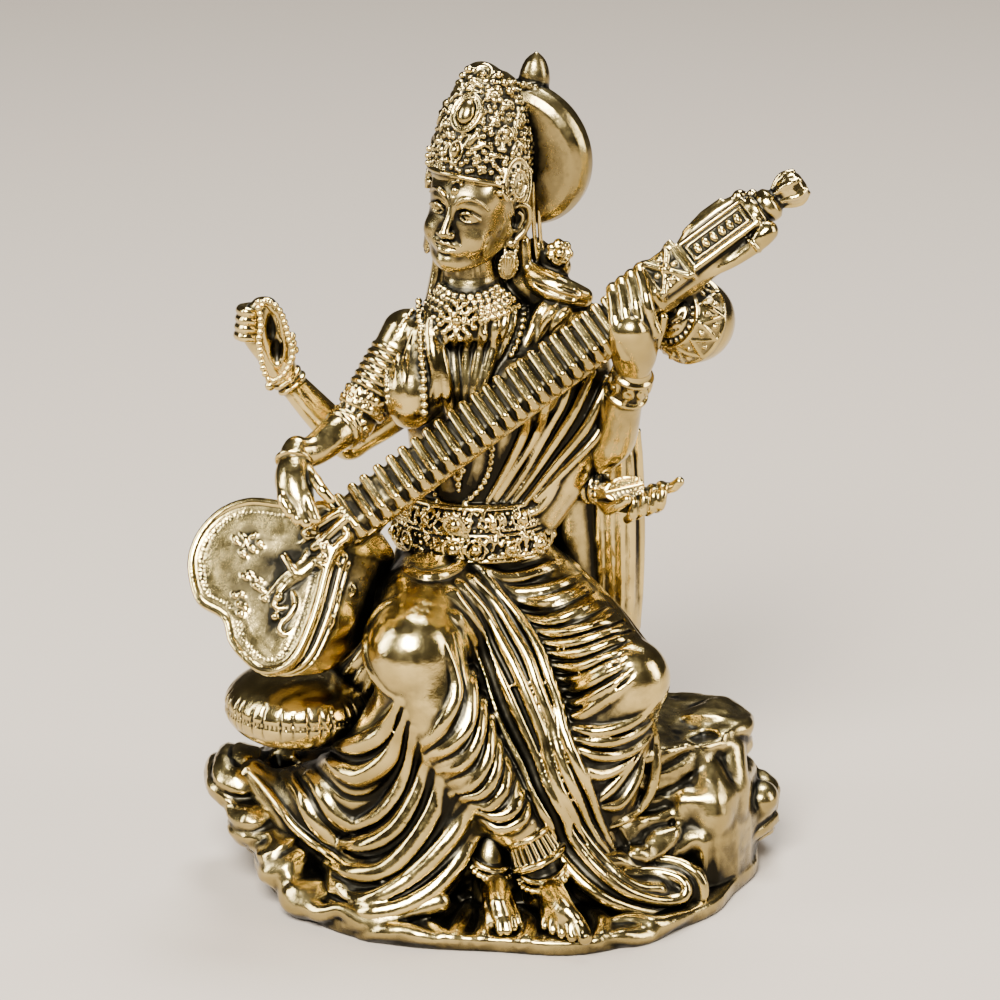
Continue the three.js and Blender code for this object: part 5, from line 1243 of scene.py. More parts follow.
# The hand on the neck of the lute: its palm, and a finger in the lute's own frame with the next one's shift
FRET_PALM = [[*WRIST_FRET, 1.65], [16.8, -5.0, 65.6, 2.0], [16.7, -6.2, 67.8, 2.3], [16.4, -7.0, 69.8, 2.2]]
FRET_SIDES = [[[17.3, -4.6, 64.8, 1.5], [18.0, -5.2, 66.6, 1.5], [17.6, -6.4, 69.4, 1.6]],
              [[15.8, -4.6, 65.2, 1.4], [15.2, -6.2, 67.8, 1.5], [15.4, -7.0, 69.6, 1.6]]]
FRET_FINGER = np.array([[56.4, -4.3, -1.2], [56.8, -3.2, -0.2], [57.6, -1.8, 1.0], [58.8, 0.5, 1.15],
                        [59.7, 2.6, 0.7], [60.1, 3.3, -0.6]])
FRET_SHIFTS = [1.5, 1.5, 1.5, 1.4, 1.3, 1.3]
FRET_THUMB = [[18.0, -4.4, 65.0], [19.0, -5.0, 67.2], [19.7, -5.4, 69.2], [20.1, -5.6, 70.9]]
# The fist with the prayer beads: its palm, with each place's share of the drift sideways
BEADS_PALM = [((284, 374), 3.2, 0.3), ((274, 354), 3.0, 0.7), ((263, 335), 2.9, 1.0),
              ((260, 318), 2.7, 1.0), ((264, 306), 2.5, 0.7)]
BEADS_THUMB = [(284, 356, 1.8), (284, 336, 0.9), (279, 318, 0.2), (270, 305, 0.2)]
BEADS_CREASE = [(277, 350, 1.4), (277, 334, 0.9), (272, 316, 0.6)]
BEADS_HOLLOWS = [((272, 330), 2.4), ((276, 352), 2.2)]
BEAD_LOOP = [(258, 302), (260, 313), (261, 326), (259, 340), (261, 356), (264, 371), (271, 381), (281, 377),
             (289, 366), (293, 353), (289, 339), (286, 327), (281, 313), (272, 303)]
LOOP_TASSEL = (270, 386)
LOOP_KNOBS = [(292, 336), (295, 350), (291, 360), (293, 343)]
# The open hand with its leaf-shaped jewel
OPEN_TIPS = [(632, 510), (642, 506), (652, 503), (661, 500)]
OPEN_THUMB = [(654, 496, -0.4), (664, 489, -1.2), (673, 487, -1.6), (679, 482, -1.9)]
OPEN_LITTLE = [(602, 503, 0.6), (608, 509, -2.2), (618, 505, -3.4), (626, 500, -3.8)]
LEAF_PLACE = (624, 489)
LEAF_LONG = 2.3
LEAF_WIDE = 1.35


def hand_play():
    """Her front right hand, which plucks the strings over the bowl."""
    clay = Clay("hand_play", (-29, -20, 43), (-15, -6, 58), 0.13)
    clay.limb(PLAY_BACK, 0.6)
    for knuckle, joint, tip, size in PLAY_FINGERS:
        finger(clay, [seen(knuckle, y=-13.0), seen(joint, y=-14.8), seen(tip, y=-15.6)], size)
    finger(clay, placed(PLAY_THUMB), 0.76)
    low, high, bangle = placed([*PLAY_WRIST, PLAY_BANGLE])
    clay.ring(bangle, high - low, 1.95, 0.32, 0.1)
    return clay


def hand_fret():
    """Her front left hand, which holds the lute's neck from below with its fingers over the strings."""
    clay = Clay("hand_fret", (10, -15, 61), (23, -1, 79), 0.14)
    clay.limb(FRET_PALM, 0.6)
    clay.limbs(FRET_SIDES, 0.8)
    frame_lute = lute_frame()
    for i in range(4):
        grip = FRET_FINGER + np.outer(FRET_SHIFTS, [i, 0, 0])
        finger(clay, grip @ frame_lute[:3, :3].T + frame_lute[:3, 3], 0.78)
    finger(clay, FRET_THUMB, 0.72)
    return clay


def hand_beads():
    """Her raised rear right hand: a fist seen from its thumb's side, with a loop of prayer beads."""
    clay = Clay("hand_beads", (-34, -5, 58), (-20, 9, 74), 0.12)
    swell = np.interp(np.linspace(0, 1, 16), [0, 0.4, 0.7, 1], [1.4, 1.6, 1.7, 1.0])
    for drift in (-0.8, 0, 0.8):
        palm = [seen(pixel, y=depth) + [drift * share, 0, 0] for pixel, depth, share in BEADS_PALM]
        clay.tube(smooth(palm, 16), swell, 0.6)
    for i in range(4):
        row, lean = 310 + 8.4 * i, 1.2 * i
        joints = [(258 - lean, row - 3, 4.0), (246 - lean, row - 2, 3.0), (241 - 0.6 * lean, row, 1.4),
                  (246 - 0.5 * lean, row + 2, 0.1), (253, row + 3, 0.3)]
        finger(clay, placed(joints), 0.68)
    finger(clay, placed(BEADS_THUMB), 0.62)
    finger(clay, placed(BEADS_CREASE), 0.45)
    for pixel, tall in BEADS_HOLLOWS:
        clay.ball(seen(pixel, y=0.4), [0.9, 1.7, tall], 0.3, cut=True)
    loop = smooth([seen(pixel, y=-0.5) for pixel in BEAD_LOOP], 31, closed=True)
    clay.beads(loop, 0.42, 0.05)
    clay.tube(loop, 0.22, 0.05)
    clay.ball(seen(LOOP_TASSEL, y=-0.3), 0.6, 0.1)
    clay.beads([seen(pixel, y=0.4) for pixel in LOOP_KNOBS], 0.5)
    return clay


def hand_open():
    """Her rear left hand, palm up, with a leaf-shaped jewel in it."""
    clay = Clay("hand_open", (10, -8, 42), (26, 5, 53), 0.13)
    for offset in (-1.0, 0, 1.0):
        palm = [[13.8, 1.2 + offset * 0.4, 47.6], [15.6, 0.0 + offset, 47.0], [17.8, -1.2 + offset, 47.1]]
        clay.tube(smooth(palm, 10), np.linspace(1.3, 1.15, 10), 0.8)
    for i, (x, y) in enumerate(OPEN_TIPS):
        finger(clay, placed([(x - 6, y - 6, 0.8), (x, y - 15, -0.8), (x + 2, y - 9, -2.8), (x, y + 5, -3.2),
                             (x - 4, y + 9, -2.2)]), 0.66 - 0.02 * i)
    finger(clay, placed(OPEN_THUMB), 0.72)
    finger(clay, placed(OPEN_LITTLE), 0.74)
    # The jewel: a leaf with a midrib, veins and a rim
    middle = seen(LEAF_PLACE, y=-2.0)
    leaf = turning((0, 1, 0), -14) @ turning((1, 0, 0), 58)
    clay.ball(middle, [2.35, LEAF_WIDE, 0.5], 0.1, spin=leaf)
    clay.tube([leaf @ [-LEAF_LONG, 0, 0.42] + middle, leaf @ [LEAF_LONG, 0, 0.42] + middle], 0.2, 0.08)
    for k in range(-3, 4):
        for side in (-1, 1):
            root = leaf @ [0.55 * k, 0, 0.46] + middle
            tip = leaf @ [0.55 * k + 0.5, side * 0.95, 0.3] + middle
            clay.tube([root, tip], 0.13, 0.05)
    rim = oval(leaf @ [0, 0, 0.1] + middle, leaf[:, 0] * LEAF_LONG, leaf[:, 1] * LEAF_WIDE, 36)
    clay.tube(rim, 0.2, 0.06)
    return clay


# Head

HEAD_TURN = -28
HEAD_ROLL = 10
HEAD = [-2.3, 1.3, 81.6]
CROWN_TILT = -13
CROWN_ROLL = 1


def head_frame():
    return frame_at(HEAD, turning((0, 0, 1), HEAD_TURN) @ turning((0, 1, 0), HEAD_ROLL))


# Balls as centre, radii and fillet: those in the middle, and those of one side, mirrored for the other
SKULL = [([0, 0.9, 2.0], [5.0, 5.8, 5.3], 0), ([0, -0.9, -0.8], [4.25, 4.2, 5.0], 1.2),
         ([0, -3.1, -4.6], [1.8, 1.5, 1.2], 1.2), ([0, -2.7, 2.6], [3.5, 2.6, 2.2], 1.2)]
CHEEK = [2.3, -3.2, -1.9], [1.6, 1.35, 1.6], 1.2
TEMPLE = [3.3, -1.0, 3.6], [1.3, 2.0, 2.6], 1.0
NAPE = [3.9, 2.5, 0], [0.9, 2.0, 2.4], 0.8
EYE_SOCKET = [2.1, -5.55, 1.35], [1.6, 1.0, 0.85], 0.7
NOSTRIL_WING = [0.74, -5.6, -1.15], [0.5, 0.58, 0.45], 0.22
NOSTRIL = [0.38, -5.95, -1.58], [0.2, 0.28, 0.16], 0.08
THROAT = [[-0.2, 1.0, -3.0, 2.7], [0.1, 0.6, -8.4, 2.9]]
JAW = [[3.7, 1.6, -1.6, 1.4], [2.7, -1.3, -4.0, 1.1], [1.4, -3.1, -4.9, 0.9], [0, -3.6, -5.1, 0.8]]
NOSE_BRIDGE = [[0, -4.75, 2.7], [0, -5.3, 1.0], [0, -6.0, -0.6]]
MOUTH_CREASE = [[1.25, -5.2, -1.3], [1.75, -4.7, -2.3]]
UPPER_LIP = [[-1.5, -4.7, -2.72], [-0.8, -5.25, -2.42], [-0.25, -5.42, -2.26], [0, -5.4, -2.36],
             [0.25, -5.42, -2.26], [0.8, -5.25, -2.42], [1.5, -4.7, -2.72]]
LOWER_LIP = [[-1.3, -4.72, -2.95], [-0.6, -5.2, -3.22], [0, -5.3, -3.3], [0.6, -5.2, -3.22],
             [1.3, -4.72, -2.95]]
PARTING = [[-1.6, -4.7, -2.8], [-0.7, -5.5, -2.8], [0, -5.68, -2.76], [0.7, -5.5, -2.8],
           [1.6, -4.7, -2.8]]


def mirrored_ball(clay, ball, mirror, cut=False):
    centre, radii, soft = ball
    clay.ball(np.array(centre) * mirror, radii, soft, cut=cut)


def head():
    """The face looks along -Y of its own frame, with +X to her left."""
    clay = Clay("head", (-7, -7.6, -12.6), (8, 7.5, 8), 0.105, head_frame())
    for centre, radii, soft in SKULL:
        clay.ball(centre, radii, soft)
    clay.limb(THROAT, 0.5)
    mirrors = [np.array([side, 1, 1]) for side in (-1, 1)]
    for mirror in mirrors:
        clay.limb([[*place * mirror, radius] for *place, radius in JAW], 1.2)
        mirrored_ball(clay, CHEEK, mirror)
        mirrored_ball(clay, EYE_SOCKET, mirror, cut=True)
        mirrored_ball(clay, TEMPLE, mirror)
        mirrored_ball(clay, NAPE, mirror)
    # Nose
    clay.tube(NOSE_BRIDGE, [0.5, 0.44, 0.54], 0.4)
    clay.ball([0, -6.2, -0.98], [0.7, 0.66, 0.56], 0.3)
    for mirror in mirrors:
        mirrored_ball(clay, NOSTRIL_WING, mirror)
        mirrored_ball(clay, NOSTRIL, mirror, cut=True)
        clay.tube(np.array(MOUTH_CREASE) * mirror, 0.16, 0.35, cut=True)
    # Lips, over a soft swelling, and the chin
    clay.ball([0, -4.4, -2.85], [1.95, 0.95, 1.2], 0.7)
    arch = np.sin(np.linspace(0.1, math.pi - 0.1, 22)) ** 0.7
    clay.tube(smooth(UPPER_LIP, 22), 0.08 + 0.22 * arch, 0.12)
    clay.tube(smooth(LOWER_LIP, 22), 0.08 + 0.28 * arch, 0.12)
    clay.tube(smooth(PARTING, 20), 0.12, 0.08, cut=True)
    clay.tube([[0, -5.5, -1.7], [0, -5.45, -2.1]], 0.16, 0.15, cut=True)
    clay.ball([0, -5.25, -3.95], [1.1, 0.4, 0.22], 0.3, cut=True)
    clay.ball([0, -4.3, -4.75], [1.15, 0.95, 0.8], 0.6)
    for side in (-1, 1):
        eye(clay, side)
        ear(clay, side)
    forehead(clay)
    return clay


LID_TOP = [[0.95, -4.7, 1.15], [1.4, -5.0, 1.62], [2.05, -5.0, 1.86], [2.7, -4.66, 1.66],
           [3.35, -3.95, 1.15]]
LID_LOW = [[0.95, -4.7, 1.13], [1.45, -4.88, 0.86], [2.05, -4.88, 0.76], [2.65, -4.55, 0.84],
           [3.3, -3.95, 1.1]]
BROW = [[0.45, -5.2, 2.3], [1.1, -5.3, 3.2], [2.1, -5.02, 3.65], [3.1, -4.3, 3.3], [3.95, -3.4, 2.35]]


def eye(clay, side):
    """An almond eye with rimmed lids and an incised iris, under an arched brow."""
    clay.ball([2.05 * side, -3.95, 1.3], [1.2, 0.94, 0.66], 0.1)
    mirror = np.array([side, 1, 1])
    clay.tube(smooth(LID_TOP, 20) * mirror, 0.2, 0.06)
    clay.tube(smooth(LID_LOW, 20) * mirror, 0.14, 0.06)
    clay.tube(smooth(np.array(LID_TOP) + [0, 0.02, 0.4], 20) * mirror, 0.12, 0.1, cut=True)
    run = smooth(BROW, 24) * mirror
    clay.tube(run, np.interp(np.linspace(0, 1, 24), [0, 0.3, 1], [0.24, 0.36, 0.12]), 0.12)
    clay.ring([2.05 * side, -4.92, 1.32], (0.12 * side, -1, 0), 0.4, 0.09, 0.04, cut=True)
    clay.ball([2.05 * side, -4.98, 1.32], 0.16, 0.04, cut=True)


EAR_OUT = [0.75, -0.66, 0.05]
EAR_PLACE = [5.15, 2.0, 0.0]
EAR_RIM = [[-1.35, 0.1], [-1.1, 1.5], [-0.1, 2.3], [1.1, 2.0], [1.55, 0.8], [1.2, -0.7], [0.35, -1.9],
           [-0.4, -2.6], [-0.9, -2.3]]


def ear(clay, side):
    """A long ear that stands out a little, with a rolled rim, and a ribbed leaf-shaped earring."""
    out = np.array(EAR_OUT) / np.linalg.norm(EAR_OUT)
    back = np.cross((0, 0, 1), out)
    back /= np.linalg.norm(back)
    axes = np.stack([back, np.cross(out, back), out], 1)
    mirror = np.array([side, 1, 1])

    def on_ear(points):
        return (np.array(points) @ axes.T + EAR_PLACE) * mirror

    spin = axes * mirror[:, None]
    clay.ball(on_ear([0.1, 0.1, -0.6]), [1.5, 2.4, 0.8], 0.2, spin=spin)
    clay.ball(on_ear([0.15, 0.5, 0.3]), [1.0, 1.5, 0.6], 0.1, spin=spin, cut=True)
    rim = smooth([[*place, 0.2] for place in EAR_RIM], 34)
    clay.tube(on_ear(rim), 0.36, 0.06)
    clay.tube(on_ear(smooth([[0.1, 1.3, 0.1], [0.7, 0.7, 0.1], [0.4, -0.5, 0.1]], 12)), 0.22, 0.08)
    clay.ball(on_ear([-0.35, 0.1, 0.0]), [0.45, 0.9, 0.6], 0.1, spin=spin, cut=True)
    clay.ball(on_ear([-0.35, -2.5, 0.2]), 0.62, 0.12)
    # The earring: beads round a stud and a ribbed leaf
    clay.beads(on_ear(oval([-0.35, -3.0, 0.25], [0, 0.8, 0], [0.8, 0, 0], 10)[:-1]), 0.27)
    clay.ball(on_ear([-0.45, -5.1, 0.2]), [1.05, 1.6, 0.7], 0.1, spin=spin)
    for i in range(4):
        clay.tube(on_ear([[-1.05 + 0.4 * i, -4.1, 0.75], [-0.75 + 0.2 * i, -6.2, 0.7]]), 0.19, 0.05)
    clay.beads(on_ear(oval([-0.45, -5.1, 0.45], [0, 1.6, 0], [1.1, 0, 0], 21)[:-1]), 0.24)


def forehead(clay):
    """The mark between the brows, the jewels over it and the hair at the temples."""
    clay.ball([0, -4.95, 4.0], [0.5, 0.42, 0.5], 0.08)
    for x, z, size in ((-0.5, 4.85, 0.26), (0.05, 5.15, 0.3), (0.6, 4.85, 0.26), (0, 3.25, 0.2)):
        clay.ball([x, -4.95 + 0.35 * (z - 4.0), z], size, 0.06)
    for side in (-1, 1):
        for i in range(5):
            lock = [[(3.6 + 0.2 * i) * side, -2.7 + 0.5 * i, 4.2],
                    [(4.3 + 0.1 * i) * side, -1.6 + 0.5 * i, 2.6],
                    [(4.6 + 0.08 * i) * side, -0.5 + 0.35 * i, 0.6 + 0.2 * i]]
            clay.tube(smooth(lock, 14), 0.3, 0.1)
        for i in range(3):
            lock = [[4.9 * side, 3.4 + 0.6 * i, 3.0], [5.2 * side, 3.7 + 0.5 * i, -1],
                    [4.7 * side, 3.2 + 0.5 * i, -5.0], [4.5 * side, 2.8 + 0.5 * i, -9.0],
                    [3.6 * side, 1.6 + 0.4 * i, -12.2]]
            clay.tube(smooth(lock, 26), 0.36, 0.1)


# Crown and bun

CROWN = [[5.0, 2.6], [5.6, 3.0], [5.75, 3.8], [5.7, 5.4], [5.6, 7.2], [5.45, 9.0], [5.1, 10.6],
         [4.6, 12.0], [4.05, 13.3], [3.4, 14.6], [2.6, 15.6], [1.6, 16.2], [0.2, 16.5]]
CROWN_WIDE = (1.0, 1.08)
# Motifs on the side that the photograph shows, in its pixels. A spiral has its middle, size, start,
# sweep and radius, and a leaf its ends and radius.
CROWN_SPIRALS = [
    (505, 133, 9, 160, -430, 0.36), (519, 122, 6, 20, 400, 0.3), (492, 96, 7, 200, 420, 0.32),
    (507, 106, 6, 30, -400, 0.3), (484, 75, 11, 200, 430, 0.5), (497, 121, 5, 90, 380, 0.26),
    (449, 104, 5, 60, 380, 0.28), (440, 141, 5, 200, -380, 0.28), (520, 146, 6, 200, 400, 0.3),
    (470, 90, 5, 100, -380, 0.28),
]
CROWN_LEAVES = [
    (464, 147, 480, 131, 0.55), (441, 132, 445, 116, 0.55), (450, 137, 447, 128, 0.42),
    (450, 145, 444, 151, 0.35), (471, 150, 486, 144, 0.4), (433, 144, 437, 133, 0.4),
    (480, 142, 492, 148, 0.38), (459, 91, 464, 84, 0.4), (512, 150, 524, 138, 0.4),
    (455, 98, 462, 91, 0.32),
]
CROWN_TOP_KNOBS = [(465, 76), (461, 84), (470, 70), (498, 76), (503, 84), (508, 92), (474, 82), (497, 90)]
CROWN_BEAD_ROWS = [
    [(467, 161), (478, 165), (489, 171), (497, 178)],
    [(469, 154), (481, 158), (492, 164), (500, 171)],
    [(484, 152), (495, 156), (503, 163)],
    [(430, 163), (439, 161), (448, 160)],
    [(430, 156), (438, 154), (447, 153)],
    [(431, 149), (436, 147)],
    [(503, 150), (505, 158), (503, 172), (499, 184)],
    [(511, 154), (510, 162), (507, 168)],
    [(478, 122), (483, 129), (491, 134)], [(474, 99), (482, 104), (484, 113)],
]


def crown_frame():
    seat = frame_at(HEAD, turning((0, 0, 1), HEAD_TURN)) @ np.array([0.4, 0.9, 0.5, 1])
    tilt = turning((0, 0, 1), HEAD_TURN) @ turning((1, 0, 0), CROWN_TILT) @ turning((0, 1, 0), CROWN_ROLL)
    return frame_at(seat[:3], tilt)


def on_crown(angle, height, lift=0.0):
    """A place on the crown's skin: degrees from the front towards her left, and the height."""
    profile = np.array(CROWN)
    radius = np.interp(height, profile[:, 1], profile[:, 0]) + lift
    a = math.radians(angle)
    return np.array([radius * math.sin(a) * CROWN_WIDE[0], -radius * math.cos(a) * CROWN_WIDE[1], height])


def spiral(x, y, size, start, sweep):
    """Places of a spiral that closes in on its centre."""
    turns = np.linspace(0, 1, 22)
    radius = size * (1 - 0.8 * turns)
    phase = np.radians(start + sweep * turns)
    return np.stack([x + radius * np.cos(phase), y + radius * np.sin(phase)], 1)


def gem(clay, pixel, radii, rings):
    """An oval stone in one or two raised settings, at a pixel of the photograph."""
    place, outward = spot(clay, pixel)
    side = np.cross((0, 0, 1), outward)
    side /= np.linalg.norm(side)
    up = np.cross(outward, side)
    axes = np.stack([side, up, outward], 1)
    clay.ball(place + outward * 0.25, [*radii, 0.75], 0.06, spin=axes)
    for grow, thick in rings:
        loop = oval(place + outward * 0.15, side * (radii[0] + grow), up * (radii[1] + grow), 40)
        clay.tube(loop, thick, 0.06)


# Scrolls on the sides that the photograph doesn't show, as degrees, height, size and start
CROWN_SCROLLS = [
    (-52, 7.0, 1.1, 200), (-60, 10.6, 1.1, 20), (-88, 8.6, 1.2, 200), (-98, 12.4, 1.0, 20),
    (-122, 7.2, 1.1, 200), (-132, 10.6, 1.1, 20), (-164, 8.0, 1.2, 200), (-174, 12.2, 1.0, 20),
    (154, 7.0, 1.1, 200), (146, 10.8, 1.1, 20), (116, 8.8, 1.2, 200), (108, 12.8, 1.0, 20),
    (-40, 13.4, 0.9, 20), (-140, 14.0, 0.9, 200), (128, 13.6, 0.9, 200),
]
# How many degrees of the crown a scroll takes for each mm of its width
SCROLL_DEGREES = 10.5
BIG_STONE = (467, 113)
SMALL_STONE = (457, 151)


def crown():
    clay = Clay("crown", (-8, -8.6, 1.5), (8, 8.6, 20), 0.12, crown_frame())
    clay.turned(CROWN, (0, 0, 0), wide=CROWN_WIDE, soft=0)
    clay.ball([-0.9, -0.9, 15.6], [2.1, 1.8, 1.5], 0.5)
    clay.settle()
    around = np.linspace(-180, 180, 90)
    clay.tube([on_crown(a, 3.75 - 0.45 * math.sin(math.radians(a)), 0.2) for a in around], 0.33, 0.08)
    # The stones over the brow
    gem(clay, BIG_STONE, (1.05, 1.5), ((0.32, 0.2), (0.78, 0.24)))
    gem(clay, SMALL_STONE, (0.5, 0.85), ((0.28, 0.17),))
    for x, y, size, start, sweep, thick in CROWN_SPIRALS:
        clay.folds([spiral(x, y, size, start, sweep)], thick, 0.4, 0.08, step=0.25, ends=0.8)
        knob(clay, (x, y), 0.36, 0.25, 0.06)
    for x0, y0, x1, y1, size in CROWN_LEAVES:
        clay.folds([[(x0, y0), (x1, y1)]], size, 0.45, 0.08, step=0.25, bend=[0.4, 1, 0.9, 0.3])
    for row in CROWN_BEAD_ROWS:
        string(clay, row, 0.38, 0.25)
    for pixel in CROWN_TOP_KNOBS:
        knob(clay, pixel, [0.62, 0.5, 0.5], 0.15, 0.1)
    # Scrolls and beads where the photograph shows nothing
    for angle, height, size, start in CROWN_SCROLLS:
        for turn in (0, 180):
            curl = spiral(0, 0, size, start + turn, 400) * [SCROLL_DEGREES, 1] + [angle, height]
            clay.tube([on_crown(a, h, 0.15) for a, h in smooth(curl, 36)], 0.3, 0.08)
        clay.ball(on_crown(angle, height, 0.2), 0.4, 0.06)
    # Small beads wherever the skin is still bare
    random = np.random.default_rng(12)
    for height in np.arange(4.5, 15.0, 0.7):
        step = 40 / np.interp(height, [6, 15], [5.6, 3.6])
        for angle in np.arange(-180, 180, step):
            a, h = angle + random.uniform(-2, 2), height + random.uniform(-0.15, 0.15)
            size = random.uniform(0.27, 0.39)
            if clay.sample(clay.field, on_crown(a, h, 0.28)[None])[0] > 0.08:
                clay.ball(on_crown(a, h, 0.05), size, 0.08)
    side_discs(clay)
    return clay


# Half thickness, half width and half height of a leaf over the ear
DISC = [0.85, 2.15, 3.2]


def side_discs(clay):
    """The openwork leaves over the ears, with two rims and holes round a boss."""
    thick, wide, tall = DISC
    for side in (-1, 1):
        centre = on_crown(72 if side > 0 else -88, 3.6, 0.15)
        out = np.array([0.93 * side, -0.34, 0.1])
        out /= np.linalg.norm(out)
        along = np.cross((0, 0, 1), out)
        along /= np.linalg.norm(along)
        up = np.cross(out, along)
        clay.ball(centre, DISC, 0.1, spin=np.stack([out, along, up], 1))
        for share, radius in ((0.93, 0.27), (0.5, 0.16)):
            level = centre + out * (thick * math.sqrt(1 - share**2) + 0.08)
            clay.tube(oval(level, along * wide * share, up * tall * share, 44), radius, 0.06)
        for hole in oval(centre + out * thick, along * 1.42, up * 2.1, 12)[:-1]:
            clay.ball(hole, 0.36, 0.06, cut=True)
        for hole in oval(centre + out, along * 0.55, up * 0.85, 6)[:-1]:
            clay.ball(hole, 0.25, 0.06, cut=True)
        clay.ball(centre + out * thick, 0.3, 0.06)
        clay.ball(centre + up * 3.3, 0.45, 0.1)
        for drop in (0.2, 1.2, 2.2):
            clay.ball(centre - along * side * 2.35 - up * drop + out * 0.1, 0.42, 0.08)


BUN = [[0.2, -2.3], [2.6, -2.3], [4.8, -2.1], [6.4, -1.9], [7.5, -1.7], [8.3, -1.1], [8.75, -0.1],
       [8.65, 1.1], [7.5, 2.9], [5.1, 4.6], [2.4, 5.4], [0.2, 5.6]]
FINIAL = [[5.0, 6.2, 93.8, 2.4], [5.1, 6.0, 95.2, 1.7], [5.2, 5.8, 96.6, 1.85], [5.3, 5.7, 98.0, 1.5],
          [5.4, 5.6, 99.1, 0.75], [5.4, 5.6, 99.75, 0.25]]
BUN_GROOVES = 14
# One groove over the bun, as radius, height and degrees, and the beads behind the finial
BUN_GROOVE = [(1.6, 5.5, 0), (4.6, 4.75, 30), (6.8, 3.4, 52), (7.6, 2.6, 58)]
BUN_BEADS = [[3.9, 2.9, 96.6], [4.6, 3.2, 96.4], [5.3, 3.6, 96.1], [6.0, 4.1, 95.8]]


def bun():
    """The coil of hair behind the crown: a smooth flattened ball with a rolled edge, and its finial."""
    place = frame_at(HEAD, turning((0, 0, 1), HEAD_TURN)) @ np.array([3.2, 6.8, 6.2, 1])
    tilt = turning((0, 0, 1), HEAD_TURN) @ turning((1, 0, 0), 8)
    clay = Clay("bun", (-10.5, -5, -10.5), (10.5, 8, 13.5), 0.2, frame_at(place[:3], tilt))
    clay.turned(BUN, (0, 0, 0), axis=(0, 1, 0), soft=0, rounding=0.15)
    for i in range(BUN_GROOVES):
        start = 360 * i / BUN_GROOVES
        groove = [round_axis((0, y, 0), (0, 1, 0), r, start + turn) for r, y, turn in BUN_GROOVE]
        clay.tube(smooth(groove, 20), 0.2, 0.35, cut=True)
    finial = smooth([[*clay.inward(station[:3]), station[3]] for station in FINIAL], 14)
    clay.tube(finial[:, :3], finial[:, 3], 0.3)
    lean = finial[1, :3] - finial[0, :3]
    clay.ring(finial[0, :3] + lean, lean, 1.95, 0.36, 0.12)
    clay.beads(hoop(finial[0, :3] - lean * 0.2, lean, 2.3, 12), 0.45, 0.1)
    clay.beads(clay.inward(BUN_BEADS), 0.48, 0.12)
    return clay


# Lute

LUTE_FOOT = [-32.3, -13.0, 37.4]
LUTE_AXIS = [0.804, 0.126, 0.581]
LUTE_FACE = [-0.29, -0.77, 0.568]
SOUNDBOARD = [[0.4, -1.4], [-1.0, 2.2], [0.3, 6.5], [2.4, 8.8], [5.0, 10.0], [8.0, 10.2], [11.0, 9.1],
              [13.5, 6.8], [16.0, 4.2], [18.5, 2.5], [18.5, -2.5], [16.5, -3.0], [14.3, -4.4],
              [10.1, -8.2], [5.7, -11.1], [2.7, -11.3], [0.6, -9.8], [-0.3, -6.8], [-0.4, -4.2]]
# Bowl: depth under the board, then the share, shift and drop of the board's outline there
BOWL = [[-14.2, 0.12, 5.6, -2.4], [-13.6, 0.32, 5.6, -2.4], [-12.6, 0.5, 5.3, -2.2],
        [-10.6, 0.74, 4.6, -1.8], [-7.4, 0.93, 3.2, -1.2], [-4.0, 0.99, 1.6, -0.4], [-1.0, 0.96, 0.3, 0]]
BOWL_MIDDLE = 8
FRETS = 24
FRET_FIRST = 19.6
FRET_LAST = 58.4
# Strokes on the board, which aren't letters, and the ornaments round its tailpiece, in pixels
BOARD_STROKES = [
    [(233, 536), (240, 545)], [(240, 533), (247, 542), (243, 548)], [(249, 538), (257, 534)],
    [(249, 546), (256, 552)], [(257, 541), (264, 548)], [(240, 550), (247, 558)],
    [(241, 574), (250, 580)], [(246, 571), (256, 578)], [(252, 583), (260, 589)],
    [(258, 587), (266, 593)], [(256, 578), (264, 584)], [(262, 596), (268, 601)],
    [(232, 593), (238, 598)], [(238, 592), (245, 597)], [(237, 602), (243, 608)],
    [(244, 603), (247, 612)], [(238, 612), (244, 616)],
]
BOARD_CURLS = [
    [(292, 590), (296, 602), (291, 614), (283, 622), (280, 630), (286, 635), (291, 630)],
    [(280, 596), (275, 603), (278, 609), (287, 607)],
    [(266, 598), (274, 588), (284, 577), (296, 567), (305, 556), (308, 547)],
    [(272, 606), (282, 590), (292, 580)],
    [(316, 545), (322, 541), (329, 544), (331, 551), (325, 556), (319, 553)],
    [(314, 556), (317, 563), (324, 566), (330, 560)],
    [(300, 543), (309, 538), (318, 536), (328, 531)],
]
BOARD_KNOBS = [(279, 598), (276, 617), (325, 549), (321, 558), (309, 537), (316, 531)]
TAIL_LEAF = [(276, 596), (288, 581), (302, 571), (313, 562)]


def lute_frame():
    """x along the neck, y across it, and z out of the soundboard."""
    along = np.array(LUTE_AXIS) / np.linalg.norm(LUTE_AXIS)
    face = np.array(LUTE_FACE) - along * np.dot(LUTE_FACE, along)
    face /= np.linalg.norm(face)
    return frame_at(LUTE_FOOT, np.stack([along, np.cross(face, along), face], 1))


def inset(outline, inside):
    """A closed outline moved in from its edge."""
    ahead = np.roll(outline, -1, axis=0) - np.roll(outline, 1, axis=0)
    ahead /= np.linalg.norm(ahead, axis=1, keepdims=True)
    side = np.stack([ahead[:, 1], -ahead[:, 0]], 1)
    return outline + side * inside


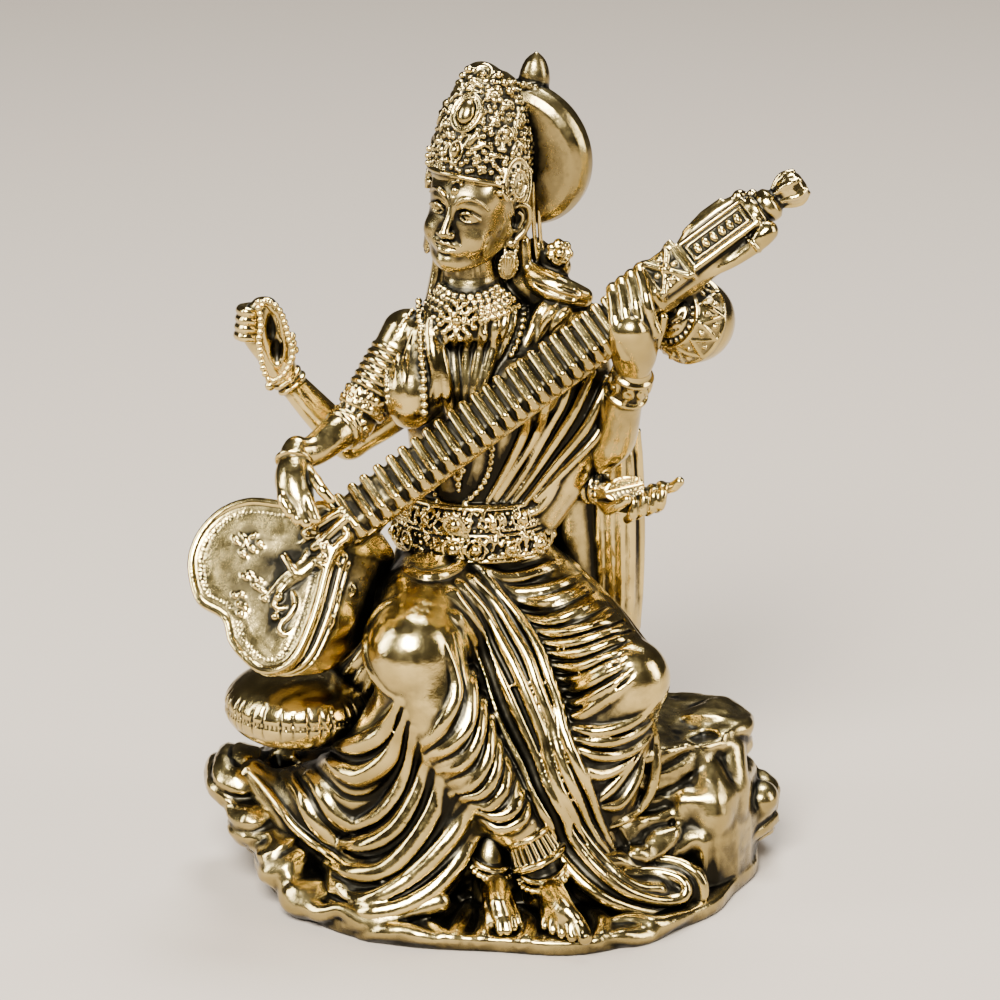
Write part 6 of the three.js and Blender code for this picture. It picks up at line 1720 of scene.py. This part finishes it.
def lute():
    clay = Clay("lute", (-2.5, -13.2, -15), (87, 12.5, 2.8), 0.2, lute_frame())
    outline = smooth(SOUNDBOARD, 72, closed=True)
    board = smooth(SOUNDBOARD, 48, closed=True)
    depths = smooth(BOWL, 40)

    def bowl(x, y, z):
        level = np.clip(z, BOWL[0][0], BOWL[-1][0])
        share, shift, drop = [np.interp(level, depths[:, 0], depths[:, k]) for k in (1, 2, 3)]
        along = (x - BOWL_MIDDLE - shift) / share + BOWL_MIDDLE
        across = outline_distance(board, along, (y - drop) / share)
        return np.maximum(across * share + 0.25, np.maximum(BOWL[0][0] - z, z)).astype(np.float32)

    clay.shape([-1.5, -13, -14.5], [20, 11, 0], bowl, 0)
    clay.slab(outline, -1.3, 0, 0.25, 0.35)
    clay.box([46, 0, -1.8], [31, 2.45, 1.8], 0.8, 1.2)
    clay.limb([[14, 0, -6.5, 4.2], [18.5, 0, -4.4, 2.9], [24, 0, -2.6, 2.2]], 1.2)
    clay.settle()
    soundboard(clay, outline)
    random = np.random.default_rng(8)
    for i in range(FRETS):
        share = i / (FRETS - 1)
        along = FRET_FIRST + (FRET_LAST - FRET_FIRST) * (1.14 * share - 0.14 * share**2)
        place = along + random.uniform(-0.12, 0.12)
        clay.box([place, 0, -0.5], [0.47, 2.4, 0.9], 0.12, 0.3)
        clay.ball([place, 2.45, -0.4], [0.64, 0.55, 0.8], 0.12)
        clay.limb([[place, -2.2, -0.2, 0.44], [place - 0.1, -2.5, -1.2, 0.74]], 0.15)
    clay.tube([[FRET_FIRST - 1, -2.2, -2.1], [FRET_LAST + 2, -2.2, -2.1]], 0.9, 0.25)
    bowl_relief(clay)
    lute_head(clay)
    return clay


def soundboard(clay, outline):
    """The raised rim of the board, the groove of beads in it, the strokes and the tailpiece."""
    clay.slab(outline, -0.5, 0.38, 0.12, 0.2, rim=(0.0, 0.8))
    line = inset(outline, 1.75)
    line = line[line[:, 0] < 14.5]
    run = smooth(line, int(length(line) / 0.5))
    clay.tube(np.hstack([run, np.full((len(run), 1), 0.05)]), 0.18, 0.1, cut=True)
    clay.beads(np.hstack([run, np.full((len(run), 1), -0.08)]), 0.18, 0.05)
    clay.folds(BOARD_STROKES, 0.3, 0.34, 0.08, step=0.3, ends=0.8)
    clay.folds(BOARD_CURLS, 0.36, 0.45, 0.1, step=0.3, ends=0.7)
    for pixel in BOARD_KNOBS:
        knob(clay, pixel, 0.55, 0.2, 0.1)
    clay.folds([TAIL_LEAF], 1.5, 0.55, 0.15, bend=[0.25, 0.8, 1, 0.6])
    # Bridge
    clay.box([10.6, -1.2, 0.1], [0.45, 1.7, 0.65], 0.15, 0.3)
    clay.tube([[14.2, -1.2, 0.2], [18.8, -0.6, 0.3]], 0.6, 0.2)
    clay.tube([[14.2, 1.0, 0.2], [18.8, 0.6, 0.3]], 0.6, 0.2)


# Bands round the bowl, as depth and radius, and its scrolls, as pixels and size
BOWL_BANDS = [(-2.1, 0.35), (-3.0, 0.2)]
BOWL_SCROLLS = [(341, 560, 11), (336, 595, 7), (330, 622, 8), (352, 590, 6)]


def bowl_relief(clay):
    """Low scrolls and bands round the wooden bowl."""
    outline = inset(smooth(SOUNDBOARD, 90, closed=True), -0.02)
    levels = np.array(BOWL)
    for depth, radius in BOWL_BANDS:
        share, shift, drop = [np.interp(depth, levels[:, 0], levels[:, k]) for k in (1, 2, 3)]
        x = BOWL_MIDDLE + (outline[:, 0] - BOWL_MIDDLE) * share + shift
        band = np.stack([x, outline[:, 1] * share + drop, np.full(len(outline), depth)], 1)
        clay.tube(band[x < 16.5], radius, 0.15)
    for x, y, size in BOWL_SCROLLS:
        for turn in (0, 180):
            steps = np.arange(18)
            phase = np.radians(turn + 24 * steps)
            r = size * (1 - 0.042 * steps)
            curl = np.stack([x + 0.55 * r * np.cos(phase), y + r * np.sin(phase)], 1)
            clay.folds([curl], 0.3, 0.3, 0.12, step=0.35, ends=0.6)


# The head of the lute in its own frame: the middle line of all its parts, and the rings under it
HEAD_LINE = 0.4
HEAD_LEVEL = -1.4
HEAD_RINGS = [(60.6, 2.6, 0.5), (61.9, 2.7, 0.55), (63.2, 2.75, 0.5)]
LATTICE_KNOBS = [(64.9, 0.4), (67.3, 0.4), (66.1, 1.9), (66.1, -1.1)]
PEG_BOX = 73.4
PANEL_KNOBS = 6
# The pegs as one carved mass at each side
PEGS_UPPER = [[69.4, 2.7, -1.3, 0.8], [71.6, 3.2, -1.2, 1.05], [75.0, 3.4, -1.2, 1.0],
              [77.4, 3.1, -1.2, 0.85]]
PEGS_LOWER = [[69.6, -1.9, -1.5, 0.7], [73.2, -2.6, -1.4, 0.85], [76.8, -2.7, -1.2, 1.1],
              [78.2, -2.4, -1.0, 1.3]]
LUTE_FINIAL = [[1.7, -1.2], [2.15, -0.7], [2.2, -0.1], [1.6, 0.3], [1.95, 0.9], [1.9, 1.7], [1.2, 2.3],
               [1.15, 2.8], [1.75, 3.6], [2.05, 4.6], [1.75, 5.6], [0.8, 6.1]]
FINIAL_FOOT = 78.9
FINIAL_PETALS = 7
# One rib of a petal, as its radius and how far along the finial
PETAL = [(1.2, 2.7), (1.85, 3.7), (2.1, 4.7), (1.6, 5.8)]


def lute_head(clay):
    """Collar rings, lattice block, peg box with its panel, the pegs at its sides and the finial."""
    middle = HEAD_LINE
    across = np.array([1, 0, 0])
    for u, radius, thick in HEAD_RINGS:
        clay.turned([[radius - 0.5, -thick], [radius, -0.3 * thick], [radius, 0.3 * thick],
                     [radius - 0.5, thick]], [u, middle, HEAD_LEVEL], across, 0.1, rounding=0.25)
    clay.box([66.0, middle + 0.1, HEAD_LEVEL], [2.6, 2.55, 2.25], 0.2, 0.6)
    for u in (63.9, 68.3):
        clay.box([u, middle + 0.1, HEAD_LEVEL], [0.4, 2.85, 2.55], 0.1, 0.35)
    for side in (-1, 1):
        clay.tube([[64.4, middle + side * 2.3, 0.85], [67.8, middle - side * 2.3, 0.85]], 0.42, 0.1)
        clay.tube([[64.4, 2.95, -1.2 + side * 1.9], [67.8, 2.95, -1.2 - side * 1.9]], 0.35, 0.1)
    clay.ball([66.1, middle, 1.0], 0.62, 0.08)
    for u, w in LATTICE_KNOBS:
        clay.ball([u, w, 0.85], 0.42, 0.08)
    # Peg box
    clay.box([PEG_BOX, middle, HEAD_LEVEL], [4.9, 2.15, 2.1], 0.1, 0.4)
    clay.box([PEG_BOX, middle, 0.9], [4.25, 1.5, 0.55], 0.05, 0.15, cut=True)
    clay.box([PEG_BOX, middle, 0.35], [3.95, 1.2, 0.3], 0.05, 0.12)
    clay.box([PEG_BOX, middle, 0.8], [3.55, 0.9, 0.45], 0.05, 0.12, cut=True)
    for i in range(PANEL_KNOBS):
        clay.ball([70.55 + 1.14 * i, middle, 0.4], [0.45, 0.75, 0.42], 0.05)
    # Pegs at both sides
    clay.limb(PEGS_UPPER, 0.3)
    for lane in (-0.5, 0.3):
        clay.tube([[70.4, 3.6 + 0.2 * lane, -1.0 + lane], [73.4, 4.2, -0.9 + lane],
                   [76.0, 4.15, -0.9 + lane]], 0.3, 0.12)
    clay.ball([78.0, 3.2, -1.0], [0.95, 0.9, 1.0], 0.15)
    clay.ball([79.4, 2.6, -1.0], 0.6, 0.15)
    clay.limb(PEGS_LOWER, 0.3)
    clay.ball([77.6, -2.6, -0.5], [1.5, 0.95, 0.85], 0.2)
    clay.ring([76.0, -2.7, -1.1], (1, 0.1, 0.1), 1.05, 0.24, 0.08)
    # Neck rings and the leafy finial
    clay.turned(LUTE_FINIAL, [FINIAL_FOOT, middle, HEAD_LEVEL], across, 0.15, rounding=0.1)
    for i in range(FINIAL_PETALS):
        start = 360 * i / FINIAL_PETALS
        petal = [round_axis((FINIAL_FOOT + up, middle, HEAD_LEVEL), across, radius, start + 6 * k)
                 for k, (radius, up) in enumerate(PETAL)]
        clay.tube(smooth(petal, 10), 0.32, 0.1)


GOURD_RADIUS = 5.05
# The radius that the measures of its rings and its face belong to
GOURD_DRAWN = 4.55
GOURD_AXIS = [-0.68, -0.65, 0.34]
GOURD_PLACE = [23.8, 0.6, 68.9]
GOURD_FACE = [[2.9, 3.25], [2.55, 3.25], [2.4, 3.75], [1.6, 4.35], [0.1, 4.6]]
GOURD_STEM = [[23.4, -1.0, 72.6], [22.6, -3.0, 76.0]]
# Rings as radius, height and thickness, and a triangle's foot and tip as radius and height
GOURD_RINGS = [(4.5, 0.15, 0.3), (3.25, 3.05, 0.26)]
TRIANGLES = 11
TRIANGLE_FOOT = (4.52, 0.5)
TRIANGLE_TIP = (3.62, 2.75)
# The knobs in and between the triangles, as radius, height and degrees from the foot
TRIANGLE_KNOBS = [(4.4, 1.15, 180 / TRIANGLES), (3.93, 2.3, 0)]
SWIRLS = 7
SWIRL_PLACES = 12


def gourd():
    """The second resonator under the lute's head, facing her right."""
    axis = np.array(GOURD_AXIS) / np.linalg.norm(GOURD_AXIS)
    side = np.cross((0, 0, 1), axis)
    side /= np.linalg.norm(side)
    place = frame_at(GOURD_PLACE, np.stack([side, np.cross(axis, side), axis], 1))
    clay = Clay("gourd", (-8.5, -6.4, -6.4), (6.5, 10.4, 6.4), 0.15, place)
    size = GOURD_RADIUS
    grow = size / GOURD_DRAWN

    def on_gourd(radius, z, turn):
        return round_axis((0, 0, z * grow), (0, 0, 1), radius * grow, turn)

    profile = [[size * math.sin(a), -size * math.cos(a)] for a in np.linspace(0.05, 2.35, 16)]
    clay.turned(profile + [[r * grow, z * grow] for r, z in GOURD_FACE], (0, 0, 0), soft=0)
    for radius, z, thick in GOURD_RINGS:
        clay.ring([0, 0, z * grow], (0, 0, 1), radius * grow, thick, 0.08)
    clay.beads(hoop((0, 0, 3.25 * grow), (0, 0, 1), 2.74 * grow, 24), 0.27, 0.05)
    for i in range(TRIANGLES):
        start = 360 * i / TRIANGLES
        tip = on_gourd(*TRIANGLE_TIP, start + 180 / TRIANGLES)
        for end in (on_gourd(*TRIANGLE_FOOT, start), on_gourd(*TRIANGLE_FOOT, start + 360 / TRIANGLES)):
            half = (end + tip) / 2
            clay.tube([end, half * size / np.linalg.norm(half), tip], 0.22, 0.08)
        for radius, z, turn in TRIANGLE_KNOBS:
            clay.ball(on_gourd(radius, z, start + turn), 0.32, 0.08)
    for i in range(SWIRLS):
        turn = np.radians(360 * i / SWIRLS + 11 * np.arange(SWIRL_PLACES))
        r = 0.25 + 0.17 * np.arange(SWIRL_PLACES)
        swirl = np.stack([r * np.cos(turn), r * np.sin(turn), 4.62 - 0.165 * r * r], 1) * grow
        clay.tube(smooth(swirl, 22), 0.1, 0.06, cut=True)
    clay.tube(clay.inward(GOURD_STEM), 1.8, 0.6)
    return clay


# Meshes

MOST_TRIANGLES = 190000
TOTAL_TRIANGLES = 960000
# The grid that tells how hidden each place is, by brass or by the floor; the colour is painted darker
# there, as patination and as painted shade
CELL = 0.45
ROOM_LOW = np.array([-42.0, -34.0, -3.0])
ROOM_HIGH = np.array([42.0, 34.0, 106.0])


def blurred(values, reach):
    """A box blur of a grid, reach cells to each side, done twice."""
    for _ in range(2):
        for axis in range(3):
            pad = [(0, 0)] * 3
            pad[axis] = (reach + 1, reach)
            total = np.cumsum(np.pad(values, pad, mode="edge"), axis=axis, dtype=np.float32)
            ahead = [slice(None)] * 3
            behind = [slice(None)] * 3
            ahead[axis] = slice(2 * reach + 1, None)
            behind[axis] = slice(None, -2 * reach - 1)
            values = (total[tuple(ahead)] - total[tuple(behind)]) / (2 * reach + 1)
    return values


def brass_room(clays):
    """Where there is brass or floor round the figure, on a coarse grid."""
    count = np.ceil((ROOM_HIGH - ROOM_LOW) / CELL).astype(int)
    solid = np.zeros(count, np.float32)
    solid[:, :, :int(-ROOM_LOW[2] / CELL)] = 1
    for clay in clays:
        corners = np.array([[x, y, z] for x in (0, 1) for y in (0, 1) for z in (0, 1)])
        own = clay.low + corners * (clay.count - 1) * clay.voxel
        wide = own @ clay.place[:3, :3].T + clay.place[:3, 3]
        first = np.clip(np.floor((wide.min(0) - ROOM_LOW) / CELL).astype(int), 0, count)
        last = np.clip(np.ceil((wide.max(0) - ROOM_LOW) / CELL).astype(int), 0, count)
        axes = [ROOM_LOW[i] + CELL * (np.arange(first[i], last[i]) + 0.5) for i in range(3)]
        points = np.stack(np.meshgrid(*axes, indexing="ij"), -1)
        cells = np.rint((clay.inward(points) - clay.low) / clay.voxel).astype(int)
        inside = ((cells >= 0) & (cells < clay.count)).all(-1)
        cells = np.clip(cells, 0, clay.count - 1)
        brass = inside & (clay.field[cells[..., 0], cells[..., 1], cells[..., 2]] < 0)
        where = tuple(slice(a, b) for a, b in zip(first, last))
        solid[where] = np.maximum(solid[where], brass)
    return solid


def thinned(name, points, faces, most):
    """A Blender object from figure mm, thinned to a count of triangles."""
    mesh = bpy.data.meshes.new(name)
    mesh.vertices.add(len(points))
    mesh.vertices.foreach_set("co", ((points + SHIFT) * MM).astype(np.float32).ravel())
    mesh.loops.add(3 * len(faces))
    mesh.loops.foreach_set("vertex_index", faces.astype(np.int32).ravel())
    mesh.polygons.add(len(faces))
    mesh.polygons.foreach_set("loop_start", np.arange(0, 3 * len(faces), 3, dtype=np.int32))
    mesh.update(calc_edges=True)
    piece = bpy.data.objects.new(name, mesh)
    bpy.context.scene.collection.objects.link(piece)
    if len(faces) > most:
        modifier = piece.modifiers.new("thin", "DECIMATE")
        modifier.ratio = most / len(faces)
        graph = bpy.context.evaluated_depsgraph_get()
        thin = bpy.data.meshes.new_from_object(piece.evaluated_get(graph))
        piece.modifiers.clear()
        piece.data = thin
        thin.name = name
        bpy.data.meshes.remove(mesh)
    piece.data.shade_smooth()
    return piece


def store_patina_and_shade(piece, clay, near, wide):
    """Stores how proud each place stands and how hidden it is, for the colour: patination in the hollows,
    and painted shade where other brass or the floor hides it.
    """
    mesh = piece.data
    size = len(mesh.vertices)
    places = np.empty(3 * size, np.float32)
    mesh.vertices.foreach_get("co", places)
    places = places.reshape(-1, 3) / MM - SHIFT
    normals = np.empty(3 * size, np.float32)
    mesh.vertex_normals.foreach_get("vector", normals)
    normals = normals.reshape(-1, 3)
    cells = (clay.inward(places) - clay.low) / clay.voxel
    field = np.clip(clay.field, -1.2, 1.2)
    fine, broad = [blended(blurred(field, max(int(reach / clay.voxel), 1)), cells) for reach in (0.45, 1.0)]
    corner = ROOM_LOW + CELL / 2
    close = blended(near, (places + normals * 0.9 - corner) / CELL)
    far = blended(wide, (places + normals * 2.6 - corner) / CELL)
    # Each piece's darkening, partly tarnish and partly painted shade
    dull_and_shade = np.full(size, DULL_AND_SHADE.get(clay.name, 0.0))
    for name, values in (("fine", fine), ("broad", broad), ("close", close), ("far", far), ("dull_and_shade", dull_and_shade)):
        layer = mesh.attributes.new(name, "FLOAT", "POINT")
        layer.data.foreach_set("value", values.astype(np.float32))


# How much darker than the rest each of these pieces is painted: partly tarnish, partly painted shade that
# tones down their bright reflection of the floor
DULL_AND_SHADE = {"bun": 0.7, "head": 0.45, "rock": 0.45, "crown": 0.25, "lute": 0.1}
BUILDERS = [dress, ground, lute, torso, back_cloth, arms, head, crown, cushion, seat_cloth, feet, bun,
            hand_play, hand_fret, hand_beads, hand_open, gourd]

with ThreadPoolExecutor(4) as pool:
    clays = list(pool.map(lambda build: build(), BUILDERS))
    skins = list(pool.map(Clay.polygons, clays))
# How hidden each place is by brass or floor, for the painted shade and the patination in the colour
solid = brass_room(clays)
near = blurred(solid, 2)
wide = blurred(solid, 7)
raw = sum(len(faces) for _, faces in skins)
share = min(1.0, TOTAL_TRIANGLES / raw)
pieces = []
for clay, (points, faces) in zip(clays, skins):
    most = min(MOST_TRIANGLES, int(len(faces) * share))
    pieces.append(thinned(clay.name, points, faces, most))
    store_patina_and_shade(pieces[-1], clay, near, wide)


# Antique brass

GOLD_LIGHT = (0.7, 0.535, 0.2, 1)
GOLD_DEEP = (0.38, 0.285, 0.1, 1)
# Tarnish and the nearly black patination, which also paint shade where the surface is hidden
TARNISH_AND_SHADE = (0.17, 0.13, 0.055, 1)
PATINA_AND_SHADE = (0.012, 0.0105, 0.007, 1)


def brass():
    """Polished gold where the casting stands proud, and nearly black where it is hidden: dark patination in
    the hollows, and painted shade where other brass or the floor hides it.
    """
    material = bpy.data.materials.new("antique_brass")
    material.use_nodes = True
    nodes, links = material.node_tree.nodes, material.node_tree.links
    shader = nodes["Principled BSDF"]

    def node(kind, **values):
        made = nodes.new(kind)
        for name, value in values.items():
            setattr(made, name, value)
        return made

    def value(name):
        return node("ShaderNodeAttribute", attribute_name=name).outputs["Fac"]

    def spread(source, low, high, to_low=0.0, to_high=1.0):
        made = node("ShaderNodeMapRange")
        links.new(source, made.inputs["Value"])
        ends = {"From Min": low, "From Max": high, "To Min": to_low, "To Max": to_high}
        for socket, number in ends.items():
            made.inputs[socket].default_value = number
        return made.outputs["Result"]

    def joined(operation, a, b):
        made = node("ShaderNodeMath", operation=operation)
        for socket, source in zip(made.inputs, (a, b)):
            if isinstance(source, (int, float)):
                socket.default_value = source
            else:
                links.new(source, socket)
        return made.outputs["Value"]

    def mixed(factor, a, b):
        made = node("ShaderNodeMix", data_type="RGBA")
        links.new(factor, made.inputs[0])
        for socket, source in zip((made.inputs[6], made.inputs[7]), (a, b)):
            if isinstance(source, tuple):
                socket.default_value = source
            else:
                links.new(source, socket)
        return made.outputs[2]

    coordinates = node("ShaderNodeTexCoord").outputs["Object"]

    def noise(scale, detail=3.0, roughness=0.6):
        made = node("ShaderNodeTexNoise")
        links.new(coordinates, made.inputs["Vector"])
        made.inputs["Scale"].default_value = scale
        made.inputs["Detail"].default_value = detail
        made.inputs["Roughness"].default_value = roughness
        return made.outputs["Fac"]

    def bump(height, strength, distance):
        made = node("ShaderNodeBump")
        made.inputs["Strength"].default_value = strength
        made.inputs["Distance"].default_value = distance
        links.new(height, made.inputs["Height"])
        return made

    blotch = spread(noise(240), 0.3, 0.7, -0.16, 0.16)
    grain = spread(noise(1500, 4.0), 0.3, 0.7, -0.06, 0.06)
    dents = joined("ADD", spread(value("fine"), 0.02, -0.09, 0, 0.75),
                   spread(value("broad"), 0.06, -0.2, 0, 0.5))
    # Painted shade: darker where nearby brass or the floor hides the surface
    hidden = joined("ADD", spread(value("close"), 0.2, 0.55, 0, 0.6),
                    spread(value("far"), 0.25, 0.7, 0, 0.45))
    proud = spread(value("fine"), 0.03, 0.12, 0, 0.4)
    # Hollows and hidden places, less the proud edges: patination and painted shade together
    dirt_and_shade = joined("SUBTRACT", joined("ADD", dents, hidden), proud)
    dirt_and_shade = joined("ADD", joined("ADD", dirt_and_shade, blotch), grain)
    patina_and_shade = spread(dirt_and_shade, 0.28, 0.74)
    # A darker tarnish from the same mix and from each piece's darkening, which is partly painted shade
    stain_and_shade = joined("ADD", spread(dirt_and_shade, 0.0, 0.5), value("dull_and_shade"))
    gold = mixed(spread(noise(90), 0.35, 0.65), GOLD_LIGHT, GOLD_DEEP)
    worn_and_shaded = mixed(stain_and_shade, gold, TARNISH_AND_SHADE)
    links.new(mixed(patina_and_shade, worn_and_shaded, PATINA_AND_SHADE), shader.inputs["Base Color"])
    shader.inputs["Metallic"].default_value = 1.0
    rough = joined("ADD", spread(stain_and_shade, 0, 1, 0.14, 0.25), spread(patina_and_shade, 0, 1, 0, 0.08))
    links.new(joined("ADD", rough, spread(noise(500), 0.3, 0.7, -0.05, 0.07)), shader.inputs["Roughness"])
    pits = bump(noise(1500, 5.0, 0.65), 0.22, 0.16 * MM)
    waves = bump(noise(260, 2.0), 0.25, 0.6 * MM)
    links.new(pits.outputs["Normal"], waves.inputs["Normal"])
    links.new(waves.outputs["Normal"], shader.inputs["Normal"])
    return material


material = brass()
for piece in pieces:
    piece.data.materials.clear()
    piece.data.materials.append(material)
    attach(piece, BODY)
    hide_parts(NODE)


# Floor, light and camera

# Where the lamps aim, and each lamp's name, place and size in metres, its power and its colour
LAMP_AIM = (0, 0, 0.055)
LAMPS = [
    ("key", (-0.14, -0.6, 0.6), (0.34, 0.3), 48, (1, 0.99, 0.96)),
    ("left", (-0.62, -0.1, 0.34), (0.16, 0.45), 5.5, (0.95, 0.97, 1)),
    ("right", (0.6, -0.12, 0.3), (0.16, 0.45), 5.0, (1, 0.95, 0.88)),
    ("top", (0.08, 0.25, 0.7), (0.26, 0.22), 14, (0.96, 0.98, 1)),
]


def floor():
    mesh = bpy.data.meshes.new("floor")
    wide, front, back = 0.7, -0.6, 0.9
    corners = [(-wide, front, 0), (wide, front, 0), (wide, back, 0), (-wide, back, 0)]
    mesh.from_pydata(corners, [], [(0, 1, 2, 3)])
    plane = bpy.data.objects.new("floor", mesh)
    bpy.context.scene.collection.objects.link(plane)
    paint = bpy.data.materials.new("floor")
    paint.use_nodes = True
    shader = paint.node_tree.nodes["Principled BSDF"]
    shader.inputs["Base Color"].default_value = (0.24, 0.204, 0.165, 1)
    shader.inputs["Roughness"].default_value = 0.8
    mesh.materials.append(paint)


def lamp(name, place, size, power, colour):
    data = bpy.data.lights.new(name, "AREA")
    data.shape = "RECTANGLE"
    data.size, data.size_y = size
    data.energy = power
    data.color = colour
    made = bpy.data.objects.new(name, data)
    bpy.context.scene.collection.objects.link(made)
    made.location = place
    made.rotation_euler = (Vector(LAMP_AIM) - Vector(place)).to_track_quat("-Z", "Y").to_euler()


def set_world():
    world = bpy.data.worlds.new("room")
    bpy.context.scene.world = world
    world.use_nodes = True
    world.node_tree.nodes["Background"].inputs["Color"].default_value = (0.5, 0.46, 0.43, 1)
    world.node_tree.nodes["Background"].inputs["Strength"].default_value = 0.1


def set_camera():
    data = bpy.data.cameras.new("photo")
    data.sensor_width = 36
    data.lens = 36 * FOCAL_PIXELS / PHOTO_SIZE
    data.clip_start, data.clip_end = 0.01, 10
    made = bpy.data.objects.new("photo", data)
    bpy.context.scene.collection.objects.link(made)
    made.location = Vector((CAMERA_PLACE + SHIFT) * MM)
    made.rotation_euler = (math.pi / 2 - CAMERA_PITCH, 0, 0)
    bpy.context.scene.camera = made


floor()
for name, place, size, power, colour in LAMPS:
    lamp(name, place, size, power, colour)
set_world()
set_camera()
